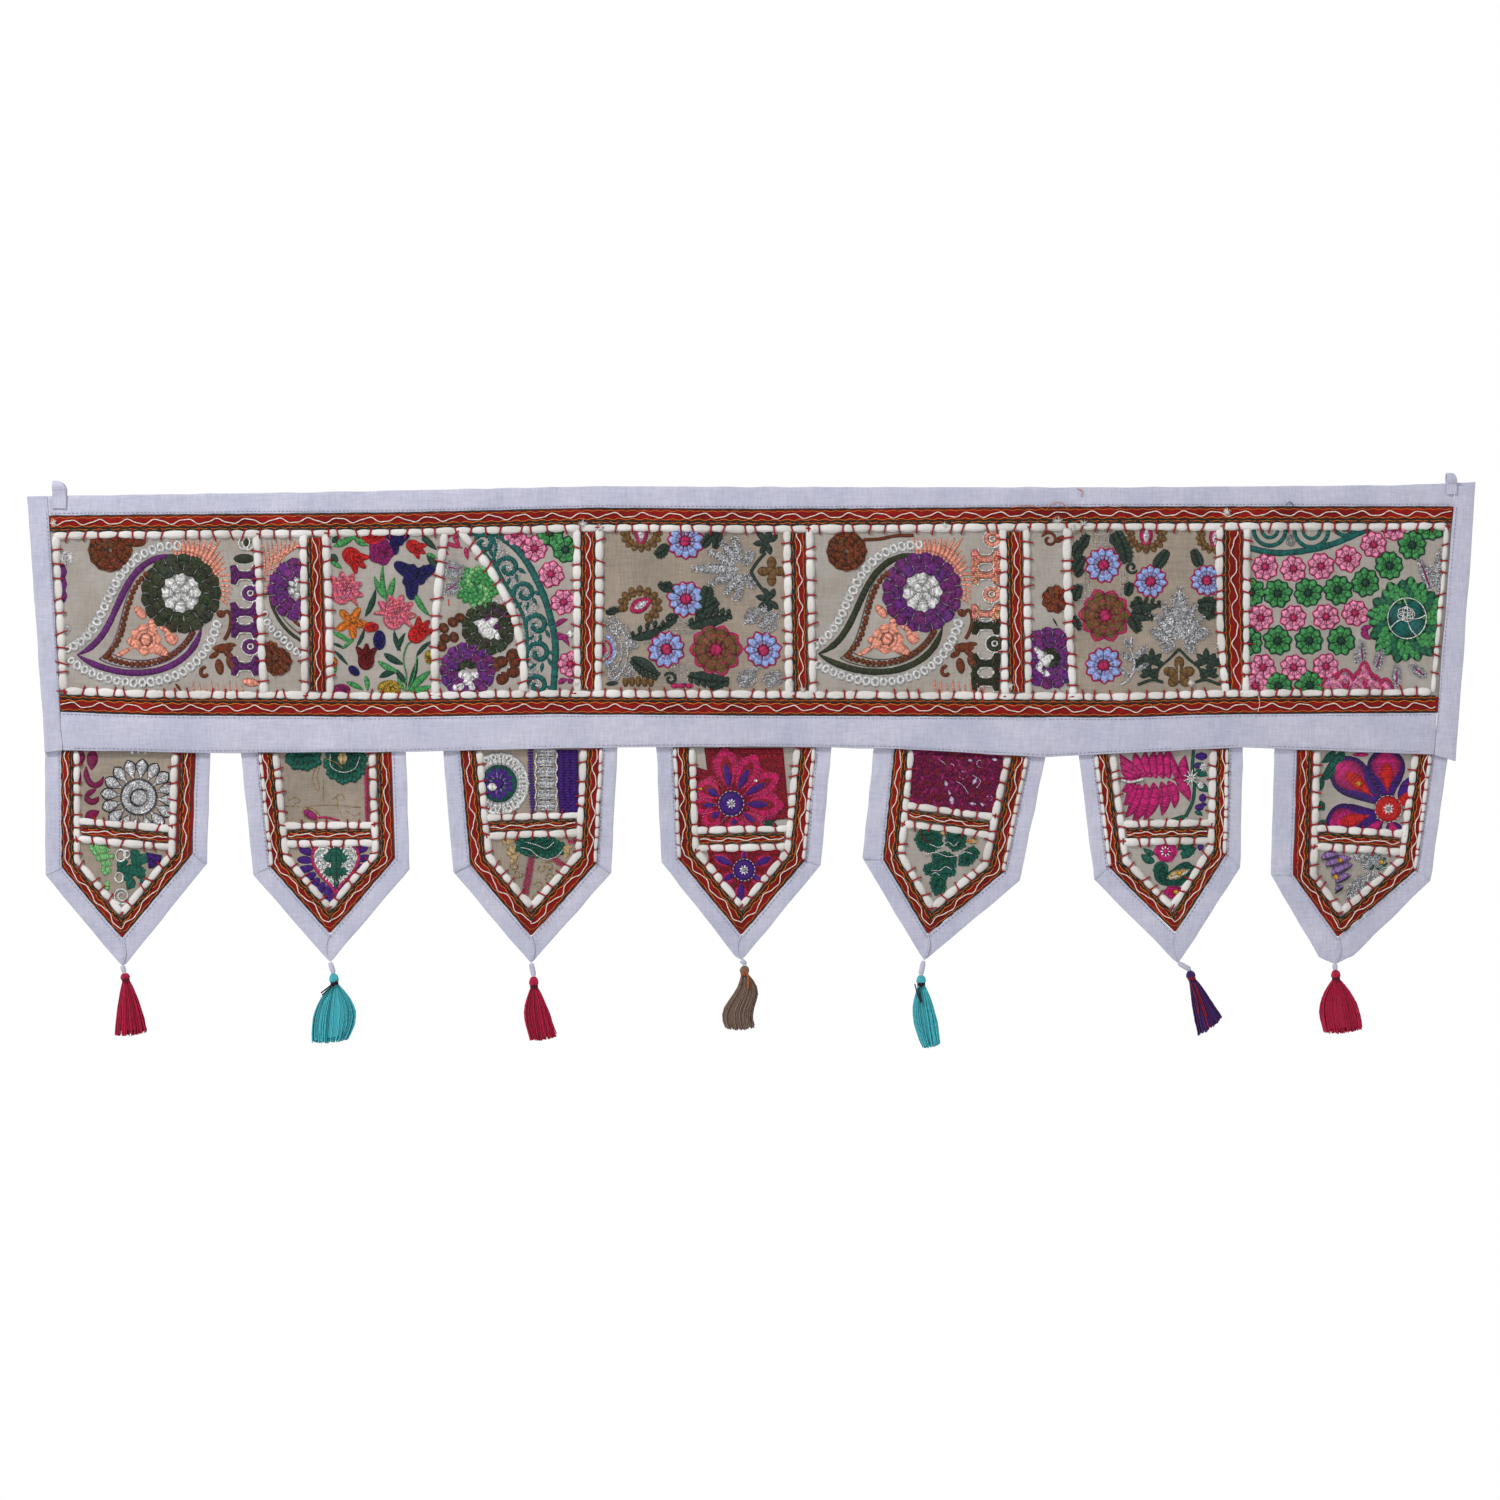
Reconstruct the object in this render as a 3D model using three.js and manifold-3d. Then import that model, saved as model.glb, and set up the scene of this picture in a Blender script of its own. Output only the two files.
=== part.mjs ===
// A toran: an embroidered patchwork valance that hangs across the top of a doorway.
// A long band carries seven pointed flaps on its lower edge, and a tassel hangs from each point.
// Millimetres. +X runs across the doorway, +Z is up, and the embroidered front faces -Y.
// The origin is the middle of the band's top edge.
import * as THREE from "three";
import { mergeVertices } from "three/addons/utils/BufferGeometryUtils.js";
import Module from "manifold-3d";

const wasm = await Module();
wasm.setup();
const { lerp, clamp, degToRad } = THREE.MathUtils;

// Layers of cloth. Heights are measured towards the viewer from the front of the patchwork.
const GAP = 0.3;
const PANEL_THICKNESS = 1.6;
const RIBBON_THICKNESS = 1.0;
const RIBBON_LIFT = 0.45;
const BORDER_FRONT = 1.5;
const BORDER_BACK = -0.8;
const BINDING_FRONT = 1.0;
const BINDING_BACK = -1.0;
const FLAP_SET_BACK = 2.4;
const FLAP_TUCK = 12;

// The padded white piping between the patches.
const PIPING_HEIGHT = 2.2;
const PIPING_HALF_WIDTH = 3.0;
const PIPING_ROOT = -0.4;

// The band. Each side border is a straight strip from its top corner to its bottom corner.
const CORNERS = {
  left: { outerTop: -508.4, outerBottom: -495.8, seamTop: -493.8, seamBottom: -483.5 },
  right: { outerTop: 507.7, outerBottom: 494.1, seamTop: 493.3, seamBottom: 478.8 },
};
const LEFT_TOP_Z = -6.5;
const RIGHT_TOP_Z = 3.8;
const LEFT_BOTTOM_Z = -186.2;
const RIGHT_BOTTOM_Z = -192.6;
const TOP_EDGE = [
  { x: -509, z: -6.5 },
  { x: -300, z: -3.6 },
  { x: -105, z: 0.6 },
  { x: 0, z: 0 },
  { x: 260, z: -0.3 },
  { x: 470, z: 1.4 },
  { x: 508, z: 3.8 },
];
const PANEL_TOP_EDGE = [
  { x: -494, z: -20.3 },
  { x: -247, z: -18.2 },
  { x: -110, z: -14.9 },
  { x: 5, z: -15.8 },
  { x: 250, z: -14.0 },
  { x: 493, z: -13.9 },
];
const PANEL_BOTTOM_EDGE = [
  { x: -487, z: -157.5 },
  { x: -420, z: -159.8 },
  { x: -247, z: -161.1 },
  { x: -140, z: -159.2 },
  { x: 258, z: -161.5 },
  { x: 335, z: -159.2 },
  { x: 482, z: -158.1 },
];
const BOTTOM_EDGE = [
  { x: -496, z: -186.2 },
  { x: -482, z: -184.6 },
  { x: -381, z: -186.6 },
  { x: -247, z: -185.9 },
  { x: -142, z: -183.4 },
  { x: 5, z: -181.9 },
  { x: 100, z: -183.6 },
  { x: 204, z: -189.5 },
  { x: 343, z: -182.7 },
  { x: 478, z: -187.6 },
  { x: 495, z: -192.6 },
];
const BAND_STEPS = 28;
const BAND_STEPS_UP = 3;

// Ribbons run along the top and bottom of the patchwork, outside the long pipings.
const RIBBON_INSET = 0.4;
const TOP_RIBBON_WIDTH = 9.9;
const BOTTOM_RIBBON_WIDTH = 10.6;
const TOP_PIPING_DROP = 13.6;
const BOTTOM_PIPING_RISE = 14.2;

// The upright pipings, left to right: x at the top and bottom piping, and how far the middle bows.
// ribbon marks the pairs with a ribbon between them.
const UPRIGHT_PIPINGS = [
  { top: -488.2, bottom: -482.9, bow: 0, ribbon: false },
  { top: -347.7, bottom: -342.6, bow: 0, ribbon: false },
  { top: -314.6, bottom: -313.7, bow: 0, ribbon: true },
  { top: -299.2, bottom: -295.9, bow: 0.6, ribbon: false },
  { top: -215.1, bottom: -221.5, bow: -3.4, ribbon: false },
  { top: -204.8, bottom: -160.6, bow: 14.3, ribbon: false },
  { top: -122.4, bottom: -122.4, bow: 0, ribbon: true },
  { top: -107.1, bottom: -108.0, bow: 0, ribbon: false },
  { top: 24.8, bottom: 26.4, bow: 0, ribbon: true },
  { top: 40.0, bottom: 42.6, bow: 0, ribbon: false },
  { top: 176.1, bottom: 177.8, bow: 0, ribbon: true },
  { top: 192.2, bottom: 193.9, bow: 0, ribbon: false },
  { top: 221.1, bottom: 225.4, bow: -1.2, ribbon: false },
  { top: 328.3, bottom: 332.5, bow: -2.1, ribbon: true },
  { top: 347.0, bottom: 346.1, bow: 0, ribbon: false },
  { top: 487.4, bottom: 478.2, bow: 0, ribbon: false },
];
const UPRIGHT_STEPS = 4;

// The flaps. x and z of the five corners of each outline, the widths of its binding and ribbon,
// the height of the ribbon that crosses it, how far its point curls back, and how blunt the folded
// binding leaves the point on either side.
const FLAPS = [
  {
    seamLeft: -496.2, shoulderLeft: [-495.9, -272.3], tip: [-442.6, -336.0],
    seamRight: -380.5, shoulderRight: [-383.1, -264.4], curl: 2.5, twist: 1.2,
    bindingLeft: 11.6, bindingLower: 12.3, bindingRight: 10.2, ribbonLeft: 7.5, ribbonRight: 11.8,
    crossLeft: -240.6, crossRight: -246.4, bluntLeft: [-3.6, 3.8], bluntRight: [2.6, 1.4],
  },
  {
    seamLeft: -359.0, shoulderLeft: [-350.3, -272.0], tip: [-296.2, -333.2],
    seamRight: -243.1, shoulderRight: [-240.3, -268.0], curl: -2.0, twist: -1.0,
    bindingLeft: 12.5, bindingLower: 12.8, bindingRight: 10.0, ribbonLeft: 8.6, ribbonRight: 10.8,
    crossLeft: -244.1, crossRight: -243.6, bluntLeft: [-2.6, 2.2], bluntRight: [2.2, 2.0],
  },
  {
    seamLeft: -216.9, shoulderLeft: [-209.5, -269.8], tip: [-155.2, -334.0],
    seamRight: -94.4, shoulderRight: [-98.9, -270.8], curl: 3.0, twist: -0.8,
    bindingLeft: 12.3, bindingLower: 12.3, bindingRight: 10.6, ribbonLeft: 10.2, ribbonRight: 9.8,
    crossLeft: -238.5, crossRight: -236.2, bluntLeft: [-2.2, 2.2], bluntRight: [2.4, 2.0],
  },
  {
    seamLeft: -67.1, shoulderLeft: [-63.6, -263.1], tip: [-7.7, -331.6],
    seamRight: 55.9, shoulderRight: [48.1, -265.5], curl: -1.5, twist: 1.4,
    bindingLeft: 12.0, bindingLower: 10.8, bindingRight: 11.4, ribbonLeft: 9.6, ribbonRight: 9.8,
    crossLeft: -247.4, crossRight: -246.0, bluntLeft: [-4.0, 2.4], bluntRight: [3.2, 2.6],
  },
  {
    seamLeft: 85.6, shoulderLeft: [77.7, -260.3], tip: [120.6, -332.1],
    seamRight: 205.9, shoulderRight: [188.0, -276.2], curl: 2.2, twist: -1.3,
    bindingLeft: 14.6, bindingLower: 11.8, bindingRight: 12.0, ribbonLeft: 8.6, ribbonRight: 11.2,
    crossLeft: -229.7, crossRight: -238.2, bluntLeft: [-1.6, 2.4], bluntRight: [3.0, 1.8],
  },
  {
    seamLeft: 229.4, shoulderLeft: [240.1, -275.3], tip: [298.8, -333.6],
    seamRight: 344.4, shoulderRight: [342.2, -267.0], curl: -2.4, twist: 0.9,
    bindingLeft: 11.0, bindingLower: 13.4, bindingRight: 10.2, ribbonLeft: 9.4, ribbonRight: 7.6,
    crossLeft: -242.8, crossRight: -241.8, bluntLeft: [-3.4, 2.4], bluntRight: [2.0, 2.6],
  },
  {
    seamLeft: 366.7, shoulderLeft: [364.0, -272.0], tip: [409.7, -334.6],
    seamRight: 488.7, shoulderRight: [477.2, -276.2], curl: 2.8, twist: 1.0,
    bindingLeft: 15.6, bindingLower: 12.6, bindingRight: 11.5, ribbonLeft: 11.6, ribbonRight: 8.2,
    crossLeft: -245.6, crossRight: -249.8, bluntLeft: [-11.4, 4.6], bluntRight: [12.6, 5.2],
  },
];
const FLAP_PIPING_HALF_WIDTH = 2.8;
const CROSS_RIBBON_HALF_HEIGHT = 3.0;
const CROSS_PIPING_RISE = 6.2;
const TIP_HALF_WIDTH = 0.7;
const FLAP_SIDE_STEPS = 3;
const FLAP_LOWER_STEPS = 3;
const FLAP_STEPS_ACROSS = 4;
const HEM_CLEARANCE = 0.6;

// The tassels. A white cord, rolled from the end of the binding, carries each tassel's head.
// x and z of the head's top, the neck and the skirt's two bottom corners, and how far the skirt's
// left and right sides bulge half way down. sway bends the whole skirt into an S.
const TASSELS = [
  {
    headTop: [-441.2, -341.3], neck: [-439.9, -346.8],
    bottomLeft: [-447.5, -384.0], bottomRight: [-425.4, -381.6],
    bulgeLeft: 0.6, bulgeRight: 0.8, sway: 0,
  },
  {
    headTop: [-294.0, -341.4], neck: [-293.0, -349.3],
    bottomLeft: [-308.6, -388.6], bottomRight: [-283.6, -386.8],
    bulgeLeft: 4.4, bulgeRight: 8.5, sway: 0,
  },
  {
    headTop: [-153.4, -343.5], neck: [-152.9, -351.4],
    bottomLeft: [-155.6, -387.0], bottomRight: [-137.4, -384.4],
    bulgeLeft: 4.4, bulgeRight: 0.4, sway: 0,
  },
  {
    headTop: [-5.2, -336.0], neck: [-5.2, -342.4],
    bottomLeft: [-18.5, -379.0], bottomRight: [1.5, -378.4],
    bulgeLeft: 2.8, bulgeRight: 3.6, sway: 2.6,
  },
  {
    headTop: [118.8, -342.8], neck: [119.0, -350.0],
    bottomLeft: [120.0, -392.4], bottomRight: [132.0, -389.8],
    bulgeLeft: 5.4, bulgeRight: 1.6, sway: 0,
  },
  {
    headTop: [306.6, -339.4], neck: [308.4, -345.4],
    bottomLeft: [313.0, -383.4], bottomRight: [329.4, -371.4],
    bulgeLeft: 1.2, bulgeRight: -0.4, sway: 0,
  },
  {
    headTop: [410.0, -339.2], neck: [410.6, -346.0],
    bottomLeft: [402.4, -382.6], bottomRight: [429.0, -379.6],
    bulgeLeft: 5.8, bulgeRight: 3.4, sway: 0,
  },
];
const CORD_RADIUS = 1.9;
const HEAD_RADIUS = 3.3;
const NECK_RADIUS = 2.7;
const SKIRT_ROWS = [
  { locks: 7, depth: -1 },
  { locks: 6, depth: 0 },
  { locks: 7, depth: 1 },
];
const SKIRT_HALF_DEPTH = { neck: 1.6, bottom: 3.4 };
const LOCK_RADIUS = { root: 0.55, end: 0.95 };
const LOCK_STEPS = 4;

// The two tape loops sewn over the top border.
const LOOPS = [
  { side: "left", x: -485.6, tapeWidth: 9.8, eyeRadius: 3.5, eyeRise: 6.0, tail: 9 },
  { side: "right", x: 490.6, tapeWidth: 7.6, eyeRadius: 3.2, eyeRise: 3.0, tail: 8 },
];
const TAPE_THICKNESS = 1.0;

// Depth of the hanging cloth. The top border is flat, and soft waves grow down the band.
const FLAT_TOP_Z = -24;
const WAVE_REACH = 160;
const WAVES = [
  { height: 2.6, length: 430, phase: 0.6 },
  { height: 1.1, length: 248, phase: 2.1 },
];

const COLOURS = {
  cotton: { color: 0xd3d3e4, roughness: 0.9 },
  patchwork: { color: 0xb9aea0, roughness: 0.9 },
  ribbon: { color: 0x7d1010, roughness: 0.8 },
  pink: { color: 0xb01548, roughness: 0.6 },
  turquoise: { color: 0x35a5b5, roughness: 0.6 },
  taupe: { color: 0x8a7466, roughness: 0.6 },
  purple: { color: 0x3f1650, roughness: 0.6 },
};
const TASSEL_COLOURS = ["pink", "turquoise", "pink", "taupe", "turquoise", "purple", "pink"];

// Reads a short table of edge points as a height at any x.
function edgeHeight(rows) {
  return (x) => {
    const last = rows.length - 2;
    const i = clamp(rows.findIndex((row) => row.x > x) - 1, 0, last);
    const row = x >= rows[last + 1].x ? last : i;
    const share = clamp((x - rows[row].x) / (rows[row + 1].x - rows[row].x), 0, 1);
    return lerp(rows[row].z, rows[row + 1].z, share);
  };
}

const topEdge = edgeHeight(TOP_EDGE);
const panelTop = edgeHeight(PANEL_TOP_EDGE);
const panelBottom = edgeHeight(PANEL_BOTTOM_EDGE);
const bottomEdge = edgeHeight(BOTTOM_EDGE);

// Where the side border's seam stands at a height.
function seamX(side, z) {
  const [topZ, bottomZ] = side === "left" ? [LEFT_TOP_Z, LEFT_BOTTOM_Z] : [RIGHT_TOP_Z, RIGHT_BOTTOM_Z];
  return lerp(CORNERS[side].seamTop, CORNERS[side].seamBottom, (topZ - z) / (topZ - bottomZ));
}

// How far back the cloth lies at a point of its face.
function bandDepth(x, z) {
  const share = clamp((FLAT_TOP_Z - z) / WAVE_REACH, 0, 1);
  let sum = 0;
  for (const wave of WAVES) {
    sum += wave.height * Math.sin((2 * Math.PI * x) / wave.length + wave.phase);
  }
  return share * sum;
}

function flapDepth(flap) {
  const centre = (flap.seamLeft + flap.seamRight) / 2;
  const halfWidth = (flap.seamRight - flap.seamLeft) / 2;
  const seamZ = bottomEdge(centre);
  const reach = seamZ - flap.tip[1];
  return (x, z) => {
    const drop = Math.max(0, (seamZ - z) / reach);
    const across = (x - centre) / halfWidth;
    return bandDepth(x, z) + FLAP_SET_BACK + flap.curl * drop * drop + flap.twist * drop * across;
  };
}

// A closed mesh from vertices and triangles, turned so that its faces point out.
function closedGeometry(vertices, triangles) {
  let volume = 0;
  const [a, b, c] = [new THREE.Vector3(), new THREE.Vector3(), new THREE.Vector3()];
  for (const [i, j, k] of triangles) {
    a.copy(vertices[i]);
    b.copy(vertices[j]);
    c.copy(vertices[k]);
    volume += a.dot(b.cross(c));
  }
  const facing = volume < 0 ? triangles.map(([i, j, k]) => [i, k, j]) : triangles;
  const geometry = new THREE.BufferGeometry().setFromPoints(vertices);
  geometry.setIndex(facing.flat());
  geometry.computeVertexNormals();
  return geometry;
}

// Joins rings of points, each with the same count, into a closed tube with flat ends.
function ringSolid(rings, endTriangles) {
  const count = rings[0].length;
  const triangles = [];
  for (let i = 0; i + 1 < rings.length; i++) {
    for (let k = 0; k < count; k++) {
      const next = (k + 1) % count;
      const [here, there] = [i * count, (i + 1) * count];
      triangles.push([here + k, here + next, there + next], [here + k, there + next, there + k]);
    }
  }
  const lastRing = (rings.length - 1) * count;
  for (const [i, j, k] of endTriangles) {
    triangles.push([i, k, j], [lastRing + i, lastRing + j, lastRing + k]);
  }
  return closedGeometry(rings.flat(), triangles);
}

// A piece of cloth between two edge paths on the hanging face. The section says how far across each
// of its points lies, from path a to path b, and how high it stands in front of the face.
function clothBetween(a, b, section, depth) {
  const rings = a.map((from, i) =>
    section.map(({ across, height }) => {
      const x = lerp(from.x, b[i].x, across);
      const z = lerp(from.y, b[i].y, across);
      return new THREE.Vector3(x, depth(x, z) - height, z);
    }),
  );
  const outline = section.map(({ across, height }) => new THREE.Vector2(across * 100, height));
  return ringSolid(rings, THREE.ShapeUtils.triangulateShape(outline, []));
}

function flatSection(front, back, steps = 1) {
  const shares = Array.from({ length: steps + 1 }, (_, k) => k / steps);
  return [
    ...shares.map((across) => ({ across, height: back })),
    ...shares.reverse().map((across) => ({ across, height: front })),
  ];
}

const PIPING_SECTION = [
  { across: 0, height: PIPING_ROOT },
  { across: 1, height: PIPING_ROOT },
  { across: 0.93, height: 0.65 * PIPING_HEIGHT },
  { across: 0.5, height: PIPING_HEIGHT },
  { across: 0.07, height: 0.65 * PIPING_HEIGHT },
];
const RIBBON_SECTION = flatSection(RIBBON_LIFT + RIBBON_THICKNESS, RIBBON_LIFT);

// Divides each stretch of a path into equal steps.
function divided(path, steps) {
  const points = [path[0]];
  for (let i = 0; i + 1 < path.length; i++) {
    for (let k = 1; k <= steps[i]; k++) {
      points.push(path[i].clone().lerp(path[i + 1], k / steps[i]));
    }
  }
  return points;
}

// Points of the band along an edge, from one side seam to the other.
function bandEdge(edge, drop, clearance = GAP, steps = BAND_STEPS) {
  return Array.from({ length: steps + 1 }, (_, i) => {
    let x = 0;
    let z = edge(0) + drop;
    for (let pass = 0; pass < 4; pass++) {
      x = lerp(seamX("left", z) + clearance, seamX("right", z) - clearance, i / steps);
      z = edge(x) + drop;
    }
    return new THREE.Vector2(x, z);
  });
}

function toSolid(geometry) {
  const bare = geometry.clone();
  bare.deleteAttribute("normal");
  bare.deleteAttribute("uv");
  const merged = mergeVertices(bare, 1e-4);
  const vertProperties = new Float32Array(merged.attributes.position.array);
  const triVerts = new Uint32Array(merged.index.array);
  return new wasm.Manifold(new wasm.Mesh({ numProp: 3, vertProperties, triVerts }));
}

function toGeometry(solid) {
  const mesh = solid.getMesh();
  const geometry = new THREE.BufferGeometry();
  geometry.setAttribute("position", new THREE.BufferAttribute(mesh.vertProperties, 3));
  geometry.setIndex(new THREE.BufferAttribute(mesh.triVerts, 1));
  geometry.computeVertexNormals();
  return geometry;
}

function joined(geometries) {
  return toGeometry(geometries.map(toSolid).reduce((all, solid) => all.add(solid)));
}

const toran = new THREE.Group();

function addPiece(name, geometry, finish) {
  const mesh = new THREE.Mesh(geometry, new THREE.MeshStandardMaterial({ ...COLOURS[finish], metalness: 0 }));
  mesh.name = name;
  toran.add(mesh);
}

// The upright pipings' centre lines, from the top piping down to the bottom one.
function uprightLine({ top, bottom, bow }, shift = 0, clear = 0) {
  return Array.from({ length: UPRIGHT_STEPS + 1 }, (_, i) => {
    const share = i / UPRIGHT_STEPS;
    const x = lerp(top, bottom, share) + bow * 4 * share * (1 - share) + shift;
    const [high, low] = [panelTop(x) - TOP_PIPING_DROP - clear, panelBottom(x) + BOTTOM_PIPING_RISE + clear];
    return new THREE.Vector2(x, lerp(high, low, share));
  });
}

function bandPanel() {
  const sheet = clothBetween(
    bandEdge(panelBottom, GAP),
    bandEdge(panelTop, -GAP),
    flatSection(0, -PANEL_THICKNESS, BAND_STEPS_UP),
    bandDepth,
  );
  const longPiping = (edge, middle) =>
    clothBetween(
      bandEdge(edge, middle - PIPING_HALF_WIDTH, 1.2),
      bandEdge(edge, middle + PIPING_HALF_WIDTH, 1.2),
      PIPING_SECTION,
      bandDepth,
    );
  const uprights = UPRIGHT_PIPINGS.map((row) => {
    const [left, right] = [uprightLine(row, -PIPING_HALF_WIDTH), uprightLine(row, PIPING_HALF_WIDTH)];
    return clothBetween(left, right, PIPING_SECTION, bandDepth);
  });
  return joined([
    sheet,
    longPiping(panelTop, -TOP_PIPING_DROP),
    longPiping(panelBottom, BOTTOM_PIPING_RISE),
    ...uprights,
  ]);
}

function bandRibbons() {
  const top = clothBetween(
    bandEdge(panelTop, -RIBBON_INSET - TOP_RIBBON_WIDTH),
    bandEdge(panelTop, -RIBBON_INSET),
    RIBBON_SECTION,
    bandDepth,
  );
  const bottom = clothBetween(
    bandEdge(panelBottom, RIBBON_INSET),
    bandEdge(panelBottom, RIBBON_INSET + BOTTOM_RIBBON_WIDTH),
    RIBBON_SECTION,
    bandDepth,
  );
  addPiece("ribbon_top", top, "ribbon");
  addPiece("ribbon_bottom", bottom, "ribbon");
  const clear = PIPING_HALF_WIDTH + GAP;
  let number = 0;
  UPRIGHT_PIPINGS.forEach((row, i) => {
    if (!row.ribbon) return;
    const left = uprightLine(row, clear, clear);
    const right = uprightLine(UPRIGHT_PIPINGS[i + 1], -clear, clear);
    number += 1;
    addPiece(`ribbon_upright_${number}`, clothBetween(left, right, RIBBON_SECTION, bandDepth), "ribbon");
  });
}

function bandBorders() {
  const section = flatSection(BORDER_FRONT, BORDER_BACK);
  const top = clothBetween(bandEdge(panelTop, GAP), bandEdge(topEdge, 0), section, bandDepth);
  const bottom = clothBetween(bandEdge(bottomEdge, 0), bandEdge(panelBottom, -GAP), section, bandDepth);
  addPiece("border_top", top, "cotton");
  addPiece("border_bottom", bottom, "cotton");
  for (const side of ["left", "right"]) {
    const corner = CORNERS[side];
    const [topZ, bottomZ] = side === "left" ? [LEFT_TOP_Z, LEFT_BOTTOM_Z] : [RIGHT_TOP_Z, RIGHT_BOTTOM_Z];
    const outer = [new THREE.Vector2(corner.outerTop, topZ), new THREE.Vector2(corner.outerBottom, bottomZ)];
    const innerTopZ = topEdge(corner.seamTop);
    const innerBottomZ = bottomEdge(corner.seamBottom);
    const inner = [
      new THREE.Vector2(seamX(side, innerTopZ), innerTopZ),
      new THREE.Vector2(seamX(side, innerBottomZ), innerBottomZ),
    ];
    const strip = clothBetween(divided(outer, [8]), divided(inner, [8]), section, bandDepth);
    addPiece(`border_${side}`, strip, "cotton");
  }
}

// Where a line that runs up a flap meets the band's lower edge, or a rise above it.
function atHem(line, rise) {
  const point = line.from.clone();
  for (let pass = 0; pass < 4; pass++) {
    const z = bottomEdge(point.x) + rise;
    point.set(line.from.x + (line.along.x * (z - line.from.y)) / line.along.y, z);
  }
  return point;
}

// The path down a flap's left side, round its point and up its right side, moved inwards by a
// distance for each of its four stretches. It starts and ends at a rise above the band's lower edge.
function flapPath(flap, rise, distances) {
  const corners = [
    new THREE.Vector2(flap.seamLeft, bottomEdge(flap.seamLeft)),
    new THREE.Vector2(...flap.shoulderLeft),
    new THREE.Vector2(...flap.tip),
    new THREE.Vector2(...flap.shoulderRight),
    new THREE.Vector2(flap.seamRight, bottomEdge(flap.seamRight)),
  ];
  const lines = distances.map((distance, i) => {
    const along = corners[i + 1].clone().sub(corners[i]).normalize();
    const inward = new THREE.Vector2(-along.y, along.x);
    return { from: corners[i].clone().addScaledVector(inward, distance), along };
  });
  const meeting = (p, q) => {
    const share = q.from.clone().sub(p.from).cross(q.along) / p.along.cross(q.along);
    return p.from.clone().addScaledVector(p.along, share);
  };
  return [
    atHem(lines[0], rise),
    meeting(lines[0], lines[1]),
    meeting(lines[1], lines[2]),
    meeting(lines[2], lines[3]),
    atHem(lines[3], rise),
  ];
}

// The same path, inside the binding by a clearance.
function insideBinding(flap, clearance) {
  const { bindingLeft, bindingLower, bindingRight } = flap;
  const inner = [bindingLeft, bindingLower, bindingLower, bindingRight];
  return flapPath(flap, FLAP_TUCK, inner.map((width) => width + clearance));
}

// The same path, a distance inside the line where the flap's ribbon gives way to its piping. It
// stops just below the band.
function besideRibbon(flap, distance) {
  const ribbonLower = Math.min(flap.ribbonLeft, flap.ribbonRight) + 0.8;
  const left = flap.bindingLeft + flap.ribbonLeft + distance;
  const lower = flap.bindingLower + ribbonLower + distance;
  const right = flap.bindingRight + flap.ribbonRight + distance;
  return flapPath(flap, -HEM_CLEARANCE, [left, lower, lower, right]);
}

const FLAP_STEPS = [FLAP_SIDE_STEPS, FLAP_LOWER_STEPS, FLAP_LOWER_STEPS, FLAP_SIDE_STEPS];

// Where a flap's side runs at a height, on a path that is inset from its outline.
function sideX(path, side, z) {
  const [high, low] = side === "left" ? [path[0], path[1]] : [path[4], path[3]];
  const tip = path[2];
  const onSide = z >= low.y;
  const [from, to] = onSide ? [high, low] : [low, tip];
  return lerp(from.x, to.x, (from.y - z) / (from.y - to.y));
}

// A bar of cloth across a flap, between the insides of the two side pipings.
function crossBar(flap, path, rise, halfHeight, section, depth) {
  const ends = [-1, 1].map((edge) => {
    const leftZ = flap.crossLeft + rise + edge * halfHeight;
    const rightZ = flap.crossRight + rise + edge * halfHeight;
    const left = new THREE.Vector2(sideX(path, "left", leftZ), leftZ);
    const right = new THREE.Vector2(sideX(path, "right", rightZ), rightZ);
    return divided([left, right], [2]);
  });
  return clothBetween(ends[0], ends[1], section, depth);
}

function flapPanel(flap, depth) {
  const edge = insideBinding(flap, GAP);
  const tipLeft = edge[2].clone().add(new THREE.Vector2(-TIP_HALF_WIDTH, 2 * TIP_HALF_WIDTH));
  const tipRight = edge[2].clone().add(new THREE.Vector2(TIP_HALF_WIDTH, 2 * TIP_HALF_WIDTH));
  const steps = [FLAP_SIDE_STEPS, FLAP_LOWER_STEPS];
  const left = divided([edge[0], edge[1], tipLeft], steps);
  const right = divided([edge[4], edge[3], tipRight], steps);
  const sheet = clothBetween(left, right, flatSection(0, -PANEL_THICKNESS, FLAP_STEPS_ACROSS), depth);
  const frame = clothBetween(
    divided(besideRibbon(flap, 0), FLAP_STEPS),
    divided(besideRibbon(flap, 2 * FLAP_PIPING_HALF_WIDTH), FLAP_STEPS),
    PIPING_SECTION,
    depth,
  );
  const middle = besideRibbon(flap, FLAP_PIPING_HALF_WIDTH);
  const bars = [CROSS_PIPING_RISE, -CROSS_PIPING_RISE].map((rise) =>
    crossBar(flap, middle, rise, FLAP_PIPING_HALF_WIDTH - GAP, PIPING_SECTION, depth),
  );
  return joined([sheet, frame, ...bars]);
}

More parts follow.
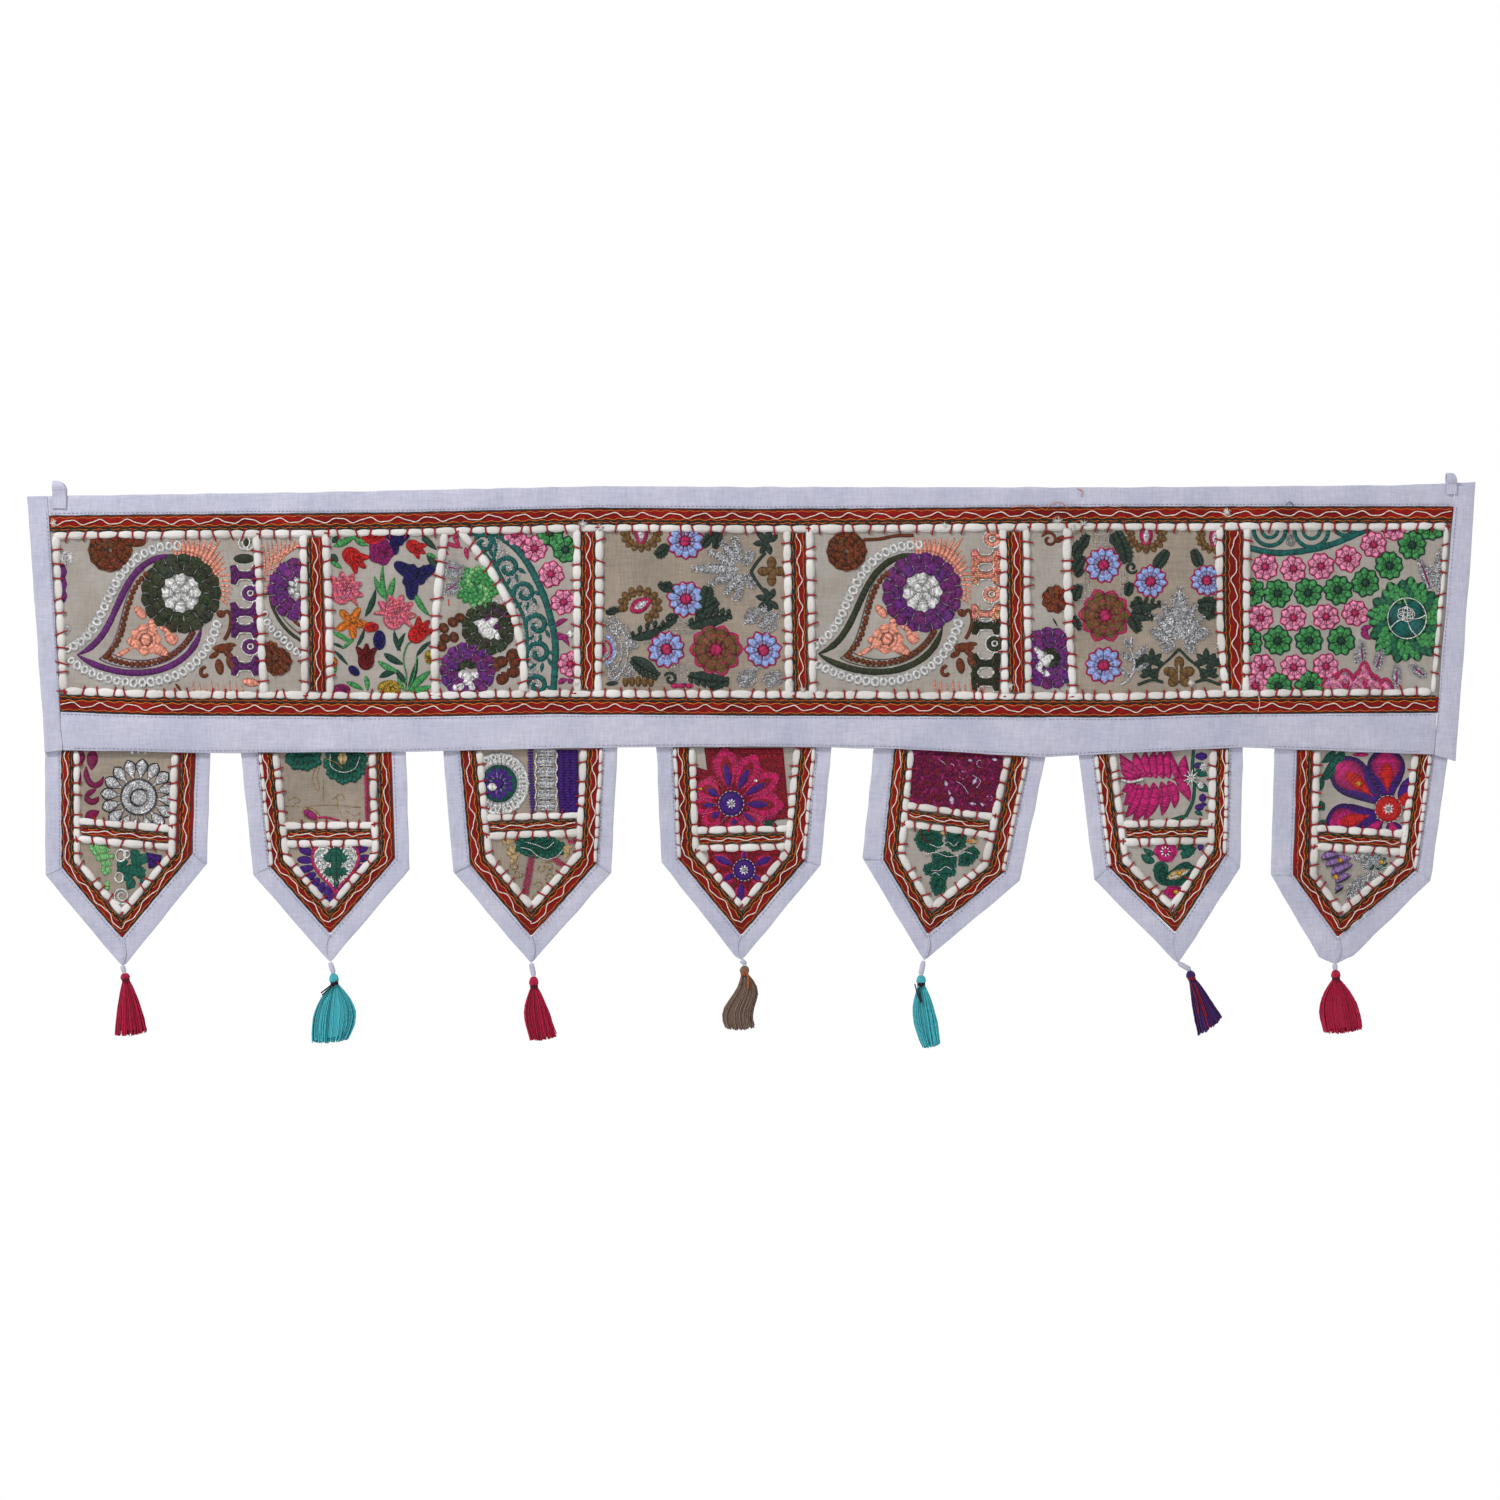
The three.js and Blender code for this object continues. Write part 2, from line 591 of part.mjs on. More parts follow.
function addFlap(flap, number) {
  const depth = flapDepth(flap);
  addPiece(`flap_panel_${number}`, flapPanel(flap, depth), "patchwork");

  const blunted = (path, left, right) => [
    ...divided(path.slice(0, 2).concat(path[2].clone().add(left)), FLAP_STEPS),
    path[2],
    ...divided([path[2].clone().add(right), ...path.slice(3)], FLAP_STEPS.slice(2)),
  ];
  const besideTip = new THREE.Vector2(GAP, 0);
  const outer = flapPath(flap, FLAP_TUCK, [0, 0, 0, 0]);
  const binding = clothBetween(
    blunted(outer, new THREE.Vector2(...flap.bluntLeft), new THREE.Vector2(...flap.bluntRight)),
    blunted(insideBinding(flap, 0), besideTip.clone().negate(), besideTip),
    flatSection(BINDING_FRONT, BINDING_BACK),
    depth,
  );
  addPiece(`flap_binding_${number}`, binding, "cotton");

  const ribbonEdge = flapPath(flap, -HEM_CLEARANCE, [
    flap.bindingLeft + RIBBON_INSET,
    flap.bindingLower + RIBBON_INSET,
    flap.bindingLower + RIBBON_INSET,
    flap.bindingRight + RIBBON_INSET,
  ]);
  const ribbon = clothBetween(
    divided(ribbonEdge, FLAP_STEPS),
    divided(besideRibbon(flap, -GAP), FLAP_STEPS),
    RIBBON_SECTION,
    depth,
  );
  addPiece(`flap_ribbon_${number}`, ribbon, "ribbon");

  const clearOfPiping = besideRibbon(flap, 2 * FLAP_PIPING_HALF_WIDTH + GAP);
  const crossRibbon = crossBar(flap, clearOfPiping, 0, CROSS_RIBBON_HALF_HEIGHT, RIBBON_SECTION, depth);
  addPiece(`flap_cross_ribbon_${number}`, crossRibbon, "ribbon");
}

// A round piece along a short line, with a radius at each station.
function roundPiece(centres, radii, sides) {
  const shares = Array.from({ length: sides }, (_, k) => (2 * Math.PI * k) / sides);
  const rings = centres.map((centre, i) => {
    const before = centres[Math.max(0, i - 1)];
    const after = centres[Math.min(centres.length - 1, i + 1)];
    const along = after.clone().sub(before).normalize();
    const aside = new THREE.Vector3(0, 1, 0).cross(along).normalize();
    const forward = along.clone().cross(aside);
    return shares.map((turn) =>
      centre
        .clone()
        .addScaledVector(aside, radii[i] * Math.cos(turn))
        .addScaledVector(forward, radii[i] * Math.sin(turn)),
    );
  });
  const fan = Array.from({ length: sides - 2 }, (_, k) => [0, k + 1, k + 2]);
  return ringSolid(rings, fan);
}

// The centre line of one lock of a skirt. across and deep run from -1 to 1 over the skirt.
function lockLine(tassel, across, deep, y) {
  const side = (across + 1) / 2;
  const [neckX, neckZ] = tassel.neck;
  const endX = lerp(tassel.bottomLeft[0], tassel.bottomRight[0], side);
  const rounding = 1.2 * (1 - across * across);
  const endZ = lerp(tassel.bottomLeft[1], tassel.bottomRight[1], side) - rounding;
  const bulge = across < 0 ? across * tassel.bulgeLeft : across * tassel.bulgeRight;
  return Array.from({ length: LOCK_STEPS + 1 }, (_, i) => {
    const share = i / LOCK_STEPS;
    const rootX = neckX + across * NECK_RADIUS * 0.72;
    const belly = Math.sin(Math.PI * share);
    const swing = tassel.sway * Math.sin(2 * Math.PI * share);
    const x = lerp(rootX, endX, Math.pow(share, 0.85)) + bulge * belly + swing;
    const z = lerp(neckZ + 0.8, endZ, share);
    const halfDepth = lerp(SKIRT_HALF_DEPTH.neck, SKIRT_HALF_DEPTH.bottom, share);
    const crown = Math.sqrt(1 - 0.6 * across * across);
    return new THREE.Vector3(x, y + deep * halfDepth * crown, z);
  });
}

function addTassel(flap, tassel, number) {
  const [headX, headZ] = tassel.headTop;
  const [neckX, neckZ] = tassel.neck;
  const tipX = flap.tip[0];
  const tipZ = flap.tip[1];
  const y = flapDepth(flap)(tipX, tipZ);
  const top = new THREE.Vector3(headX, y, headZ);
  const neck = new THREE.Vector3(neckX, y, neckZ);
  const headAxis = neck.clone().sub(top).normalize();
  const cordEnd = top.clone().addScaledVector(headAxis, -GAP);
  const cordBend = top.clone().addScaledVector(headAxis, -GAP - 1.5);
  const cordTop = new THREE.Vector3(tipX, y, tipZ - GAP);
  const cord = roundPiece(
    [cordTop, cordTop.clone().lerp(cordBend, 0.3), cordBend, cordEnd],
    [0.7, 1, 1, 0.8].map((share) => share * CORD_RADIUS),
    6,
  );
  addPiece(`tassel_cord_${number}`, cord, "cotton");

  const headShares = [0, 0.15, 0.5, 0.85, 1.0];
  const headRadii = [0.45, 0.85, 1, 0.92, 0.8].map((share) => share * HEAD_RADIUS);
  const head = roundPiece(
    headShares.map((share) => top.clone().lerp(neck, share)),
    headRadii,
    8,
  );
  const locks = SKIRT_ROWS.flatMap(({ locks: count, depth }) =>
    Array.from({ length: count }, (_, k) => {
      const across = (2 * (k + 0.5)) / count - 1 + 0.7 * (k / (count - 1) - 0.5) / count;
      const line = lockLine(tassel, across, depth, y);
      const radii = line.map((_, i) => lerp(LOCK_RADIUS.root, LOCK_RADIUS.end, i / LOCK_STEPS));
      return roundPiece(line, radii, 3);
    }),
  );
  addPiece(`tassel_${number}`, joined([head, ...locks]), TASSEL_COLOURS[number - 1]);
}

// A loop of tape: up in front of the border, round an eye above its edge, and down behind it.
function addLoop({ side, x, tapeWidth, eyeRadius, eyeRise, tail }) {
  const edgeZ = topEdge(x);
  const middleY = (-BORDER_FRONT - BORDER_BACK) / 2;
  const legFront = -BORDER_FRONT - GAP - TAPE_THICKNESS / 2;
  const legBack = -BORDER_BACK + GAP + TAPE_THICKNESS / 2;
  const lineRadius = eyeRadius + TAPE_THICKNESS / 2;
  const eyeZ = edgeZ + eyeRise;
  const arc = Array.from({ length: 13 }, (_, k) => {
    const turn = degToRad(lerp(218, -38, k / 12));
    return new THREE.Vector2(middleY + lineRadius * Math.cos(turn), eyeZ + lineRadius * Math.sin(turn));
  });
  const line = [
    new THREE.Vector2(legFront, edgeZ - tail),
    new THREE.Vector2(legFront, edgeZ - 0.6),
    ...arc,
    new THREE.Vector2(legBack, edgeZ - 0.6),
    new THREE.Vector2(legBack, edgeZ - tail),
  ];
  const rings = line.map((point, i) => {
    const [before, after] = [line[Math.max(0, i - 1)], line[Math.min(line.length - 1, i + 1)]];
    const along = after.clone().sub(before).normalize();
    const out = new THREE.Vector2(-along.y, along.x).multiplyScalar(TAPE_THICKNESS / 2);
    const corner = (edge, face) =>
      new THREE.Vector3(x + (edge * tapeWidth) / 2, point.x + face * out.x, point.y + face * out.y);
    return [corner(-1, -1), corner(1, -1), corner(1, 1), corner(-1, 1)];
  });
  addPiece(`hanging_loop_${side}`, ringSolid(rings, [[0, 1, 2], [0, 2, 3]]), "cotton");
}

addPiece("band_panel", bandPanel(), "patchwork");
bandRibbons();
bandBorders();
FLAPS.forEach((flap, i) => addFlap(flap, i + 1));
FLAPS.forEach((flap, i) => addTassel(flap, TASSELS[i], i + 1));
LOOPS.forEach(addLoop);

export default toran;
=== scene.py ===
"""Dresses the toran: cotton, ribbons, padded piping, embroidery and tassels.

The structure is in millimetres, on the object's face: x across and z up. The embroidery is laid out
in the pixels of the photograph's frame, x across and y down, because that is where it was placed.
"""

from math import atan2, cos, degrees, hypot, pi, radians, sin, sqrt

import bpy
import numpy as np
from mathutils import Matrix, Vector
from mathutils.bvhtree import BVHTree


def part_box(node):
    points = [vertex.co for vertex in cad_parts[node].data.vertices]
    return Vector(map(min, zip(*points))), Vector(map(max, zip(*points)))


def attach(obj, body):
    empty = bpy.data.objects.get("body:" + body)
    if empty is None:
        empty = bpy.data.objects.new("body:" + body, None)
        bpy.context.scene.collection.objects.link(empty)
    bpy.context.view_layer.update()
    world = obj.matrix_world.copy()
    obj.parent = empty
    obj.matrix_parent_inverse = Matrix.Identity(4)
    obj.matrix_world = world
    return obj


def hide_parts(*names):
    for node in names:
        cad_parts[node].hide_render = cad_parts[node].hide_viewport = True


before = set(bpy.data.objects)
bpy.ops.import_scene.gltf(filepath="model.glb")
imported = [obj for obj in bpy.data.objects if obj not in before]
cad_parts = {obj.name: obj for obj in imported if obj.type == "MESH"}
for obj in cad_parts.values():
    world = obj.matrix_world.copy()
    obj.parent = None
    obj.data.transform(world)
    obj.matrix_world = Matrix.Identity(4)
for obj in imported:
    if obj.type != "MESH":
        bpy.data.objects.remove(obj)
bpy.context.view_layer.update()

# Sizes, repeated from the solids.

PIXEL = 0.7015  # millimetres of the object to one pixel of the photograph
ORIGIN = (752.0, 487.0)  # the object's origin, in pixels
PANEL_THICKNESS = 1.6
PIPING_HALF_WIDTH = 3.0
FLAP_PIPING_HALF_WIDTH = 2.8
RIBBON_FRONT = 1.45
BORDER_FRONT = 1.5
BINDING_FRONT = 1.0

PANEL_TOP = [(-494, -20.3), (-247, -18.2), (-110, -14.9), (5, -15.8), (250, -14.0), (493, -13.9)]
PANEL_BOTTOM = [
    (-487, -157.5), (-420, -159.8), (-247, -161.1), (-140, -159.2),
    (258, -161.5), (335, -159.2), (482, -158.1),
]
HEM = [
    (-496, -186.2), (-482, -184.6), (-381, -186.6), (-247, -185.9), (-142, -183.4), (5, -181.9),
    (100, -183.6), (204, -189.5), (343, -182.7), (478, -187.6), (495, -192.6),
]
TOP_PIPING_DROP = 13.6
BOTTOM_PIPING_RISE = 14.2

# Upright pipings: x at the top and the bottom, and how far the middle bows.
UPRIGHTS = [
    (-488.2, -482.9, 0), (-347.7, -342.6, 0), (-314.6, -313.7, 0), (-299.2, -295.9, 0.6),
    (-215.1, -221.5, -3.4), (-204.8, -160.6, 14.3), (-122.4, -122.4, 0), (-107.1, -108.0, 0),
    (24.8, 26.4, 0), (40.0, 42.6, 0), (176.1, 177.8, 0), (192.2, 193.9, 0),
    (221.1, 225.4, -1.2), (328.3, 332.5, -2.1), (347.0, 346.1, 0), (487.4, 478.2, 0),
]
RIBBON_PAIRS = [(2, 3), (6, 7), (8, 9), (10, 11), (13, 14)]

# Flaps: the corners down the left side, round the point and up the right side, then the widths of
# the binding (left, lower, right) and of the ribbon (left, right), and the crossing ribbon's ends.
FLAPS = [
    ((-496.2, (-495.9, -272.3), (-442.6, -336.0), (-383.1, -264.4), -380.5),
     (11.6, 12.3, 10.2), (7.5, 11.8), (-240.6, -246.4)),
    ((-359.0, (-350.3, -272.0), (-296.2, -333.2), (-240.3, -268.0), -243.1),
     (12.5, 12.8, 10.0), (8.6, 10.8), (-244.1, -243.6)),
    ((-216.9, (-209.5, -269.8), (-155.2, -334.0), (-98.9, -270.8), -94.4),
     (12.3, 12.3, 10.6), (10.2, 9.8), (-238.5, -236.2)),
    ((-67.1, (-63.6, -263.1), (-7.7, -331.6), (48.1, -265.5), 55.9),
     (12.0, 10.8, 11.4), (9.6, 9.8), (-247.4, -246.0)),
    ((85.6, (77.7, -260.3), (120.6, -332.1), (188.0, -276.2), 205.9),
     (14.6, 11.8, 12.0), (8.6, 11.2), (-229.7, -238.2)),
    ((229.4, (240.1, -275.3), (298.8, -333.6), (342.2, -267.0), 344.4),
     (11.0, 13.4, 10.2), (9.4, 7.6), (-242.8, -241.8)),
    ((366.7, (364.0, -272.0), (409.7, -334.6), (477.2, -276.2), 488.7),
     (15.6, 12.6, 11.5), (11.6, 8.2), (-245.6, -249.8)),
]
CROSS_PIPING_RISE = 6.2
HEM_LAP = -0.6  # how far above the hem the work on a flap ends

# Tassels: the top of the head, the neck, the skirt's two bottom corners, the bulges of its sides
# and its sway.
TASSELS = [
    ((-441.2, -341.3), (-439.9, -346.8), (-447.5, -384.0), (-425.4, -381.6), 0.6, 0.8, 0),
    ((-294.0, -341.4), (-293.0, -349.3), (-308.6, -388.6), (-283.6, -386.8), 4.4, 8.5, 0),
    ((-153.4, -343.5), (-152.9, -351.4), (-155.6, -387.0), (-137.4, -384.4), 4.4, 0.4, 0),
    ((-5.2, -336.0), (-5.2, -342.4), (-18.5, -379.0), (1.5, -378.4), 2.8, 3.6, 2.6),
    ((118.8, -342.8), (119.0, -350.0), (120.0, -392.4), (132.0, -389.8), 5.4, 1.6, 0),
    ((306.6, -339.4), (308.4, -345.4), (313.0, -383.4), (329.4, -371.4), 1.2, -0.4, 0),
    ((410.0, -339.2), (410.6, -346.0), (402.4, -382.6), (429.0, -379.6), 5.8, 3.4, 0),
]


# Small tools.

def spot(x, y):
    """A point of the photograph's frame, in millimetres of the object's face."""
    return ((x - ORIGIN[0]) * PIXEL, (ORIGIN[1] - y) * PIXEL)


def run_of(path):
    """How far along a path each of its points lies."""
    return np.concatenate([[0], np.cumsum(np.linalg.norm(np.diff(path, axis=0), axis=1))])


def along(path, step):
    """A path resampled at about equal steps."""
    path = np.asarray(path, float)
    run = run_of(path)
    count = max(2, int(round(run[-1] / step)) + 1)
    at = np.linspace(0, run[-1], count)
    return np.stack([np.interp(at, run, path[:, k]) for k in range(path.shape[1])], axis=1)


def smooth(points, step=2.0, closed=False):
    """A Catmull-Rom curve through points, resampled at equal steps."""
    p = np.asarray(points, float)
    p = np.vstack([p[-1], p, p[0], p[1]]) if closed else np.vstack([2 * p[0] - p[1], p, 2 * p[-1] - p[-2]])
    t = np.linspace(0, 1, 9)[:-1, None]
    out = []
    for a, b, c, d in zip(p[:-3], p[1:-2], p[2:-1], p[3:]):
        out.append(0.5 * (2 * b + (c - a) * t + (2 * a - 5 * b + 4 * c - d) * t**2
                          + (3 * b - a - 3 * c + d) * t**3))
    out.append(p[-2][None])
    return along(np.concatenate(out), step)


def aside(path):
    """Unit vectors to the left of a path at each of its points."""
    step = np.gradient(path, axis=0)
    step /= np.maximum(np.linalg.norm(step, axis=1, keepdims=True), 1e-9)
    return np.stack([-step[:, 1], step[:, 0]], axis=1)


def ripples(x, z, length, seed, count=7):
    """Soft random waves over the face, about one unit high, with the given wavelength in mm."""
    luck = np.random.default_rng(seed)
    total = np.zeros_like(x)
    for turn, phase, scale in zip(luck.uniform(0, np.pi, count), luck.uniform(0, 6.3, count),
                                  luck.uniform(0.7, 1.5, count)):
        k = 2 * np.pi * scale / length
        total += np.sin(k * (x * np.cos(turn) + z * np.sin(turn)) + phase)
    return total / sqrt(count)


class Face:
    """How far back a sheet of the solids lies at any point, in millimetres."""

    def __init__(self, node, step=5.0):
        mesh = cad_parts[node].data
        tree = BVHTree.FromPolygons([v.co for v in mesh.vertices], [p.vertices for p in mesh.polygons])
        low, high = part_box(node)
        self.x = np.arange(low.x * 1000 - 2 * step, high.x * 1000 + 3 * step, step)
        self.z = np.arange(low.z * 1000 - 2 * step, high.z * 1000 + 3 * step, step)
        self.y = np.zeros((len(self.x), len(self.z)))
        for i, x in enumerate(self.x):
            for k, z in enumerate(self.z):
                start = Vector((x / 1000, 0.2, z / 1000))
                hit = tree.ray_cast(start, Vector((0, -1, 0)))[0]
                if hit is None:
                    near = tree.find_nearest(Vector((x / 1000, 0.05, z / 1000)))[0]
                    inside = Vector((near.x * 0.998 + x * 2e-6, 0.2, near.z * 0.998 + z * 2e-6))
                    hit = tree.ray_cast(inside, Vector((0, -1, 0)))[0] or near
                self.y[i, k] = hit.y * 1000 - PANEL_THICKNESS

    def __call__(self, x, z):
        fx = np.clip((x - self.x[0]) / (self.x[1] - self.x[0]), 0, len(self.x) - 1.001)
        fz = np.clip((z - self.z[0]) / (self.z[1] - self.z[0]), 0, len(self.z) - 1.001)
        i, k = fx.astype(int), fz.astype(int)
        u, w = fx - i, fz - k
        y = self.y
        return ((1 - u) * (1 - w) * y[i, k] + u * (1 - w) * y[i + 1, k]
                + (1 - u) * w * y[i, k + 1] + u * w * y[i + 1, k + 1])


BAND = Face("band_panel")
FLAP_FACES = [Face(f"flap_panel_{i}") for i in range(1, 8)]


class Sewing:
    """Collects grids of cloth or thread on a face into one mesh."""

    def __init__(self, face):
        self.face = face
        self.points, self.quads, self.uvs, self.colours = [], [], [], []
        self.count = 0

    def grid(self, x, z, lift, colour, uv=None, wrap=False):
        """x, z and lift are arrays of rows by columns, in mm; lift is the height in front of the face."""
        rows, cols = x.shape
        y = self.face(x, z) - lift
        self.points.append(np.stack([x, y, z], axis=-1).reshape(-1, 3))
        index = self.count + np.arange(rows * cols).reshape(rows, cols)
        if wrap:
            index = np.hstack([index, index[:, :1]])
        quads = np.stack([index[:-1, :-1], index[1:, :-1], index[1:, 1:], index[:-1, 1:]], axis=-1)
        self.quads.append(quads.reshape(-1, 4))
        self.uvs.append((np.zeros((rows, cols, 2)) if uv is None else uv).reshape(-1, 2))
        shade = np.broadcast_to(np.asarray(colour, float), (rows, cols, 3))
        self.colours.append(shade.reshape(-1, 3))
        self.count += rows * cols

    def strip(self, path, half_width, height, colour, base=0.0, cols=5, flat=0.0, shade=0.6,
              along_threads=False):
        """A raised band of thread along a path, darker towards both edges as painted shade. half_width may
        vary along it.
        """
        path = np.asarray(path, float)
        half = np.broadcast_to(np.asarray(half_width, float), (len(path),))
        side = aside(path)
        t = np.linspace(-1, 1, cols)
        xz = path[:, None] + side[:, None] * (half[:, None] * t)[..., None]
        dome = np.clip(1 - np.abs(t) ** (2 + 4 * flat), 0, 1) ** 0.5
        lift = base + height * dome[None] * np.minimum(1, half[:, None] / max(half.max(), 1e-6) + 0.15)
        run = run_of(path)
        across = half[:, None] * t
        uv = np.stack([across if along_threads else np.broadcast_to(run[:, None], across.shape),
                       np.broadcast_to(run[:, None], across.shape) if along_threads else across], axis=-1)
        # Painted shade: the colour falls to 1 - shade at the band's edges, where it curves down.
        tone = (1 - shade + shade * dome)[None, :, None] * np.asarray(colour, float)[None, None]
        self.grid(xz[..., 0], xz[..., 1], lift, np.broadcast_to(tone, xz.shape[:2] + (3,)), uv)

    def thread(self, path, radius, lift, colour, sides=4):
        """A round thread that lies along a path of the face."""
        path = np.asarray(path, float)
        side = aside(path)
        turn = np.linspace(0, 2 * np.pi, sides, endpoint=False) + np.pi / 4
        radius = np.broadcast_to(np.asarray(radius, float), (len(path),))[:, None]
        xz = path[:, None] + side[:, None] * (radius * np.cos(turn))[..., None]
        lifts = np.broadcast_to(np.asarray(lift, float), (len(path),))[:, None] + radius * np.sin(turn)
        run = run_of(path)
        uv = np.stack([np.broadcast_to(run[:, None], lifts.shape) * 0.7 + turn * 0.2, lifts], axis=-1)
        self.grid(xz[..., 0], xz[..., 1], lifts, colour, uv, wrap=True)

    def made(self, name, material, slot="patchwork", inside=None):
        """The mesh object, riding on the root body. inside keeps only the faces whose middle it accepts."""
        points = np.concatenate(self.points)
        quads = np.concatenate(self.quads)
        if inside is not None:
            middle = points[quads].mean(axis=1)
            quads = quads[inside(middle[:, 0], middle[:, 2])]
        mesh = bpy.data.meshes.new(name)
        mesh.vertices.add(len(points))
        mesh.vertices.foreach_set("co", (points / 1000).ravel())
        mesh.loops.add(quads.size)
        mesh.loops.foreach_set("vertex_index", quads.ravel())
        mesh.polygons.add(len(quads))
        mesh.polygons.foreach_set("loop_start", np.arange(0, quads.size, 4))
        mesh.polygons.foreach_set("use_smooth", np.ones(len(quads), bool))
        uv = mesh.uv_layers.new(name="stitch")
        uv.data.foreach_set("uv", np.concatenate(self.uvs)[quads.ravel()].ravel())
        colour = mesh.color_attributes.new("thread", "FLOAT_COLOR", "POINT")
        rgb = np.concatenate(self.colours)
        colour.data.foreach_set("color", np.hstack([rgb, np.ones((len(rgb), 1))]).ravel())
        mesh.update()
        mesh.validate()
        piece = bpy.data.objects.new(name, mesh)
        bpy.context.scene.collection.objects.link(piece)
        for each in material if isinstance(material, list) else [material]:
            mesh.materials.append(each)
        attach(piece, "root")
        return piece


# Materials.

def linear(red, green, blue):
    """A colour given as it looks on a screen, 0 to 255."""
    return tuple((c / 255 / 12.92 if c < 10.3 else ((c / 255 + 0.055) / 1.055) ** 2.4)
                 for c in (red, green, blue))


class Shader:
    """A small builder for node materials."""

    def __init__(self, name):
        self.material = bpy.data.materials.new(name)
        self.material.use_nodes = True
        self.nodes = self.material.node_tree.nodes
        self.links = self.material.node_tree.links
        self.surface = self.nodes["Principled BSDF"]

    def add(self, kind, settings=None, **inputs):
        node = self.nodes.new("ShaderNode" + kind)
        for key, value in (settings or {}).items():
            setattr(node, key, value)
        for key, value in inputs.items():
            self.put(node, key, value)
        return node

    def put(self, node, key, value):
        """Sets or links an input, which is named, or numbered after an underscore."""
        numbered = key[0] == "_" and key[1:].isdigit()
        socket = node.inputs[int(key[1:]) if numbered else key.replace("_", " ")]
        if isinstance(value, bpy.types.NodeSocket):
            self.links.new(value, socket)
        elif isinstance(value, bpy.types.Node):
            self.links.new(value.outputs[0], socket)
        elif socket.type == "RGBA":
            socket.default_value = (*value[:3], 1)
        else:
            socket.default_value = value

    def set(self, **inputs):
        for key, value in inputs.items():
            self.put(self.surface, key, value)

    def mm(self):
        """The object's own coordinates in millimetres."""
        where = self.add("TexCoord")
        return self.add("VectorMath", {"operation": "SCALE"}, _0=where.outputs["Object"], Scale=1000.0)

    def sum(self, operation, a, b=0.0, c=0.0):
        return self.add("Math", {"operation": operation}, _0=a, _1=b, _2=c)

    def mix(self, share, a, b, kind="MIX"):
        node = self.nodes.new("ShaderNodeMix")
        node.data_type = "RGBA"
        node.blend_type = kind
        self.put(node, "_0", share)
        for index, value in ((6, a), (7, b)):
            if isinstance(value, (bpy.types.NodeSocket, bpy.types.Node)):
                self.links.new(value if isinstance(value, bpy.types.NodeSocket) else value.outputs[0],
                               node.inputs[index])
            else:
                node.inputs[index].default_value = (*value[:3], 1)
        return node.outputs[2]

    def noise(self, size, detail, stretch=(1, 1, 1)):
        """Noise whose blotches are about size millimetres across."""
        place = self.add("VectorMath", {"operation": "MULTIPLY"}, _0=self.mm(),
                         _1=tuple(s / size for s in stretch))
        return self.add("TexNoise", _0=place, Scale=1.0, Detail=detail).outputs["Fac"]

    def ramp(self, value, low, high, a, b):
        """Turns low..high of a value into a..b."""
        node = self.add("MapRange", Value=value)
        for key, number in zip(("From Min", "From Max", "To Min", "To Max"), (low, high, a, b)):
            node.inputs[key].default_value = number
        return node.outputs[0]

    def bump(self, height, distance, strength=1.0, under=None):
        node = self.add("Bump", Height=height, Distance=distance / 1000, Strength=strength)
        if under is not None:
            self.links.new(under.outputs[0], node.inputs["Normal"])
        return node

    def weave(self, pitch):
        """Height of a plain weave of the given thread pitch in millimetres, 0 to 1."""
        place = self.mm()
        split = self.add("SeparateXYZ", _0=place)
        wave = []
        for axis, turn in (("X", 0.0), ("Z", pi)):
            angle = self.sum("MULTIPLY", split.outputs[axis], 2 * pi / pitch)
            other = self.sum("MULTIPLY", split.outputs["Z" if axis == "X" else "X"], pi / pitch)
            over = self.sum("SINE", self.sum("ADD", other, turn))
            wave.append(self.sum("MULTIPLY", self.sum("COSINE", angle),
                                 self.sum("MULTIPLY_ADD", over, 0.25, 0.5)))
        return self.sum("MULTIPLY_ADD", self.sum("MAXIMUM", wave[0], wave[1]), 0.6, 0.4)


def cloth(name, colour, pitch=0.5, rough=0.9, stain=None, slub=0.0, sheen=0.15, weave_depth=0.06,
          crease=1.0):
    """Plain woven cloth with uneven yarns, soft stains and creases."""
    s = Shader(name)
    weave = s.weave(pitch)
    blotch = s.noise(38, 4)
    yarn = s.noise(1.1, 2, stretch=(0.12, 1, 1))
    warp = s.noise(1.1, 2, stretch=(1, 1, 0.12))
    tone = s.mix(s.ramp(blotch, 0.35, 0.75, 0.0, 1.0), colour, stain or tuple(c * 0.88 for c in colour))
    streak = s.ramp(s.sum("ADD", yarn, warp), 0.6, 1.4, 0.9 - slub, 1.06 + slub)
    # Painted shade: the colour darkens in the low places of the weave, between the yarns.
    gap = s.ramp(weave, 0.0, 1.0, 0.86, 1.04)
    tone = s.mix(1.0, tone, s.add("CombineXYZ", _0=s.sum("MULTIPLY", streak, gap),
                                  _1=s.sum("MULTIPLY", streak, gap),
                                  _2=s.sum("MULTIPLY", streak, gap)), "MULTIPLY")
    creases = s.bump(s.noise(11, 4, stretch=(1, 1, 0.55)), 1.3 * crease, 0.9)
    slubs = s.bump(yarn, 0.08, 0.5, creases)
    s.set(Base_Color=tone, Roughness=rough, Normal=s.bump(weave, weave_depth, 0.8, slubs))
    s.surface.inputs["Sheen Weight"].default_value = sheen
    s.surface.inputs["Sheen Roughness"].default_value = 0.5
    s.surface.inputs["Specular IOR Level"].default_value = 0.25
    return s.material


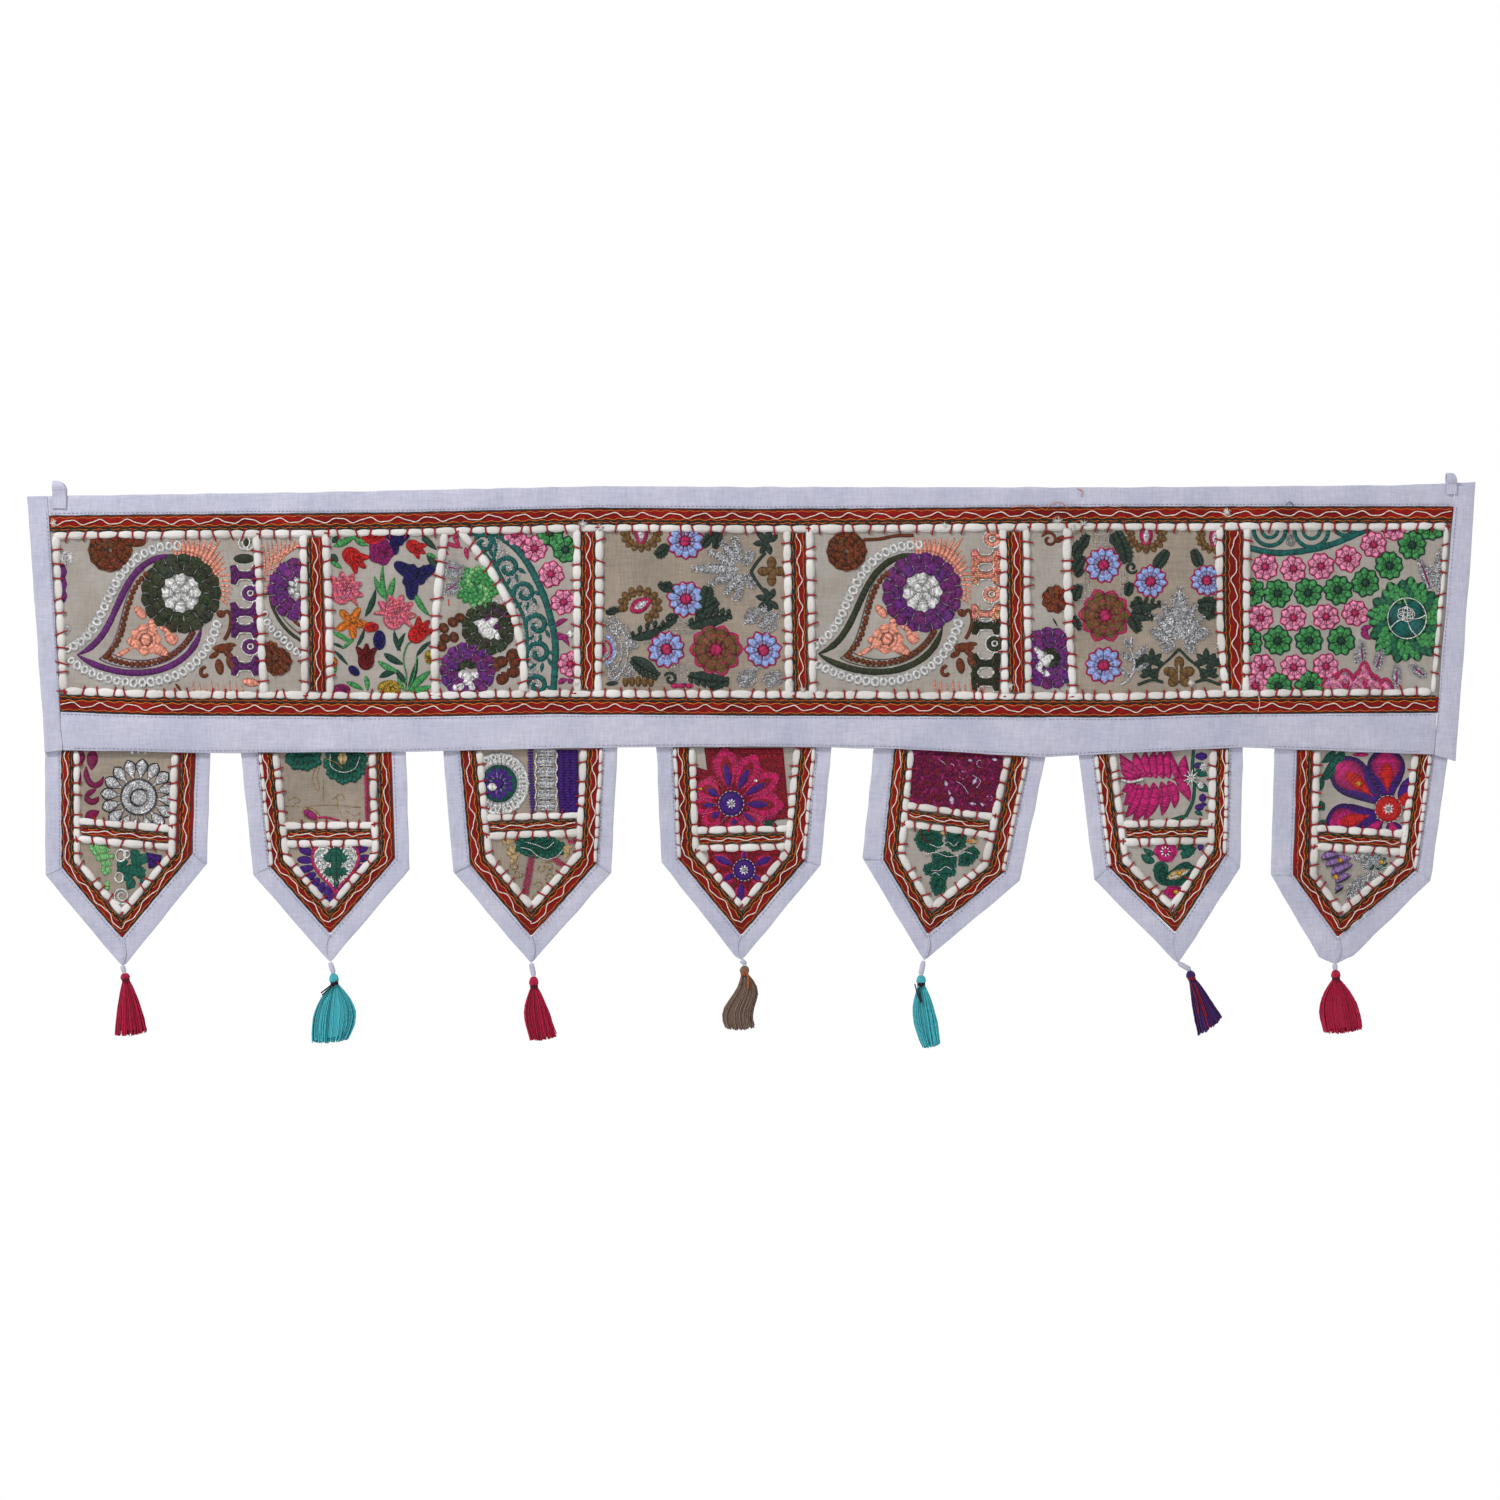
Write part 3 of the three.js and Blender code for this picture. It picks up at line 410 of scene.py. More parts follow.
def floss(name, rough=0.5, pitch=0.9, metal=0.0, sheen=0.04, contrast=0.36, depth=0.22, painted_glint=0.0,
          mottle=0.32):
    """Embroidery thread: colour from the mesh, and strands that lie side by side across its u."""
    s = Shader(name)
    uv = s.add("UVMap", {"uv_map": "stitch"})
    split = s.add("SeparateXYZ", _0=uv.outputs[0])
    drift = s.noise(2.6, 2)
    u = s.sum("MULTIPLY_ADD", drift, 0.9, s.sum("MULTIPLY", split.outputs["X"], 1 / pitch))
    strand = s.sum("FLOOR", u)
    lie = s.sum("FRACT", u)
    crown = s.sum("SINE", s.sum("MULTIPLY", lie, pi))
    luck = s.add("TexWhiteNoise", {"noise_dimensions": "1D"}, W=strand)
    # The mesh's thread colour, which holds the painted shade of each band's edges.
    tint = s.add("VertexColor", {"layer_name": "thread"})
    # Random tone per strand, and painted shade: each strand darkens towards its sides, in the grooves
    # between strands.
    tone = s.sum("MULTIPLY", s.ramp(luck.outputs["Value"], 0, 1, 1 - contrast, 1 + contrast),
                 s.ramp(crown, 0, 0.8, 1 - 2.0 * contrast, 1.08))
    tone = s.sum("MULTIPLY", tone, s.ramp(s.noise(1.5, 2), 0.36, 0.64, 1 - mottle, 1 + mottle))
    # Painted glints: random small cells of the thread are brightened, standing for the sparkle of silver.
    if painted_glint:
        glint_cell = s.add("TexWhiteNoise", {"noise_dimensions": "3D"},
                      Vector=s.add("VectorMath", {"operation": "FLOOR"},
                                   _0=s.add("VectorMath", {"operation": "SCALE"}, _0=s.mm(), Scale=1.6)))
        spark = s.sum("POWER", glint_cell.outputs["Value"], 2.0)
        tone = s.sum("MULTIPLY", tone, s.ramp(spark, 0, 1, 1 - painted_glint, 1 + 1.5 * painted_glint))
    grey = s.add("CombineXYZ", _0=tone, _1=tone, _2=tone)
    s.set(Base_Color=s.mix(1.0, tint.outputs[0], grey, "MULTIPLY"))
    s.surface.inputs["Roughness"].default_value = rough
    s.surface.inputs["Metallic"].default_value = metal
    s.surface.inputs["Sheen Weight"].default_value = sheen
    s.surface.inputs["Specular IOR Level"].default_value = 0.28
    plies = s.noise(0.5, 1)
    s.set(Normal=s.bump(crown, depth, 1.0, s.bump(plies, 0.16, 0.6)))
    return s.material


WHITE_COTTON = cloth("white_cotton", linear(203, 203, 221), 0.5, stain=linear(187, 188, 210), slub=0.05)
CREAM = cloth("cream_cotton", linear(176, 170, 163), 0.55, stain=linear(160, 150, 140), slub=0.06)
TAUPE = cloth("taupe_silk", linear(164, 150, 135), 0.7, rough=0.7, stain=linear(142, 130, 118), slub=0.12,
              sheen=0.3)
BACKING = cloth("plain_backing", linear(200, 198, 202), 0.6)
PIPING = cloth("piping_cotton", linear(238, 235, 232), 0.5, stain=linear(206, 200, 194), weave_depth=0.04,
               crease=0.4)
VELVET = cloth("velvet_ribbon", linear(146, 12, 6), 0.8, rough=0.95, stain=linear(98, 5, 5), slub=0.3,
               sheen=0.2)
FLOSS = floss("floss")
COARSE_FLOSS = floss("couched_thread", rough=0.55, pitch=0.7, contrast=0.16, mottle=0.15)
SILVER = floss("silver_thread", rough=0.4, pitch=0.8, metal=0.2, sheen=0.0, contrast=0.24, depth=0.3,
               painted_glint=0.55)
YARN = floss("tassel_thread", rough=0.5, pitch=0.5, contrast=0.1, mottle=0.06)

DARK_RED = linear(158, 8, 20)
ORANGE = linear(226, 126, 34)
BOTTLE = linear(20, 34, 26)
WHITE_THREAD = linear(240, 226, 216)
STITCH_GREY = linear(146, 148, 176)


# Paths of the structure.

def edge(rows, x):
    xs, zs = zip(*rows)
    return np.interp(x, xs, zs)


def level(rows, shift, low, high):
    x = np.arange(low, high, 1.5)
    return np.stack([x, edge(rows, x) + shift], axis=1)


def upright(number, clear=0.0):
    top, bottom, bow = UPRIGHTS[number]
    share = np.linspace(0, 1, 75)
    x = top + (bottom - top) * share + bow * 4 * share * (1 - share)
    high = edge(PANEL_TOP, x) - TOP_PIPING_DROP - clear
    low = edge(PANEL_BOTTOM, x) + BOTTOM_PIPING_RISE + clear
    return np.stack([x, high + (low - high) * share], axis=1)


def flap_path(flap, rise, distances):
    """Down a flap's left side, round its point and up its right side, moved inwards."""
    seam_left, shoulder_left, tip, shoulder_right, seam_right = flap[0]
    corners = np.array([
        (seam_left, edge(HEM, seam_left)), shoulder_left, tip, shoulder_right,
        (seam_right, edge(HEM, seam_right)),
    ])
    lines = []
    for i, distance in enumerate(distances):
        way = corners[i + 1] - corners[i]
        way /= np.linalg.norm(way)
        lines.append((corners[i] + distance * np.array([-way[1], way[0]]), way))

    def meeting(p, q):
        cross = p[1][0] * q[1][1] - p[1][1] * q[1][0]
        gap = q[0] - p[0]
        return p[0] + p[1] * (gap[0] * q[1][1] - gap[1] * q[1][0]) / cross

    def at_hem(line):
        x = line[0][0]
        for _ in range(4):
            z = edge(HEM, x) + rise
            x = line[0][0] + line[1][0] * (z - line[0][1]) / line[1][1]
        return np.array([x, z])

    inner = [meeting(lines[i], lines[i + 1]) for i in range(3)]
    return np.array([at_hem(lines[0]), *inner, at_hem(lines[3])])


def binding_path(flap, share=0.0, extra=0.0, rise=HEM_LAP):
    """At a share of the binding's width from its outer edge, or an extra distance inside it."""
    left, lower, right = flap[1]
    return flap_path(flap, rise, [share * w + extra for w in (left, lower, lower, right)])


def ribbon_path(flap, distance):
    """A distance inside the line where the ribbon gives way to the piping."""
    left, lower, right = flap[1]
    ribbon_left, ribbon_right = flap[2]
    ribbon_lower = min(ribbon_left, ribbon_right) + 0.8
    return flap_path(flap, HEM_LAP, [left + ribbon_left + distance, lower + ribbon_lower + distance,
                                     lower + ribbon_lower + distance, right + ribbon_right + distance])


def cross_path(flap, rise, distance):
    """The line that crosses a flap, between two points of a path inside the ribbon."""
    path = ribbon_path(flap, distance)
    left_z, right_z = flap[3][0] + rise, flap[3][1] + rise

    def side(high, low, tip, z):
        a, b = (high, low) if z >= low[1] else (low, tip)
        return a[0] + (b[0] - a[0]) * (a[1] - z) / (a[1] - b[1])

    return np.array([(side(path[0], path[1], path[2], left_z), left_z),
                     (side(path[4], path[3], path[2], right_z), right_z)])


# Cotton: the solids' own shapes, with rounded folds and soft creases.

def dressed(node, material, name, levels, crease, fold=0.55, cut=None):
    """A finer copy of a solid that is a strip of cloth, which then stands for it."""
    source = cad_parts[node]
    piece = bpy.data.objects.new(name, source.data.copy())
    bpy.context.scene.collection.objects.link(piece)
    weld = piece.modifiers.new("weld", "WELD")
    weld.merge_threshold = 1e-5
    bevel = piece.modifiers.new("bevel", "BEVEL")
    bevel.width = fold / 1000
    bevel.segments = 2
    bevel.angle_limit = radians(50)
    finer = piece.modifiers.new("finer", "SUBSURF")
    finer.subdivision_type = "SIMPLE"
    finer.levels = levels
    finer.render_levels = levels
    bpy.context.view_layer.update()
    shape = bpy.data.meshes.new_from_object(piece.evaluated_get(bpy.context.evaluated_depsgraph_get()))
    piece.modifiers.clear()
    piece.data = shape
    co = np.zeros(len(shape.vertices) * 3)
    shape.vertices.foreach_get("co", co)
    co = co.reshape(-1, 3) * 1000
    if cut:
        co[:, 0] = cut(co[:, 0], co[:, 2])
    seed = sum(ord(letter) for letter in node)
    fine = ripples(co[:, 0], co[:, 2], 17, seed) * 0.55 + ripples(co[:, 0], co[:, 2], 46, seed + 1)
    co[:, 1] += crease * fine
    co[:, 0] += 0.22 * ripples(co[:, 0], co[:, 2], 31, seed + 2)
    co[:, 2] += 0.22 * ripples(co[:, 0], co[:, 2], 31, seed + 3)
    shape.vertices.foreach_set("co", (co / 1000).ravel())
    shape.polygons.foreach_set("use_smooth", np.ones(len(shape.polygons), bool))
    shape.materials.clear()
    shape.materials.append(material)
    shape.update()
    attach(piece, "root")
    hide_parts(node)
    return piece


def dashes(threads, path, base, seed, dash=1.7, gap=1.1, radius=0.17):
    """A line of running stitches."""
    luck = np.random.default_rng(seed)
    path = along(path, 0.5)
    run = run_of(path)
    at = 0.4
    while at + dash < run[-1]:
        reach = dash * luck.uniform(0.8, 1.15)
        stops = at + reach * np.array([0.0, 0.5, 1.0])
        line = np.stack([np.interp(stops, run, path[:, 0]), np.interp(stops, run, path[:, 1])], axis=1)
        threads.thread(line, radius, base + np.array([-0.1, 0.12, -0.1]), STITCH_GREY, sides=3)
        at += reach + gap * luck.uniform(0.7, 1.4)


BAND_FLAT = 0.985  # flat length of the band's cloths, in metres
BORDER_FLATS = {
    "top": (BAND_FLAT, 0.016),
    "bottom": (BAND_FLAT, 0.025),
    "left": (0.0145, 0.18),
    "right": (0.0145, 0.18),
}

for place, flat in BORDER_FLATS.items():
    dressed(f"border_{place}", WHITE_COTTON, f"cotton_border_{place}", 2, 0.24)
for number, flap in enumerate(FLAPS, 1):
    outline = flap_path(flap, 12, [0, 0, 0, 0])
    length = np.linalg.norm(np.diff(outline, axis=0), axis=1).sum() / 1000
    dressed(f"flap_binding_{number}", WHITE_COTTON, f"cotton_binding_{number}", 2, 0.26)


# The patchwork's ground.

GROUND_PUCKER = 0.22

def sheet_between(name, face, left, right, across, materials, choose, node):
    """A closed sheet between two paths with as many points each."""
    t = np.linspace(0, 1, across)
    xz = left[:, None] + (right - left)[:, None] * t[None, :, None]
    x, z = xz[..., 0], xz[..., 1]
    lift = GROUND_PUCKER * (ripples(x, z, 13, 3) * 0.5 + ripples(x, z, 29, 4)) * 0.6
    sewing = Sewing(face)
    sewing.grid(x, z, lift, (1, 1, 1))
    sewing.grid(x[:, ::-1], z[:, ::-1], np.full_like(x, -PANEL_THICKNESS + 0.3), (1, 1, 1))
    rows, cols = x.shape
    count = rows * cols
    front = np.arange(count).reshape(rows, cols)
    back = count + np.arange(count).reshape(rows, cols)[:, ::-1]
    rim = []
    for a, b in (
        (front[0], back[0]), (front[-1][::-1], back[-1][::-1]), (front[:, 0][::-1], back[:, 0][::-1]),
        (front[:, -1], back[:, -1]),
    ):
        rim.append(np.stack([a[:-1], a[1:], b[1:], b[:-1]], axis=-1))
    sewing.quads.append(np.concatenate(rim))
    piece = sewing.made(name, materials, "patchwork")
    middle = np.zeros(len(piece.data.polygons) * 3)
    piece.data.polygons.foreach_get("center", middle)
    middle = middle.reshape(-1, 3) * 1000
    slots = choose(middle[:, 0], middle[:, 2])
    faces = (rows - 1) * (cols - 1)
    slots[faces:] = len(materials) - 1
    piece.data.polygons.foreach_set("material_index", slots)
    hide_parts(node)
    return piece


def band_ground():
    x_top = np.linspace(-494.3, 493.8, 240)
    x_bottom = np.linspace(-487.3, 482.3, 240)
    top = np.stack([x_top, edge(PANEL_TOP, x_top) + 0.4], axis=1)
    bottom = np.stack([x_bottom, edge(PANEL_BOTTOM, x_bottom) - 0.4], axis=1)

    def choose(x, z):
        cream = (x < -122) | ((x > 40) & (x < 222)) | (x > 347)
        return np.where(cream, 0, 1).astype(np.int32)

    sheet_between("band_ground", BAND, bottom, top, 32, [CREAM, TAUPE, BACKING], choose, "band_panel")


band_ground()

FLAP_GROUNDS = [TAUPE, TAUPE, TAUPE, CREAM, CREAM, CREAM, CREAM]
for number, flap in enumerate(FLAPS, 1):
    inner = binding_path(flap, 1.0, -0.35, rise=11)
    side = along(inner[0:2], 4)
    lower = along(np.array([inner[1], inner[2] + (-0.7, 1.4)]), 4)[1:]
    left = np.concatenate([side, lower])
    right = np.concatenate([
        np.linspace(inner[4], inner[3], len(side)),
        np.linspace(inner[3], inner[2] + (0.7, 1.4), len(lower) + 1)[1:],
    ])
    sheet_between(f"flap_ground_{number}", FLAP_FACES[number - 1], left, right, 18,
                  [FLAP_GROUNDS[number - 1], BACKING], lambda x, z: np.zeros(len(x), np.int32),
                  f"flap_panel_{number}")


# Piping: puffs of white cotton between dark red stitches.

def piping(sewing, stitches, path, half_width, seed, pitch=11.2, height=2.4, thread=0.7, base=0.1):
    luck = np.random.default_rng(seed)
    path = along(path, 1.6)
    run = run_of(path)
    count = max(1, int(round(run[-1] / pitch)))
    ties = np.linspace(0, run[-1], count + 1)
    ties[1:-1] += luck.uniform(-0.27, 0.27, count - 1) * pitch if count > 1 else 0
    phase = np.interp(run, ties, np.arange(count + 1))
    puff = np.abs(np.sin(np.pi * phase)) ** 0.45
    plump = np.interp(run, ties, luck.uniform(0.82, 1.1, count + 1))
    wander = np.interp(run, ties, luck.uniform(-0.35, 0.35, count + 1))
    side = aside(path)
    centre = path + side * wander[:, None]
    cols = 7
    widths = half_width * (0.48 + 0.56 * puff) * plump
    sewing.strip(centre, widths, height, (1, 1, 1), cols=cols, flat=0.35, shade=0.0)
    lifts = sewing.points[-1]
    dent = 0.12 + 0.88 * puff * plump
    t = np.linspace(-1, 1, cols)
    dome = np.clip(1 - np.abs(t) ** 3.4, 0, 1) ** 0.5
    x, z = lifts[:, 0].reshape(-1, cols), lifts[:, 2].reshape(-1, cols)
    lump = 1 + 0.12 * ripples(x, z, 3.1, seed)
    y = sewing.face(x, z) - (base + height * dome[None] * dent[:, None] * lump)
    lifts[:, 1] = y.ravel()
    for at in ties[:-1] if seed % 2 else ties[1:]:
        here = np.array([np.interp(at, run, path[:, 0]), np.interp(at, run, path[:, 1])])
        way = np.array([np.interp(at, run, side[:, 0]), np.interp(at, run, side[:, 1])])
        forward = np.array([way[1], -way[0]])
        slant = luck.uniform(-0.36, 0.36)
        reach = half_width * luck.uniform(1.3, 1.7)
        s = np.linspace(-1, 1, 7)
        line = here + (way[None] * s[:, None] + forward[None] * slant * s[:, None]) * reach
        rise = base + 0.35 + height * 0.5 * np.clip(1 - np.abs(s) ** 3, 0, 1)
        stitches.thread(line, thread, rise, DARK_RED)


# Tufts of filling that show at crossings of the piping: photograph x and y in pixels, reach in mm.
TUFTS = [(583, 524, 4.5), (601, 528, 4.0), (526, 690, 3.0), (577, 684, 3.0), (1058, 521, 5.0),
         (1072, 528, 4.5),
         (1083, 524, 4.0), (790, 684, 4.0), (802, 690, 3.5), (1010, 686, 3.5), (945, 525, 3.0),
         (1227, 512, 4.0),
         (1190, 683, 3.0), (54, 523, 3.5)]

# The sides of each flap where piping shows between the ribbon and the binding as well.
SLIVERS = [(), ("left",), ("right",), ("left", "right"), ("right",), ("left", "right"), ("right",)]


def piping_all():
    puffs, stitches = Sewing(BAND), Sewing(BAND)
    lines = [
        level(PANEL_TOP, -TOP_PIPING_DROP, -490, 489), level(PANEL_BOTTOM, BOTTOM_PIPING_RISE, -482, 478),
    ] + [upright(i) for i in range(len(UPRIGHTS))]
    for i, line in enumerate(lines):
        narrow = 0.62 if i == len(lines) - 1 else 1.0
        piping(puffs, stitches, line, PIPING_HALF_WIDTH * narrow, 20 + i)
    for x, y, size in TUFTS:
        luck = np.random.default_rng(int(x))
        x, z = spot(x, y)
        for _ in range(34):
            turn, reach = luck.uniform(0, 6.3), size * luck.uniform(0.5, 1.0)
            s = np.linspace(0, 1, 6)
            bow = luck.uniform(-0.5, 0.5) * reach * s * (1 - s) * 2
            line = np.stack([x + reach * s * cos(turn) - bow * sin(turn),
                             z + reach * s * sin(turn) + bow * cos(turn)], axis=1)
            rise = 1.4 + luck.uniform(0, 1.8) * np.sin(np.pi * (0.25 + 0.6 * s))
            puffs.thread(line, 0.3 * (1.1 - s), rise, (1, 1, 1))
    puffs.made("band_piping", PIPING, "patchwork")
    stitches.made("band_piping_stitches", COARSE_FLOSS, "patchwork")
    for number, flap in enumerate(FLAPS, 1):
        puffs, stitches = Sewing(FLAP_FACES[number - 1]), Sewing(FLAP_FACES[number - 1])
        frame_line = ribbon_path(flap, FLAP_PIPING_HALF_WIDTH)
        lines = [frame_line[0:3], frame_line[4:1:-1]]
        for rise in (CROSS_PIPING_RISE, -CROSS_PIPING_RISE):
            lines.append(cross_path(flap, rise, FLAP_PIPING_HALF_WIDTH))
        for i, line in enumerate(lines):
            piping(puffs, stitches, line, FLAP_PIPING_HALF_WIDTH, 60 + 10 * number + i, pitch=10.4)
        outer = binding_path(flap, 1.0, 0.9)
        for side, line in (("left", outer[0:2]), ("right", outer[3:5])):
            if side in SLIVERS[number - 1]:
                piping(puffs, stitches, line, 1.35, 140 + 10 * number + len(side), pitch=8.5, height=1.3,
                       thread=0.45, base=1.3)
        puffs.made(f"flap_piping_{number}", PIPING, "patchwork")
        stitches.made(f"flap_piping_stitches_{number}", COARSE_FLOSS, "patchwork")


piping_all()


# Sewing on the cotton: running stitches, and the laps of the folded strips.

def cotton_sewing():
    threads = Sewing(BAND)
    lines = [level(HEM, 1.6, -476, 470), level(PANEL_TOP, 1.7, -492, 490),
             level(PANEL_BOTTOM, -1.5, -484, 478)]
    for k, line in enumerate(lines):
        dashes(threads, line, BORDER_FRONT + 0.35, seed=31 + k)
    for x_top, x_low, high, low in ((-494.5, -484.5, -18, -174), (494.0, 480.5, -14, -174)):
        dashes(threads, np.array([(x_top, high), (x_low, low)]), BORDER_FRONT + 0.4, seed=int(high) + 60)
    threads.made("band_running_stitches", COARSE_FLOSS, "cotton")
    for number, flap in enumerate(FLAPS, 1):
        threads, laps = Sewing(FLAP_FACES[number - 1]), Sewing(FLAP_FACES[number - 1])
        outer, inner = binding_path(flap, 0.0), binding_path(flap, 1.0)
        line = binding_path(flap, 1.0, -1.7)
        dashes(threads, line[0:3], BINDING_FRONT + 0.35, seed=50 + number)
        dashes(threads, line[4:1:-1], BINDING_FRONT + 0.35, seed=60 + number)
        threads.made(f"flap_running_stitches_{number}", COARSE_FLOSS, "cotton")
        for a, b in ((inner[1], outer[1]), (inner[3], outer[3])):
            s = np.linspace(0.02, 0.97, 12)[:, None]
            laps.thread(a + (b - a) * s, 0.42, BINDING_FRONT + 0.12, (1, 1, 1))
        a, b = inner[2], outer[2]
        s = np.linspace(0, 0.94, 14)
        bow = 2.6 * np.sin(np.pi * s) * (1 if number % 2 else -1)
        lap = a + (b - a) * s[:, None] + np.stack([bow, 0 * bow], axis=1)
        laps.thread(lap, 0.5, BINDING_FRONT + 0.15, (1, 1, 1))
        laps.made(f"flap_laps_{number}", WHITE_COTTON, "cotton")


cotton_sewing()


# Ribbons: dark red velvet with wavy couched threads.

def wavy(path, shift, height, length, seed):
    """A path moved aside by a distance, with uneven waves."""
    luck = np.random.default_rng(seed)
    path = along(path, 1.7)
    run = run_of(path)
    drift = np.interp(run, np.linspace(0, run[-1], 12), luck.uniform(-0.6, 0.6, 12))
    wave = height * np.sin(2 * np.pi * run / length + luck.uniform(0, 6) + drift * 2)
    wave += 0.25 * height * np.sin(2 * np.pi * run / (0.43 * length) + luck.uniform(0, 6))
    return path + aside(path) * (shift + wave)[:, None]


# Share of the half width towards the piping, wave height, wave length, radius, lift, colour.
RIBBON_THREADS = [
    (-0.99, 0.25, 11, 0.55, -0.25, BOTTLE),
    (-0.76, 0.40, 8, 0.26, 0.02, ORANGE),
    (0.44, 0.55, 9, 0.36, 0.12, ORANGE),
    (0.70, 0.35, 12, 0.66, 0.10, BOTTLE),
    (0.90, 0.40, 7, 0.28, 0.10, ORANGE),
    (1.05, 0.30, 14, 0.72, -0.25, BOTTLE),
]


def ribbon(threads, path, half_width, seed, inner=1):
    """inner is the side of the path, 1 for left and -1 for right, where the piping lies."""
    for k, (share, height, length, radius, lift, colour) in enumerate(RIBBON_THREADS):
        line = wavy(path, inner * share * half_width, height, length, seed + k)
        threads.thread(line, radius, RIBBON_FRONT + lift, colour, sides=3)
    line = wavy(path, -0.12 * inner * half_width, 0.34 * half_width, 21, seed + 9)
    threads.thread(line, 0.48, RIBBON_FRONT + 0.4, WHITE_THREAD)


# Loose ends on the band: radius and lift in mm, colour, then points in the photograph's pixels.
LOOSE_ENDS = [
    (0.3, 2.0, ORANGE, (1077, 489), (1082, 491), (1081, 497)),
    (0.25, 2.2, ORANGE, (1046, 510), (1054, 503), (1062, 503), (1068, 510)),
    (0.25, 2.2, BOTTLE, (1286, 505), (1290, 502), (1294, 508)),
    (0.28, 2.2, WHITE_THREAD, (1258, 696), (1259, 704), (1257, 712)),
    (0.28, 2.2, ORANGE, (1010, 508), (1030, 506), (1046, 510)),
]


def ribbons_all():
    threads = Sewing(BAND)
    ribbon(threads, level(PANEL_TOP, -5.4, -492, 492), 4.9, 301, inner=-1)
    ribbon(threads, level(PANEL_BOTTOM, 5.7, -485, 480), 5.3, 311, inner=1)
    for i, (a, b) in enumerate(RIBBON_PAIRS):
        middle = (upright(a, clear=3.4) + upright(b, clear=3.4)) / 2
        half = (UPRIGHTS[b][0] - UPRIGHTS[a][0]) / 2 - 3.3
        ribbon(threads, middle, half, 320 + 10 * i, inner=-1)
    for radius, lift, colour, *stops in LOOSE_ENDS:
        line = smooth(np.stack(spot(*np.array(stops, float).T), axis=1), 1.0)
        threads.thread(line, radius, lift, colour, sides=3)
    threads.made("band_ribbon_threads", COARSE_FLOSS, "ribbon")
    for node, flat in (("ribbon_top", (BAND_FLAT, 0.01)), ("ribbon_bottom", (0.966, 0.0106))):
        dressed(node, VELVET, f"velvet_{node}", 1, 0.06, fold=0.3)
    for i in range(1, 6):
        dressed(f"ribbon_upright_{i}", VELVET, f"velvet_upright_{i}", 1, 0.06, fold=0.3)
    for number, flap in enumerate(FLAPS, 1):
        threads = Sewing(FLAP_FACES[number - 1])
        outer = binding_path(flap, 1.0, 0.4)
        inner = ribbon_path(flap, -0.3)
        middle = (outer + inner) / 2
        half = min(flap[2]) / 2 - 0.2
        ribbon(threads, middle, half, 400 + 10 * number, inner=1)
        ribbon(threads, cross_path(flap, 0, 2 * FLAP_PIPING_HALF_WIDTH + 0.6), 2.8, 480 + 10 * number)
        threads.made(f"flap_ribbon_threads_{number}", COARSE_FLOSS, "ribbon")
        dressed(f"flap_ribbon_{number}", VELVET, f"velvet_flap_{number}", 1, 0.06, fold=0.3)
        dressed(f"flap_cross_ribbon_{number}", VELVET, f"velvet_cross_{number}", 1, 0.06,
                fold=0.3)


ribbons_all()


# Embroidery. Each patch is laid out on an enlargement of the photograph's frame.

BAND_ROW, BAND_ZOOM = 470, 4.126  # top edge in the photograph's pixels, and enlargement
FLAP_ROW, FLAP_ZOOM = 740, 4.9
FLAP_SEED = 19


def polar(x, y, angle, rx, ry=None):
    """The point at an angle, clockwise from across in radians, on an ellipse round x and y."""
    return x + rx * cos(angle), y + (rx if ry is None else ry) * sin(angle)


def arc(x, y, rx, ry, first=0, last=360, step=30):
    """Points on an ellipse from one angle to before another, in degrees."""
    return [polar(x, y, angle, rx, ry) for angle in np.radians(range(first, last, step))]


def turned(x, y, u, w, angle):
    """Points at u and w from x and y, turned clockwise in radians, as rows."""
    return np.stack([x + u * cos(angle) - w * sin(angle), y + u * sin(angle) + w * cos(angle)],
                    axis=1)


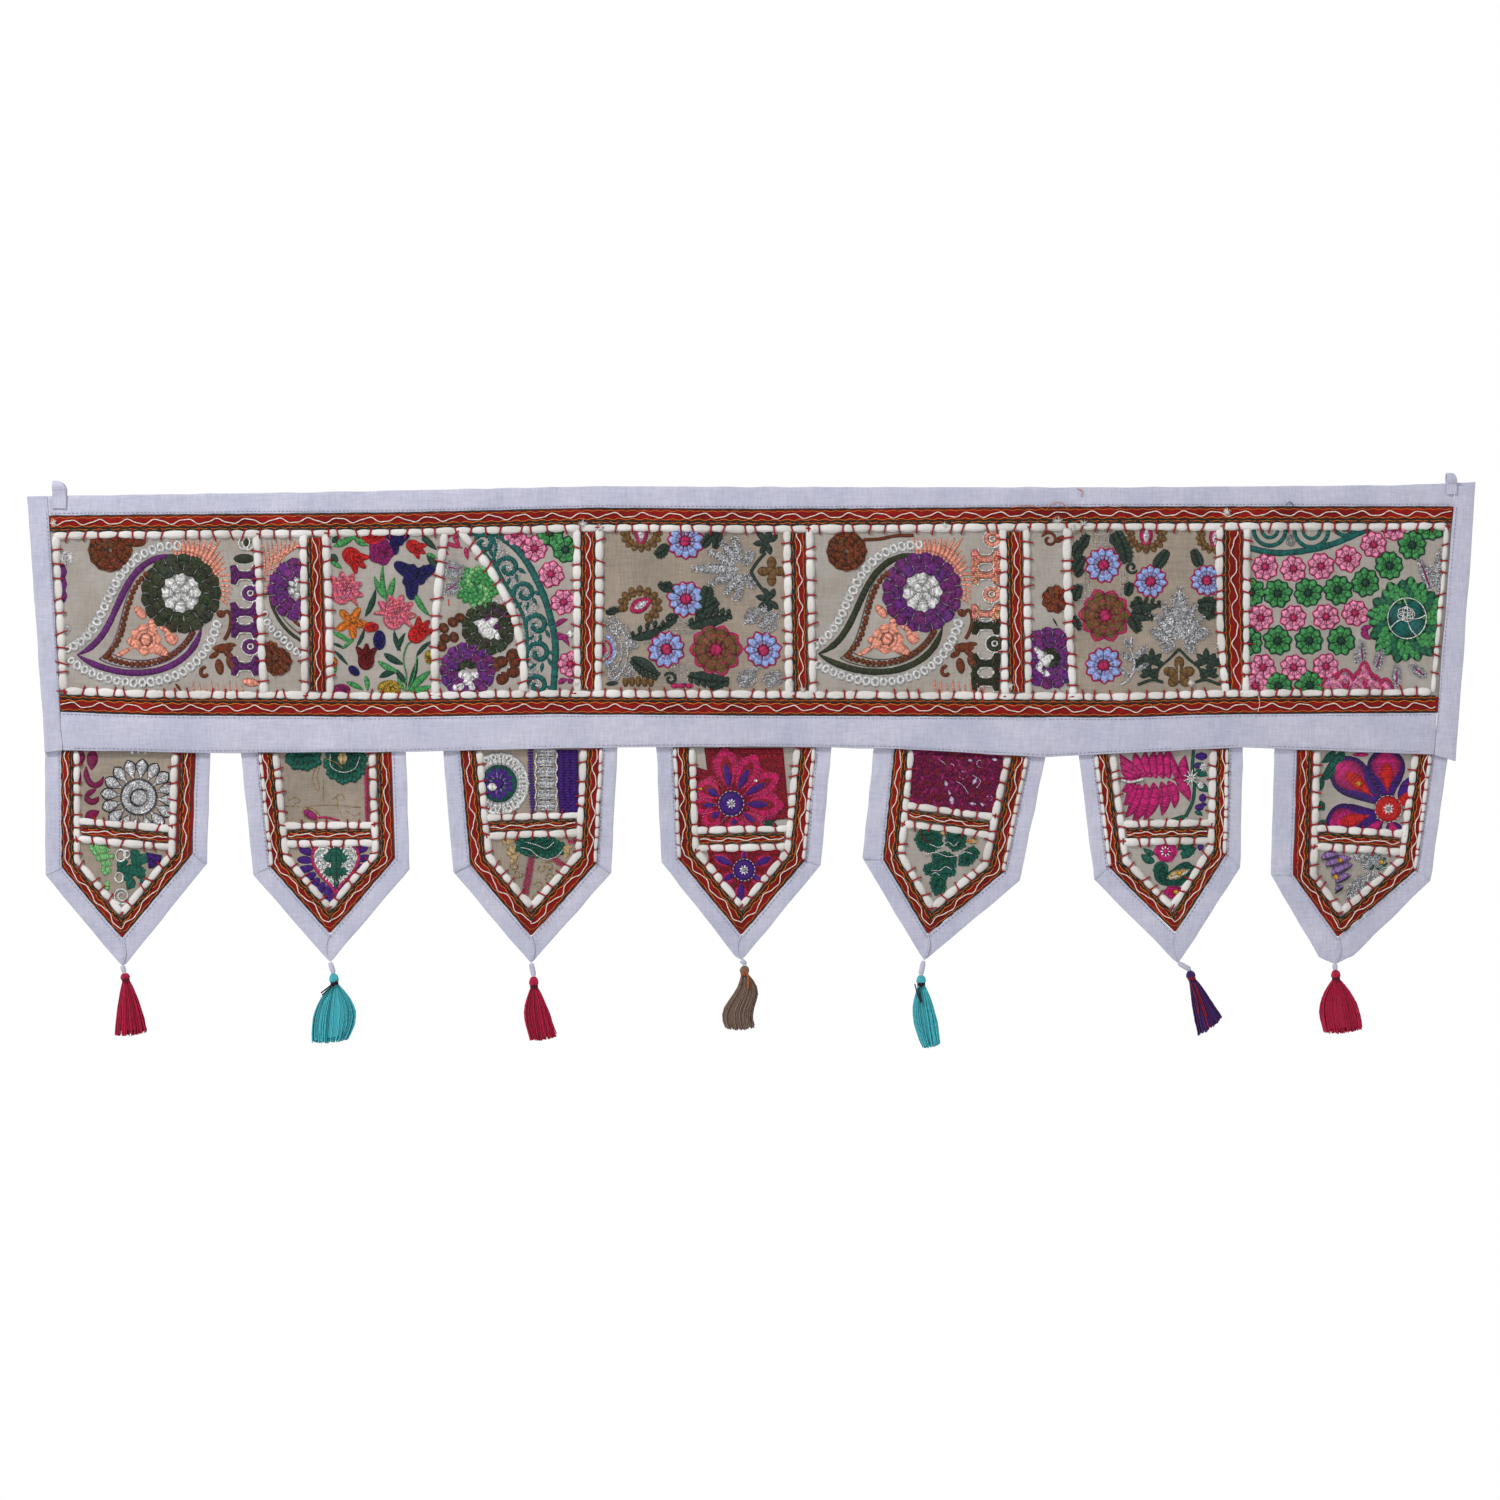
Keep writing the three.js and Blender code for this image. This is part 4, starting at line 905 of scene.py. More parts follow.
class Patch:
    """Coloured and silver thread on one patch, in units of its enlargement."""

    def __init__(self, face, x0, y0, zoom, seed):
        self.x0, self.y0, self.zoom = x0, y0, zoom
        self.unit = PIXEL / zoom
        self.floss, self.silver = Sewing(face), Sewing(face)
        self.luck = np.random.default_rng(seed)

    def mm(self, points):
        p = np.asarray(points, float).reshape(-1, 2)
        return np.stack(spot(self.x0 + p[:, 0] / self.zoom, self.y0 + p[:, 1] / self.zoom), axis=1)

    def on(self, colour):
        return self.silver if colour in METALS else self.floss

    def satin(self, points, width, colour, taper=0.0, height=0.7, base=0.1, closed=False, chain=False,
              cols=5):
        """A raised band through points; its stitches run across it, or along it with chain."""
        path = smooth(self.mm(points), 1.2, closed)
        s = np.linspace(0, 1, len(path))
        profile = np.ones(len(path))
        if taper:
            profile = np.clip(np.minimum(s, 1 - s) / taper, 0.02, 1) ** 0.6
        profile = profile * self.luck.uniform(0.93, 1.07, len(path))
        self.on(colour).strip(path, width * self.unit / 2 * profile, height, colour, base, cols,
                              along_threads=chain)

    def line(self, points, width, colour, closed=False, lift=0.25):
        path = smooth(self.mm(points), 1.1, closed)
        self.on(colour).thread(path, width * self.unit / 2, lift + width * self.unit / 4, colour, sides=3)

    def leaf(self, x0, y0, x1, y1, width, colour, bend=0.0, fat=0.85, height=0.65, base=0.1, vein=None):
        """A leaf or petal from its base to its tip; bend curves it to the left of that way."""
        a, b = self.mm([(x0, y0), (x1, y1)])
        length = np.linalg.norm(b - a)
        s = np.linspace(0, 1, max(6, int(length / 1.1)))
        way = (b - a) / max(length, 1e-6)
        off = np.array([-way[1], way[0]]) * bend * length
        path = a + (b - a) * s[:, None] + off * (4 * s * (1 - s))[:, None]
        half = width * self.unit / 2 * np.clip(np.sin(np.pi * s**fat), 0.03, 1) ** 0.75
        uneven = min(0.08, 0.28 / (width * self.unit))
        half = half * self.luck.uniform(1 - uneven, 1 + uneven, len(s))
        cols = 4 if width * self.unit < 4 else 5
        self.on(colour).strip(path, half, height, colour, base, cols, shade=0.62)
        if vein is not None:
            self.on(vein).thread(path[1:-1], 0.22, base + height + 0.1, vein)

    def leaves(self, rows, colour, widen=1.0, **how):
        """A leaf for each row of x0, y0, x1, y1 and width."""
        for *ends, width in rows:
            self.leaf(*ends, widen * width, colour, **how)

    def blobs(self, rows, colour, dx=0, dy=0, **how):
        """A blob for each row of x, y, x radius, y radius and turn."""
        for x, y, rx, ry, turn in rows:
            self.blob(x + dx, y + dy, rx, ry, colour, turn, **how)

    def lines(self, paths, width, colour, lift):
        for path in paths:
            self.line(path, width, colour, lift=lift)

    def blob(self, x, y, rx, ry, colour, turn=0.0, height=0.75, base=0.1, shade=0.65):
        """An ellipse whose stitches run across its x radius direction, turned clockwise in degrees."""
        a = radians(turn)
        s = np.linspace(-1, 1, max(6, int(2 * rx * self.unit / 1.0)))
        path = self.mm(np.stack(polar(x, y, a, rx * s), axis=1))
        uneven = min(0.06, 0.12 / (ry * self.unit))
        half = ry * self.unit * np.clip(1 - s**2, 0.01, 1) ** 0.5
        half = half * self.luck.uniform(1 - uneven, 1 + uneven, len(s))
        cols = 4 if ry * self.unit < 1.8 else 5
        self.on(colour).strip(path, half, height, colour, base, cols, shade=shade)

    def flower(self, x, y, r, count, colour, core=0.3, core_colour=None, turn=0.0, rim=None, wide=1.0,
               height=0.7):
        for k in range(count):
            a = radians(turn) + 2 * pi * k / count + self.luck.uniform(-0.06, 0.06)
            reach = r * self.luck.uniform(0.94, 1.06)
            width = wide * 2 * pi * r * 0.68 / count * 1.12
            inner = core * r * 0.6
            ends = (*polar(x, y, a, inner), *polar(x, y, a, reach))
            if rim is not None:
                self.leaf(*ends, width * 1.2, rim, fat=1.5, height=height * 0.9)
                ends = (*ends[:2], *polar(x, y, a, 0.92 * reach))
                self.leaf(*ends, width * 0.98, colour, fat=1.5, height=height, base=0.35)
                # Painted shade: a line at 0.45 of the rim's colour lies in the gap between each two petals.
                painted_shade = tuple(0.45 * c for c in rim)
                b = a + pi / count
                self.line([polar(x, y, b, inner), polar(x, y, b, 0.86 * reach)], 2.4, painted_shade, lift=0.5)
                self.line([polar(x, y, a, 1.2 * inner), polar(x, y, a, 0.55 * reach)], 2.6, rim,
                          lift=0.5 + height)
            else:
                self.leaf(*ends, width, colour, fat=1.35, height=height)
        if core_colour is not None:
            # A copy of the core at 0.35 of its colour under the core's edge: painted shade round the raised
            # middle.
            self.blob(x, y, core * r, core * r, tuple(0.35 * c for c in core_colour), height=0.8, base=0.35)
            self.blob(x, y, 0.82 * core * r, 0.82 * core * r, core_colour, self.luck.uniform(0, 180), 0.9,
                      0.6, 0.5)

    def rosette(self, x, y, r, colour, lobes=12, hole=0.5, sparks=None, rings=2, span=(0, 360)):
        """Rings of puffed lobes about a middle, the outer one lowest, over a span of degrees."""
        band = (r - hole * r) / rings
        for ring in range(rings):
            outer = r - band * ring * 0.92
            count = max(5, int(lobes * (outer / r)))
            for k in range(count):
                at = span[0] + (span[1] - span[0]) * (k + 0.5 * (ring % 2)) / count
                a = radians(at)
                mid = outer - band * 0.62
                width = pi * outer / count * 1.22 * (span[1] - span[0]) / 360
                cx, cy = polar(x, y, a, mid)
                tone = tuple(c * self.luck.uniform(0.75, 1.3) for c in colour)
                self.blob(cx, cy, band * 0.66, width * 0.92, tone, at, 0.9, 0.15 + 0.35 * ring, 0.85)
                tone = tuple(min(1.0, c * self.luck.uniform(0.7, 1.9) + 0.01) for c in colour)
                loop = [(cx + band * 0.6 * cos(a) * u - width * 0.85 * sin(a) * w,
                         cy + band * 0.6 * sin(a) * u + width * 0.85 * cos(a) * w)
                        for u, w in ((-1, 0), (-0.3, 0.85), (0.6, 0.7), (1, 0), (0.6, -0.7), (-0.3, -0.85))]
                self.line(loop[::2], 3.4, tone, lift=0.55 + 0.35 * ring, closed=True)
                # Specks at 2.8 and 2.0 of the colour are painted glints, and those at 0.2 are painted shade
                # in the gaps between loops.
                for tint, size in ((2.8, 2.6), (2.0, 2.6), (0.2, 3.6), (0.2, 3.2)):
                    b = self.luck.uniform(0, 2 * pi)
                    u, w = self.luck.uniform(-0.5, 0.5, 2) * band
                    tone = tuple(min(1.0, tint * c + 0.02 * (tint > 1)) for c in colour)
                    start = (cx + u, cy + w)
                    self.line([start, polar(*start, b, 0.4 * band)], size, tone, lift=1.0 + 0.35 * ring)
                if sparks is not None:
                    b = a + pi / count
                    near, far = outer - band * 0.8, outer - band * 0.15
                    self.line([polar(x, y, b, near), polar(x, y, b, far)], 3.0, sparks,
                              lift=1.0 + 0.3 * ring)

    def rings(self, points, pitch, r, colour, width=None):
        """Small loops of couched thread side by side along a line."""
        path = along(smooth(points, 3.0), pitch)
        way = np.gradient(path, axis=0)
        for (x, y), (dx, dy) in zip(path, way):
            a = atan2(dy, dx) + pi / 2 + self.luck.uniform(-0.25, 0.25)
            s = np.linspace(0, 2 * pi, 9)[:-1]
            wide = width or r * 0.8
            rad = (r - wide / 2) * self.luck.uniform(0.9, 1.08)
            u, w = rad * np.cos(s), rad * 0.8 * np.sin(s)
            self.satin(turned(x, y, u, w, a), wide, colour, height=0.8, closed=True, chain=True, cols=4)

    def knots(self, points, pitch, r, colour, closed=False, base=0.15):
        for x, y in along(smooth(points, 3.0, closed), pitch):
            jitter = self.luck.uniform(-0.12, 0.12, 2) * r
            self.blob(x + jitter[0], y + jitter[1], r * self.luck.uniform(0.9, 1.1), r, colour,
                      self.luck.uniform(0, 180), 0.9, base, 0.6)

    def fill(self, points, colour, angle, pitch=4.4, length=38.0, height=0.55):
        """An outline filled with straight stitches that run at an angle, clockwise from across."""
        p = np.asarray(points, float)
        a = radians(angle)
        turn = np.array([[cos(a), sin(a)], [-sin(a), cos(a)]])
        q = p @ turn.T
        work = self.on(colour)
        # A thin thread at 0.35 of the colour round the outline: painted shade along the shape's edge.
        rim = along(np.vstack([p, p[:1]]), 6.0)
        work.thread(self.mm(rim), 0.24, 0.2, tuple(0.35 * c for c in colour))
        for v in np.arange(q[:, 1].min() + pitch / 2, q[:, 1].max(), pitch):
            ends = []
            for (ax, ay), (bx, by) in zip(q, np.roll(q, -1, axis=0)):
                if (ay <= v) != (by <= v):
                    ends.append(ax + (bx - ax) * (v - ay) / (by - ay))
            ends.sort()
            for lo, hi in zip(ends[::2], ends[1::2]):
                if hi - lo < 2:
                    continue
                breaks = [lo - self.luck.uniform(0, 1.5)]
                while hi - breaks[-1] > length * 1.5:
                    breaks.append(breaks[-1] + length * self.luck.uniform(0.6, 1.2))
                breaks.append(hi + self.luck.uniform(0, 1.5))
                for near, far in zip(breaks[:-1], breaks[1:]):
                    s = np.linspace(0, 1, 4)
                    u = near + (far - near) * s
                    w = v + self.luck.uniform(-0.6, 0.6) + 0.2 * pitch * (s - 0.5)
                    line = np.stack([u, np.broadcast_to(w, u.shape)], axis=1) @ turn
                    crown = np.sin(np.pi * np.clip((u - lo) / max(hi - lo, 1), 0, 1)) ** 0.5
                    dip = np.sin(np.pi * s) ** 0.4
                    tone = tuple(c * self.luck.uniform(0.7, 1.22) for c in colour)
                    work.thread(self.mm(line), pitch * self.unit * 0.6,
                                0.15 + height * (0.35 + 0.65 * crown) * dip,
                                tone, sides=3)

    def scribble(self, x, y, rx, ry, colour, turns, width=2.4, lift=0.5):
        """Loose loops of thread that cover an ellipse."""
        s = np.linspace(0, 2 * pi * turns, turns * 9)
        wave = 0.62 + 0.36 * np.sin(s * 1.618)
        path = np.stack([x + rx * wave * np.cos(s), y + ry * wave * np.sin(s)], axis=1)
        path += self.luck.uniform(-0.1, 0.1, path.shape) * min(rx, ry)
        self.line(path, width, colour, lift=lift)

    def lace(self, x, y, r, colour, lobes=8):
        """A flower of couched thread: scalloped loops round a middle of smaller ones."""
        painted_shade = tuple(0.45 * c for c in colour)
        for share, count, size in ((0.66, lobes, 0.36), (0.28, max(4, lobes // 2), 0.26)):
            for k in range(count):
                a = 2 * pi * (k + 0.5 * (share < 0.5)) / count + self.luck.uniform(-0.1, 0.1)
                cx, cy = polar(x, y, a, share * r)
                self.blob(cx, cy, size * r, size * r * 0.86, colour, degrees(a), 0.7,
                          0.2 + 0.3 * (share < 0.5),
                          0.7)
                # The outer ring of each scallop is drawn at 0.45 of the colour: painted shade in the gaps
                # between loops.
                for part in (0.72, 0.36):
                    s = np.linspace(0, 2 * pi, 9)[:-1]
                    self.line(np.stack([cx + part * size * r * np.cos(s),
                                        cy + part * size * r * np.sin(s)], axis=1),
                              2.4, painted_shade if part > 0.5 else colour, closed=True,
                              lift=0.75 + 0.3 * (share < 0.5))
        self.scribble(x, y, r * 0.2, r * 0.2, colour, turns=4, lift=1.1)

    def finish(self, name, inside):
        for work, kind, material in ((self.floss, "floss", FLOSS), (self.silver, "silver", SILVER)):
            if work.count:
                work.made(f"{name}_{kind}", material, "patchwork", inside)


def inside_band(left, right):
    """Faces between two upright pipings and the level ones, as far as the pipings' middles."""
    a, b = upright(left), upright(right)
    gap = 0.4

    def test(x, z):
        low = np.interp(z, a[::-1, 1], a[::-1, 0]) + gap
        high = np.interp(z, b[::-1, 1], b[::-1, 0]) - gap
        top = edge(PANEL_TOP, x) - TOP_PIPING_DROP - gap
        bottom = edge(PANEL_BOTTOM, x) + BOTTOM_PIPING_RISE + gap
        return (x > low) & (x < high) & (z < top) & (z > bottom)

    return test


def inside_outline(corners):
    corners = np.asarray(corners)

    def test(x, z):
        hits = np.zeros(len(x), bool)
        for (ax, az), (bx, bz) in zip(corners, np.roll(corners, -1, axis=0)):
            if az == bz:
                continue
            crosses = (az <= z) != (bz <= z)
            hits ^= crosses & (x < ax + (bx - ax) * (z - az) / (bz - az))
        return hits

    return test


def inside_flap(number, upper):
    """The upper or the lower patch of a flap."""
    flap = FLAPS[number - 1]
    path = ribbon_path(flap, FLAP_PIPING_HALF_WIDTH)
    rise = CROSS_PIPING_RISE if upper else -CROSS_PIPING_RISE
    left, right = cross_path(flap, rise, FLAP_PIPING_HALF_WIDTH)
    if upper:
        corners = [path[0] + (0, 3), *(p for p in path[1:2] if p[1] > left[1]), left, right,
                   *(p for p in path[3:4] if p[1] > right[1]), path[4] + (0, 3)]
    else:
        corners = [left, *(p for p in path[1:2] if p[1] <= left[1]), path[2],
                   *(p for p in path[3:4] if p[1] <= right[1]), right]
    return inside_outline(corners)


PURPLE = linear(104, 34, 112)
OLIVE = linear(50, 56, 34)
BROWN = linear(112, 50, 18)
SALMON = linear(240, 156, 132)
SILVER_GREY = linear(210, 210, 214)
SILVER_DARK = linear(168, 170, 174)
CHALK = linear(232, 229, 226)
RED = linear(206, 26, 26)
MAGENTA = linear(150, 28, 104)
PINK = linear(222, 112, 134)
NAVY = linear(24, 18, 96)
TANGERINE = linear(232, 128, 36)
GREEN = linear(66, 150, 82)
FOREST = linear(18, 66, 50)
TEAL = linear(8, 98, 92)
MUSTARD = linear(188, 160, 48)
CRIMSON = linear(112, 8, 18)
BLUE = linear(150, 174, 232)
ROSE = linear(186, 34, 92)
PINK_PALE = linear(238, 146, 182)
UMBER = linear(112, 80, 40)
PINE = linear(40, 58, 48)
FOREST_LIGHT = linear(30, 104, 72)
LOOP_SILVER = linear(230, 229, 228)
PLUM = linear(126, 8, 72)
BERRY = linear(146, 20, 96)
FUCHSIA = linear(196, 24, 112)
VIOLET = linear(66, 18, 124)
LILAC = linear(150, 116, 176)
LILAC_PALE = linear(206, 190, 220)
EMERALD = linear(10, 90, 74)
LIGHT_GREEN = linear(120, 186, 116)
SAND = linear(186, 158, 112)
GOLD = linear(214, 152, 40)
HOT_PINK = linear(204, 22, 96)
BLACK = linear(28, 28, 26)
CRIMSON_LIGHT = linear(150, 14, 40)

METALS = (SILVER_GREY, SILVER_DARK)


def blue_pink(p, x, y, r=80):
    p.flower(x, y, r, 11, BLUE, core=0.34, core_colour=ROSE, rim=ROSE, wide=1.08,
             turn=p.luck.uniform(0, 30))


def double_flower(p, x, y):
    """Two rings of rimmed petals about a round middle."""
    r = 110
    p.flower(x, y, r, 10, UMBER, core=0.3, rim=ROSE, wide=1.05)
    p.flower(x, y, 0.66 * r, 9, UMBER, core=0.42, core_colour=ROSE, rim=ROSE, wide=1.1, turn=18,
             height=1.25)


def simple_flower(p, x, y, r, colour, core_colour, rim, petals=8):
    p.flower(x, y, r, petals, colour, core=0.3, core_colour=core_colour, rim=rim, wide=1.05,
             turn=p.luck.uniform(0, 40))


def drop_fan(p, x, y, r, turn, first, last, count=9):
    """A fan of brown lobes round a pink drop; turn is where the drop points, clockwise from across."""
    for a in np.radians(np.linspace(first, last, count)):
        p.blob(*polar(x, y, a, 0.78 * r, 0.66 * r), 0.26 * r, 0.17 * r, UMBER, degrees(a),
               base=0.1, shade=0.6)
    a = radians(turn)
    dx, dy = cos(a), sin(a)
    p.leaf(x - 0.5 * r * dx, y - 0.5 * r * dy, x + 0.62 * r * dx, y + 0.62 * r * dy, 0.66 * r, ROSE,
           base=0.3)
    p.leaf(x - 0.3 * r * dx, y - 0.3 * r * dy, x + 0.42 * r * dx, y + 0.42 * r * dy, 0.34 * r, SILVER_GREY,
           base=0.7)


def fern(p, x0, y0, x1, y1, width, colour, bend=0.0, pairs=7):
    """A leaf with a saw edge and pale ribs."""
    a, b = np.array([x0, y0], float), np.array([x1, y1], float)
    way = b - a
    off = np.array([way[1], -way[0]]) * bend
    angle = atan2(way[1], way[0])
    pale = tuple(min(1.0, 2.4 * c + 0.02) for c in colour)
    p.leaf(x0, y0, x1, y1, width * 0.7, colour, bend=-bend)
    for s in np.linspace(0.06, 0.9, pairs):
        at = a + way * s + off * 4 * s * (1 - s)
        reach = width * 0.62 * sin(pi * (0.15 + 0.78 * s)) ** 0.6
        for side in (-1, 1):
            t = angle + side * 0.95
            ends = (at[0], at[1], *polar(at[0], at[1], t, reach))
            p.leaf(*ends, width * 0.34, colour, base=0.25)
            t -= side * 0.12
            p.line([tuple(at), polar(at[0], at[1], t, 0.86 * reach)], 1.5, pale,
                   lift=0.85)
    p.line([(x0, y0), tuple(a + way * 0.5 + off), (x1, y1)], 2.6, tuple(0.4 * c for c in colour), lift=1.0)


def curl(p, x, y, r, colour, turn=0.0, hand=1, width=9, turns=1.25):
    s = np.linspace(0, 1, 14)
    a = radians(turn) + hand * 2 * pi * turns * s
    rad = r * (1 - 0.78 * s)
    p.satin(np.stack([x + rad * np.cos(a), y + rad * np.sin(a)], axis=1), width, colour, taper=0.08)


def palmette(p, x, y, r, turn, colour, count=5, spread=150):
    for k in range(count):
        a = radians(turn + spread * (k / (count - 1) - 0.5))
        reach = r * (1 - 0.22 * abs(k - (count - 1) / 2) / ((count - 1) / 2))
        p.leaf(x, y, *polar(x, y, a, reach), r * 0.42, colour, fat=1.2)


def mesh_ground(p, x0, y0, x1, y1, pitch, colour):
    """A net of small couched threads."""
    for x in np.arange(x0, x1, pitch):
        y = np.linspace(y0, y1, 12)
        p.line(np.stack([x + p.luck.uniform(-1.5, 1.5, 12), y], axis=1), 1.9, colour, lift=0.1)
    for y in np.arange(y0, y1, pitch):
        x = np.linspace(x0, x1, 12)
        p.line(np.stack([x, y + p.luck.uniform(-1.5, 1.5, 12)], axis=1), 1.9, colour, lift=0.15)


def silver_leaf(p, x0, y0, x1, y1, width, vein=None):
    """A plume of silver thread: a leaf, with barbs that curl back along its edges."""
    p.leaf(x0, y0, x1, y1, width * 1.1, SILVER_GREY, vein=vein)
    norm = hypot(x1 - x0, y1 - y0)
    fx, fy = (x1 - x0) / norm, (y1 - y0) / norm
    for k in range(8):
        s = 0.12 + 0.84 * k / 7
        x, y = x0 + (x1 - x0) * s, y0 + (y1 - y0) * s
        half = width * (0.26 + 0.36 * sin(pi * s**0.85))
        for side in (-1, 1):
            nx, ny = -side * fy, side * fx
            p.line([
                (x, y), (x + nx * 0.6 * half + fx * 0.35 * width, y + ny * 0.6 * half + fy * 0.35 * width),
                (x + nx * half + fx * 0.1 * width, y + ny * half + fy * 0.1 * width),
            ], 4.2, SILVER_GREY if (k + side) % 3 else SILVER_DARK, lift=0.75)


def bezier(a, b, c, d, count=24):
    s = np.linspace(0, 1, count)[:, None]
    a, b, c, d = (np.array(v, float) for v in (a, b, c, d))
    return a * (1 - s) ** 3 + 3 * b * s * (1 - s) ** 2 + 3 * c * s**2 * (1 - s) + d * s**3


def paisley(p, dx, dy, outline, ring, spark):
    """The big paisley with its rosette, its knotted inner line and its ring of silver loops."""
    shift = np.array([dx, dy])
    upper = bezier((640, 352), (370, 360), (440, 690), (235, 762)) + shift
    lower = bezier((235, 762), (400, 880), (700, 870), (748, 650)) + shift
    p.satin(upper, 27, outline, taper=0.12)
    p.satin(lower, 27, outline, taper=0.12)
    inner_upper = bezier((520, 432), (420, 500), (455, 700), (350, 768)) + shift
    inner_lower = bezier((350, 768), (460, 830), (640, 810), (712, 672)) + shift
    p.knots(np.vstack([inner_upper, inner_lower[1:]]), 23, 12.5, BROWN)
    centre = np.array([600, 640]) + shift
    for part, away in ((inner_upper, -0.1), (inner_lower, 0.1), (inner_lower, -0.09)):
        p.line(part + (centre - part) * away, 3.6, outline)
    p.rings(bezier((650, 312), (340, 315), (390, 650), (222, 726)) + shift, 36, 26, LOOP_SILVER)
    p.rings(bezier((236, 806), (420, 920), (740, 920), (812, 636)) + shift, 36, 26, LOOP_SILVER)
    p.rosette(664 + dx, 508 + dy, 166, ring, lobes=17, hole=0.5, sparks=spark, rings=2)
    p.lace(664 + dx, 508 + dy, 92, LOOP_SILVER, lobes=8)
    p.flower(520 + dx, 700 + dy, 66, 7, SALMON, core=0.45, core_colour=SALMON, wide=1.15)
    p.blobs((
        (495, 588, 34, 18, 50), (572, 740, 46, 24, 30), (620, 694, 34, 20, 60), (470, 712, 34, 20, 20),
        (545, 640, 28, 18, 80), (600, 655, 30, 14, 20),
    ), SALMON, dx, dy)
    curl(p, 628 + dx, 700 + dy, 26, SALMON, 200, 1, 11)
    p.leaf(395 + dx, 772 + dy, 470 + dx, 728 + dy, 22, SALMON)
    for k in range(13):
        a = radians(-101 + 6.0 * k)
        reach = 228 / max(0.74, -sin(a)) if k < 9 else 240 - 7 * (k - 9)
        b = a + 0.05
        p.leaf(*polar(664 + dx, 508 + dy, b, 150), *polar(664 + dx, 508 + dy, a, reach), 19, SALMON,
               bend=-0.08 + 0.014 * k, fat=0.7)
    for k in range(6):
        a = radians(-24 + 6.5 * k)
        p.leaf(*polar(664 + dx, 508 + dy, a, 160, 150), 664 + dx + (226 - 6 * k) * cos(a + 0.1),
               508 + dy + (226 - 6 * k) * sin(a + 0.12), 14, SALMON, bend=0.16, fat=0.8)
    p.satin(bezier((832, 602), (868, 540), (890, 640), (842, 700)) + shift, 15, BROWN, chain=True)
    p.blob(828 + dx, 594 + dy, 20, 16, BROWN, 20)
    p.blobs((
        (836, 736, 42, 20, 0), (872, 800, 34, 18, 60), (822, 812, 34, 18, 80), (858, 760, 26, 13, 40),
        (800, 764, 24, 13, -30), (866, 722, 26, 10, 0),
    ), BROWN, dx, dy)
    curl(p, 764 + dx, 838 + dy, 26, BROWN, -80, -1, 16, 0.8)
    for k in range(9):
        x = 716 + dx + 25 * k
        p.leaf(x + 12, 930 + dy, x, 866 + dy + 8 * (k % 3), 8, SALMON, bend=0.1)


def arch(p, x, y, colour):
    """A broad stepped bar between two white lines."""
    for side in (-1, 1):
        p.fill([
            (x, y - 8), (x + side * 26, y - 14), (x + side * 40, y - 40), (x + side * 60, y - 36),
            (x + side * 56, y + 36), (x + side * 38, y + 40), (x + side * 26, y + 16), (x, y + 14),
        ], colour, 90)
        p.line([(x, y - 15), (x + side * 22, y - 21), (x + side * 34, y - 44)], 4.5, CHALK)
        p.line([(x, y + 21), (x + side * 22, y + 23), (x + side * 34, y + 44)], 4.5, CHALK)


def snail(p, x, y, colour):
    """A ring of coloured thread between two white spirals."""
    turns = np.radians(np.arange(-60, 301, 24))
    for r, width, tone, base in ((41, 8, CHALK, 0.1), (28, 21, colour, 0.2), (12, 8, CHALK, 0.5)):
        rad = r * (1 - 0.04 * np.arange(len(turns)) / 4)
        p.satin(np.stack([x + 4 + rad * np.cos(turns), y + 0.95 * rad * np.sin(turns)], axis=1), width,
                tone, base=base)
    p.blob(x + 6, y + 1, 7, 6, colour, base=0.5)


def patch_a(p):
    paisley(p, 0, 0, PURPLE, OLIVE, SILVER_DARK)
    p.rosette(372, 330, 92, BROWN, lobes=12, hole=0.12, rings=3, sparks=OLIVE)
    p.blob(480, 300, 40, 18, BROWN, 0)
    p.blob(925, 366, 44, 20, OLIVE, 0)
    p.rings([(925, 300), (942, 300)], 20, 34, CHALK, width=12)
    p.blob(936, 298, 20, 17, OLIVE)
    for y in (432, 585, 652, 808):
        arch(p, 928, y, PURPLE)
    for y in (508, 728):
        snail(p, 946, y, PURPLE)
    p.blob(950, 876, 36, 18, SALMON, 10)
    for y, r in ((420, 34), (470, 40), (518, 34)):
        p.blob(168, y, 26, r, PURPLE, 0, shade=0.6)
    p.rings([(192, 364), (196, 364)], 20, 30, LOOP_SILVER)
    p.rings([(192, 656), (194, 656)], 20, 22, LOOP_SILVER)
    p.rings([(196, 740), (212, 786)], 36, 20, LOOP_SILVER)
    p.satin([(560, 912), (575, 916)], 12, OLIVE)
    p.leaf(640, 880, 668, 916, 12, BROWN)
    p.blob(522, 886, 8, 7, OLIVE)


def patch_b(p):
    for k in range(15):
        x = 985 + 20 * k
        p.leaf(x - 6 - 7 * k, 470 - 13 * k, x - 28, 280 + 3 * abs(k - 7), 11, SALMON, bend=-0.05)
    for k in range(7):
        p.leaf(1000 + 4 * k, 500 - 22 * k, 1062 + 8 * k, 470 - 26 * k, 10, SALMON, bend=-0.12)
    p.rosette(1152, 492, 132, PURPLE, lobes=14, hole=0.4, sparks=SILVER_DARK, rings=2)
    p.lace(1150, 484, 52, LOOP_SILVER, lobes=7)
    p.satin([(1030, 498), (1040, 560), (1070, 620), (1110, 668), (1160, 706)], 14, OLIVE)
    p.line([(1046, 520), (1056, 560), (1082, 606), (1120, 648), (1165, 684)], 4, OLIVE)
    p.satin([(990, 510), (1010, 512), (1030, 508)], 8, OLIVE)
    p.rings([
        (1008, 596), (1022, 634), (1046, 664), (1078, 690), (1104, 718), (1134, 744), (1165, 770),
    ], 34, 22, LOOP_SILVER)
    p.rosette(1062, 790, 60, BROWN, lobes=10, hole=0.1, rings=2, sparks=OLIVE)
    p.rosette(1034, 738, 34, BROWN, lobes=8, hole=0.1, rings=1)
    p.leaf(1120, 610, 1162, 652, 16, BROWN)


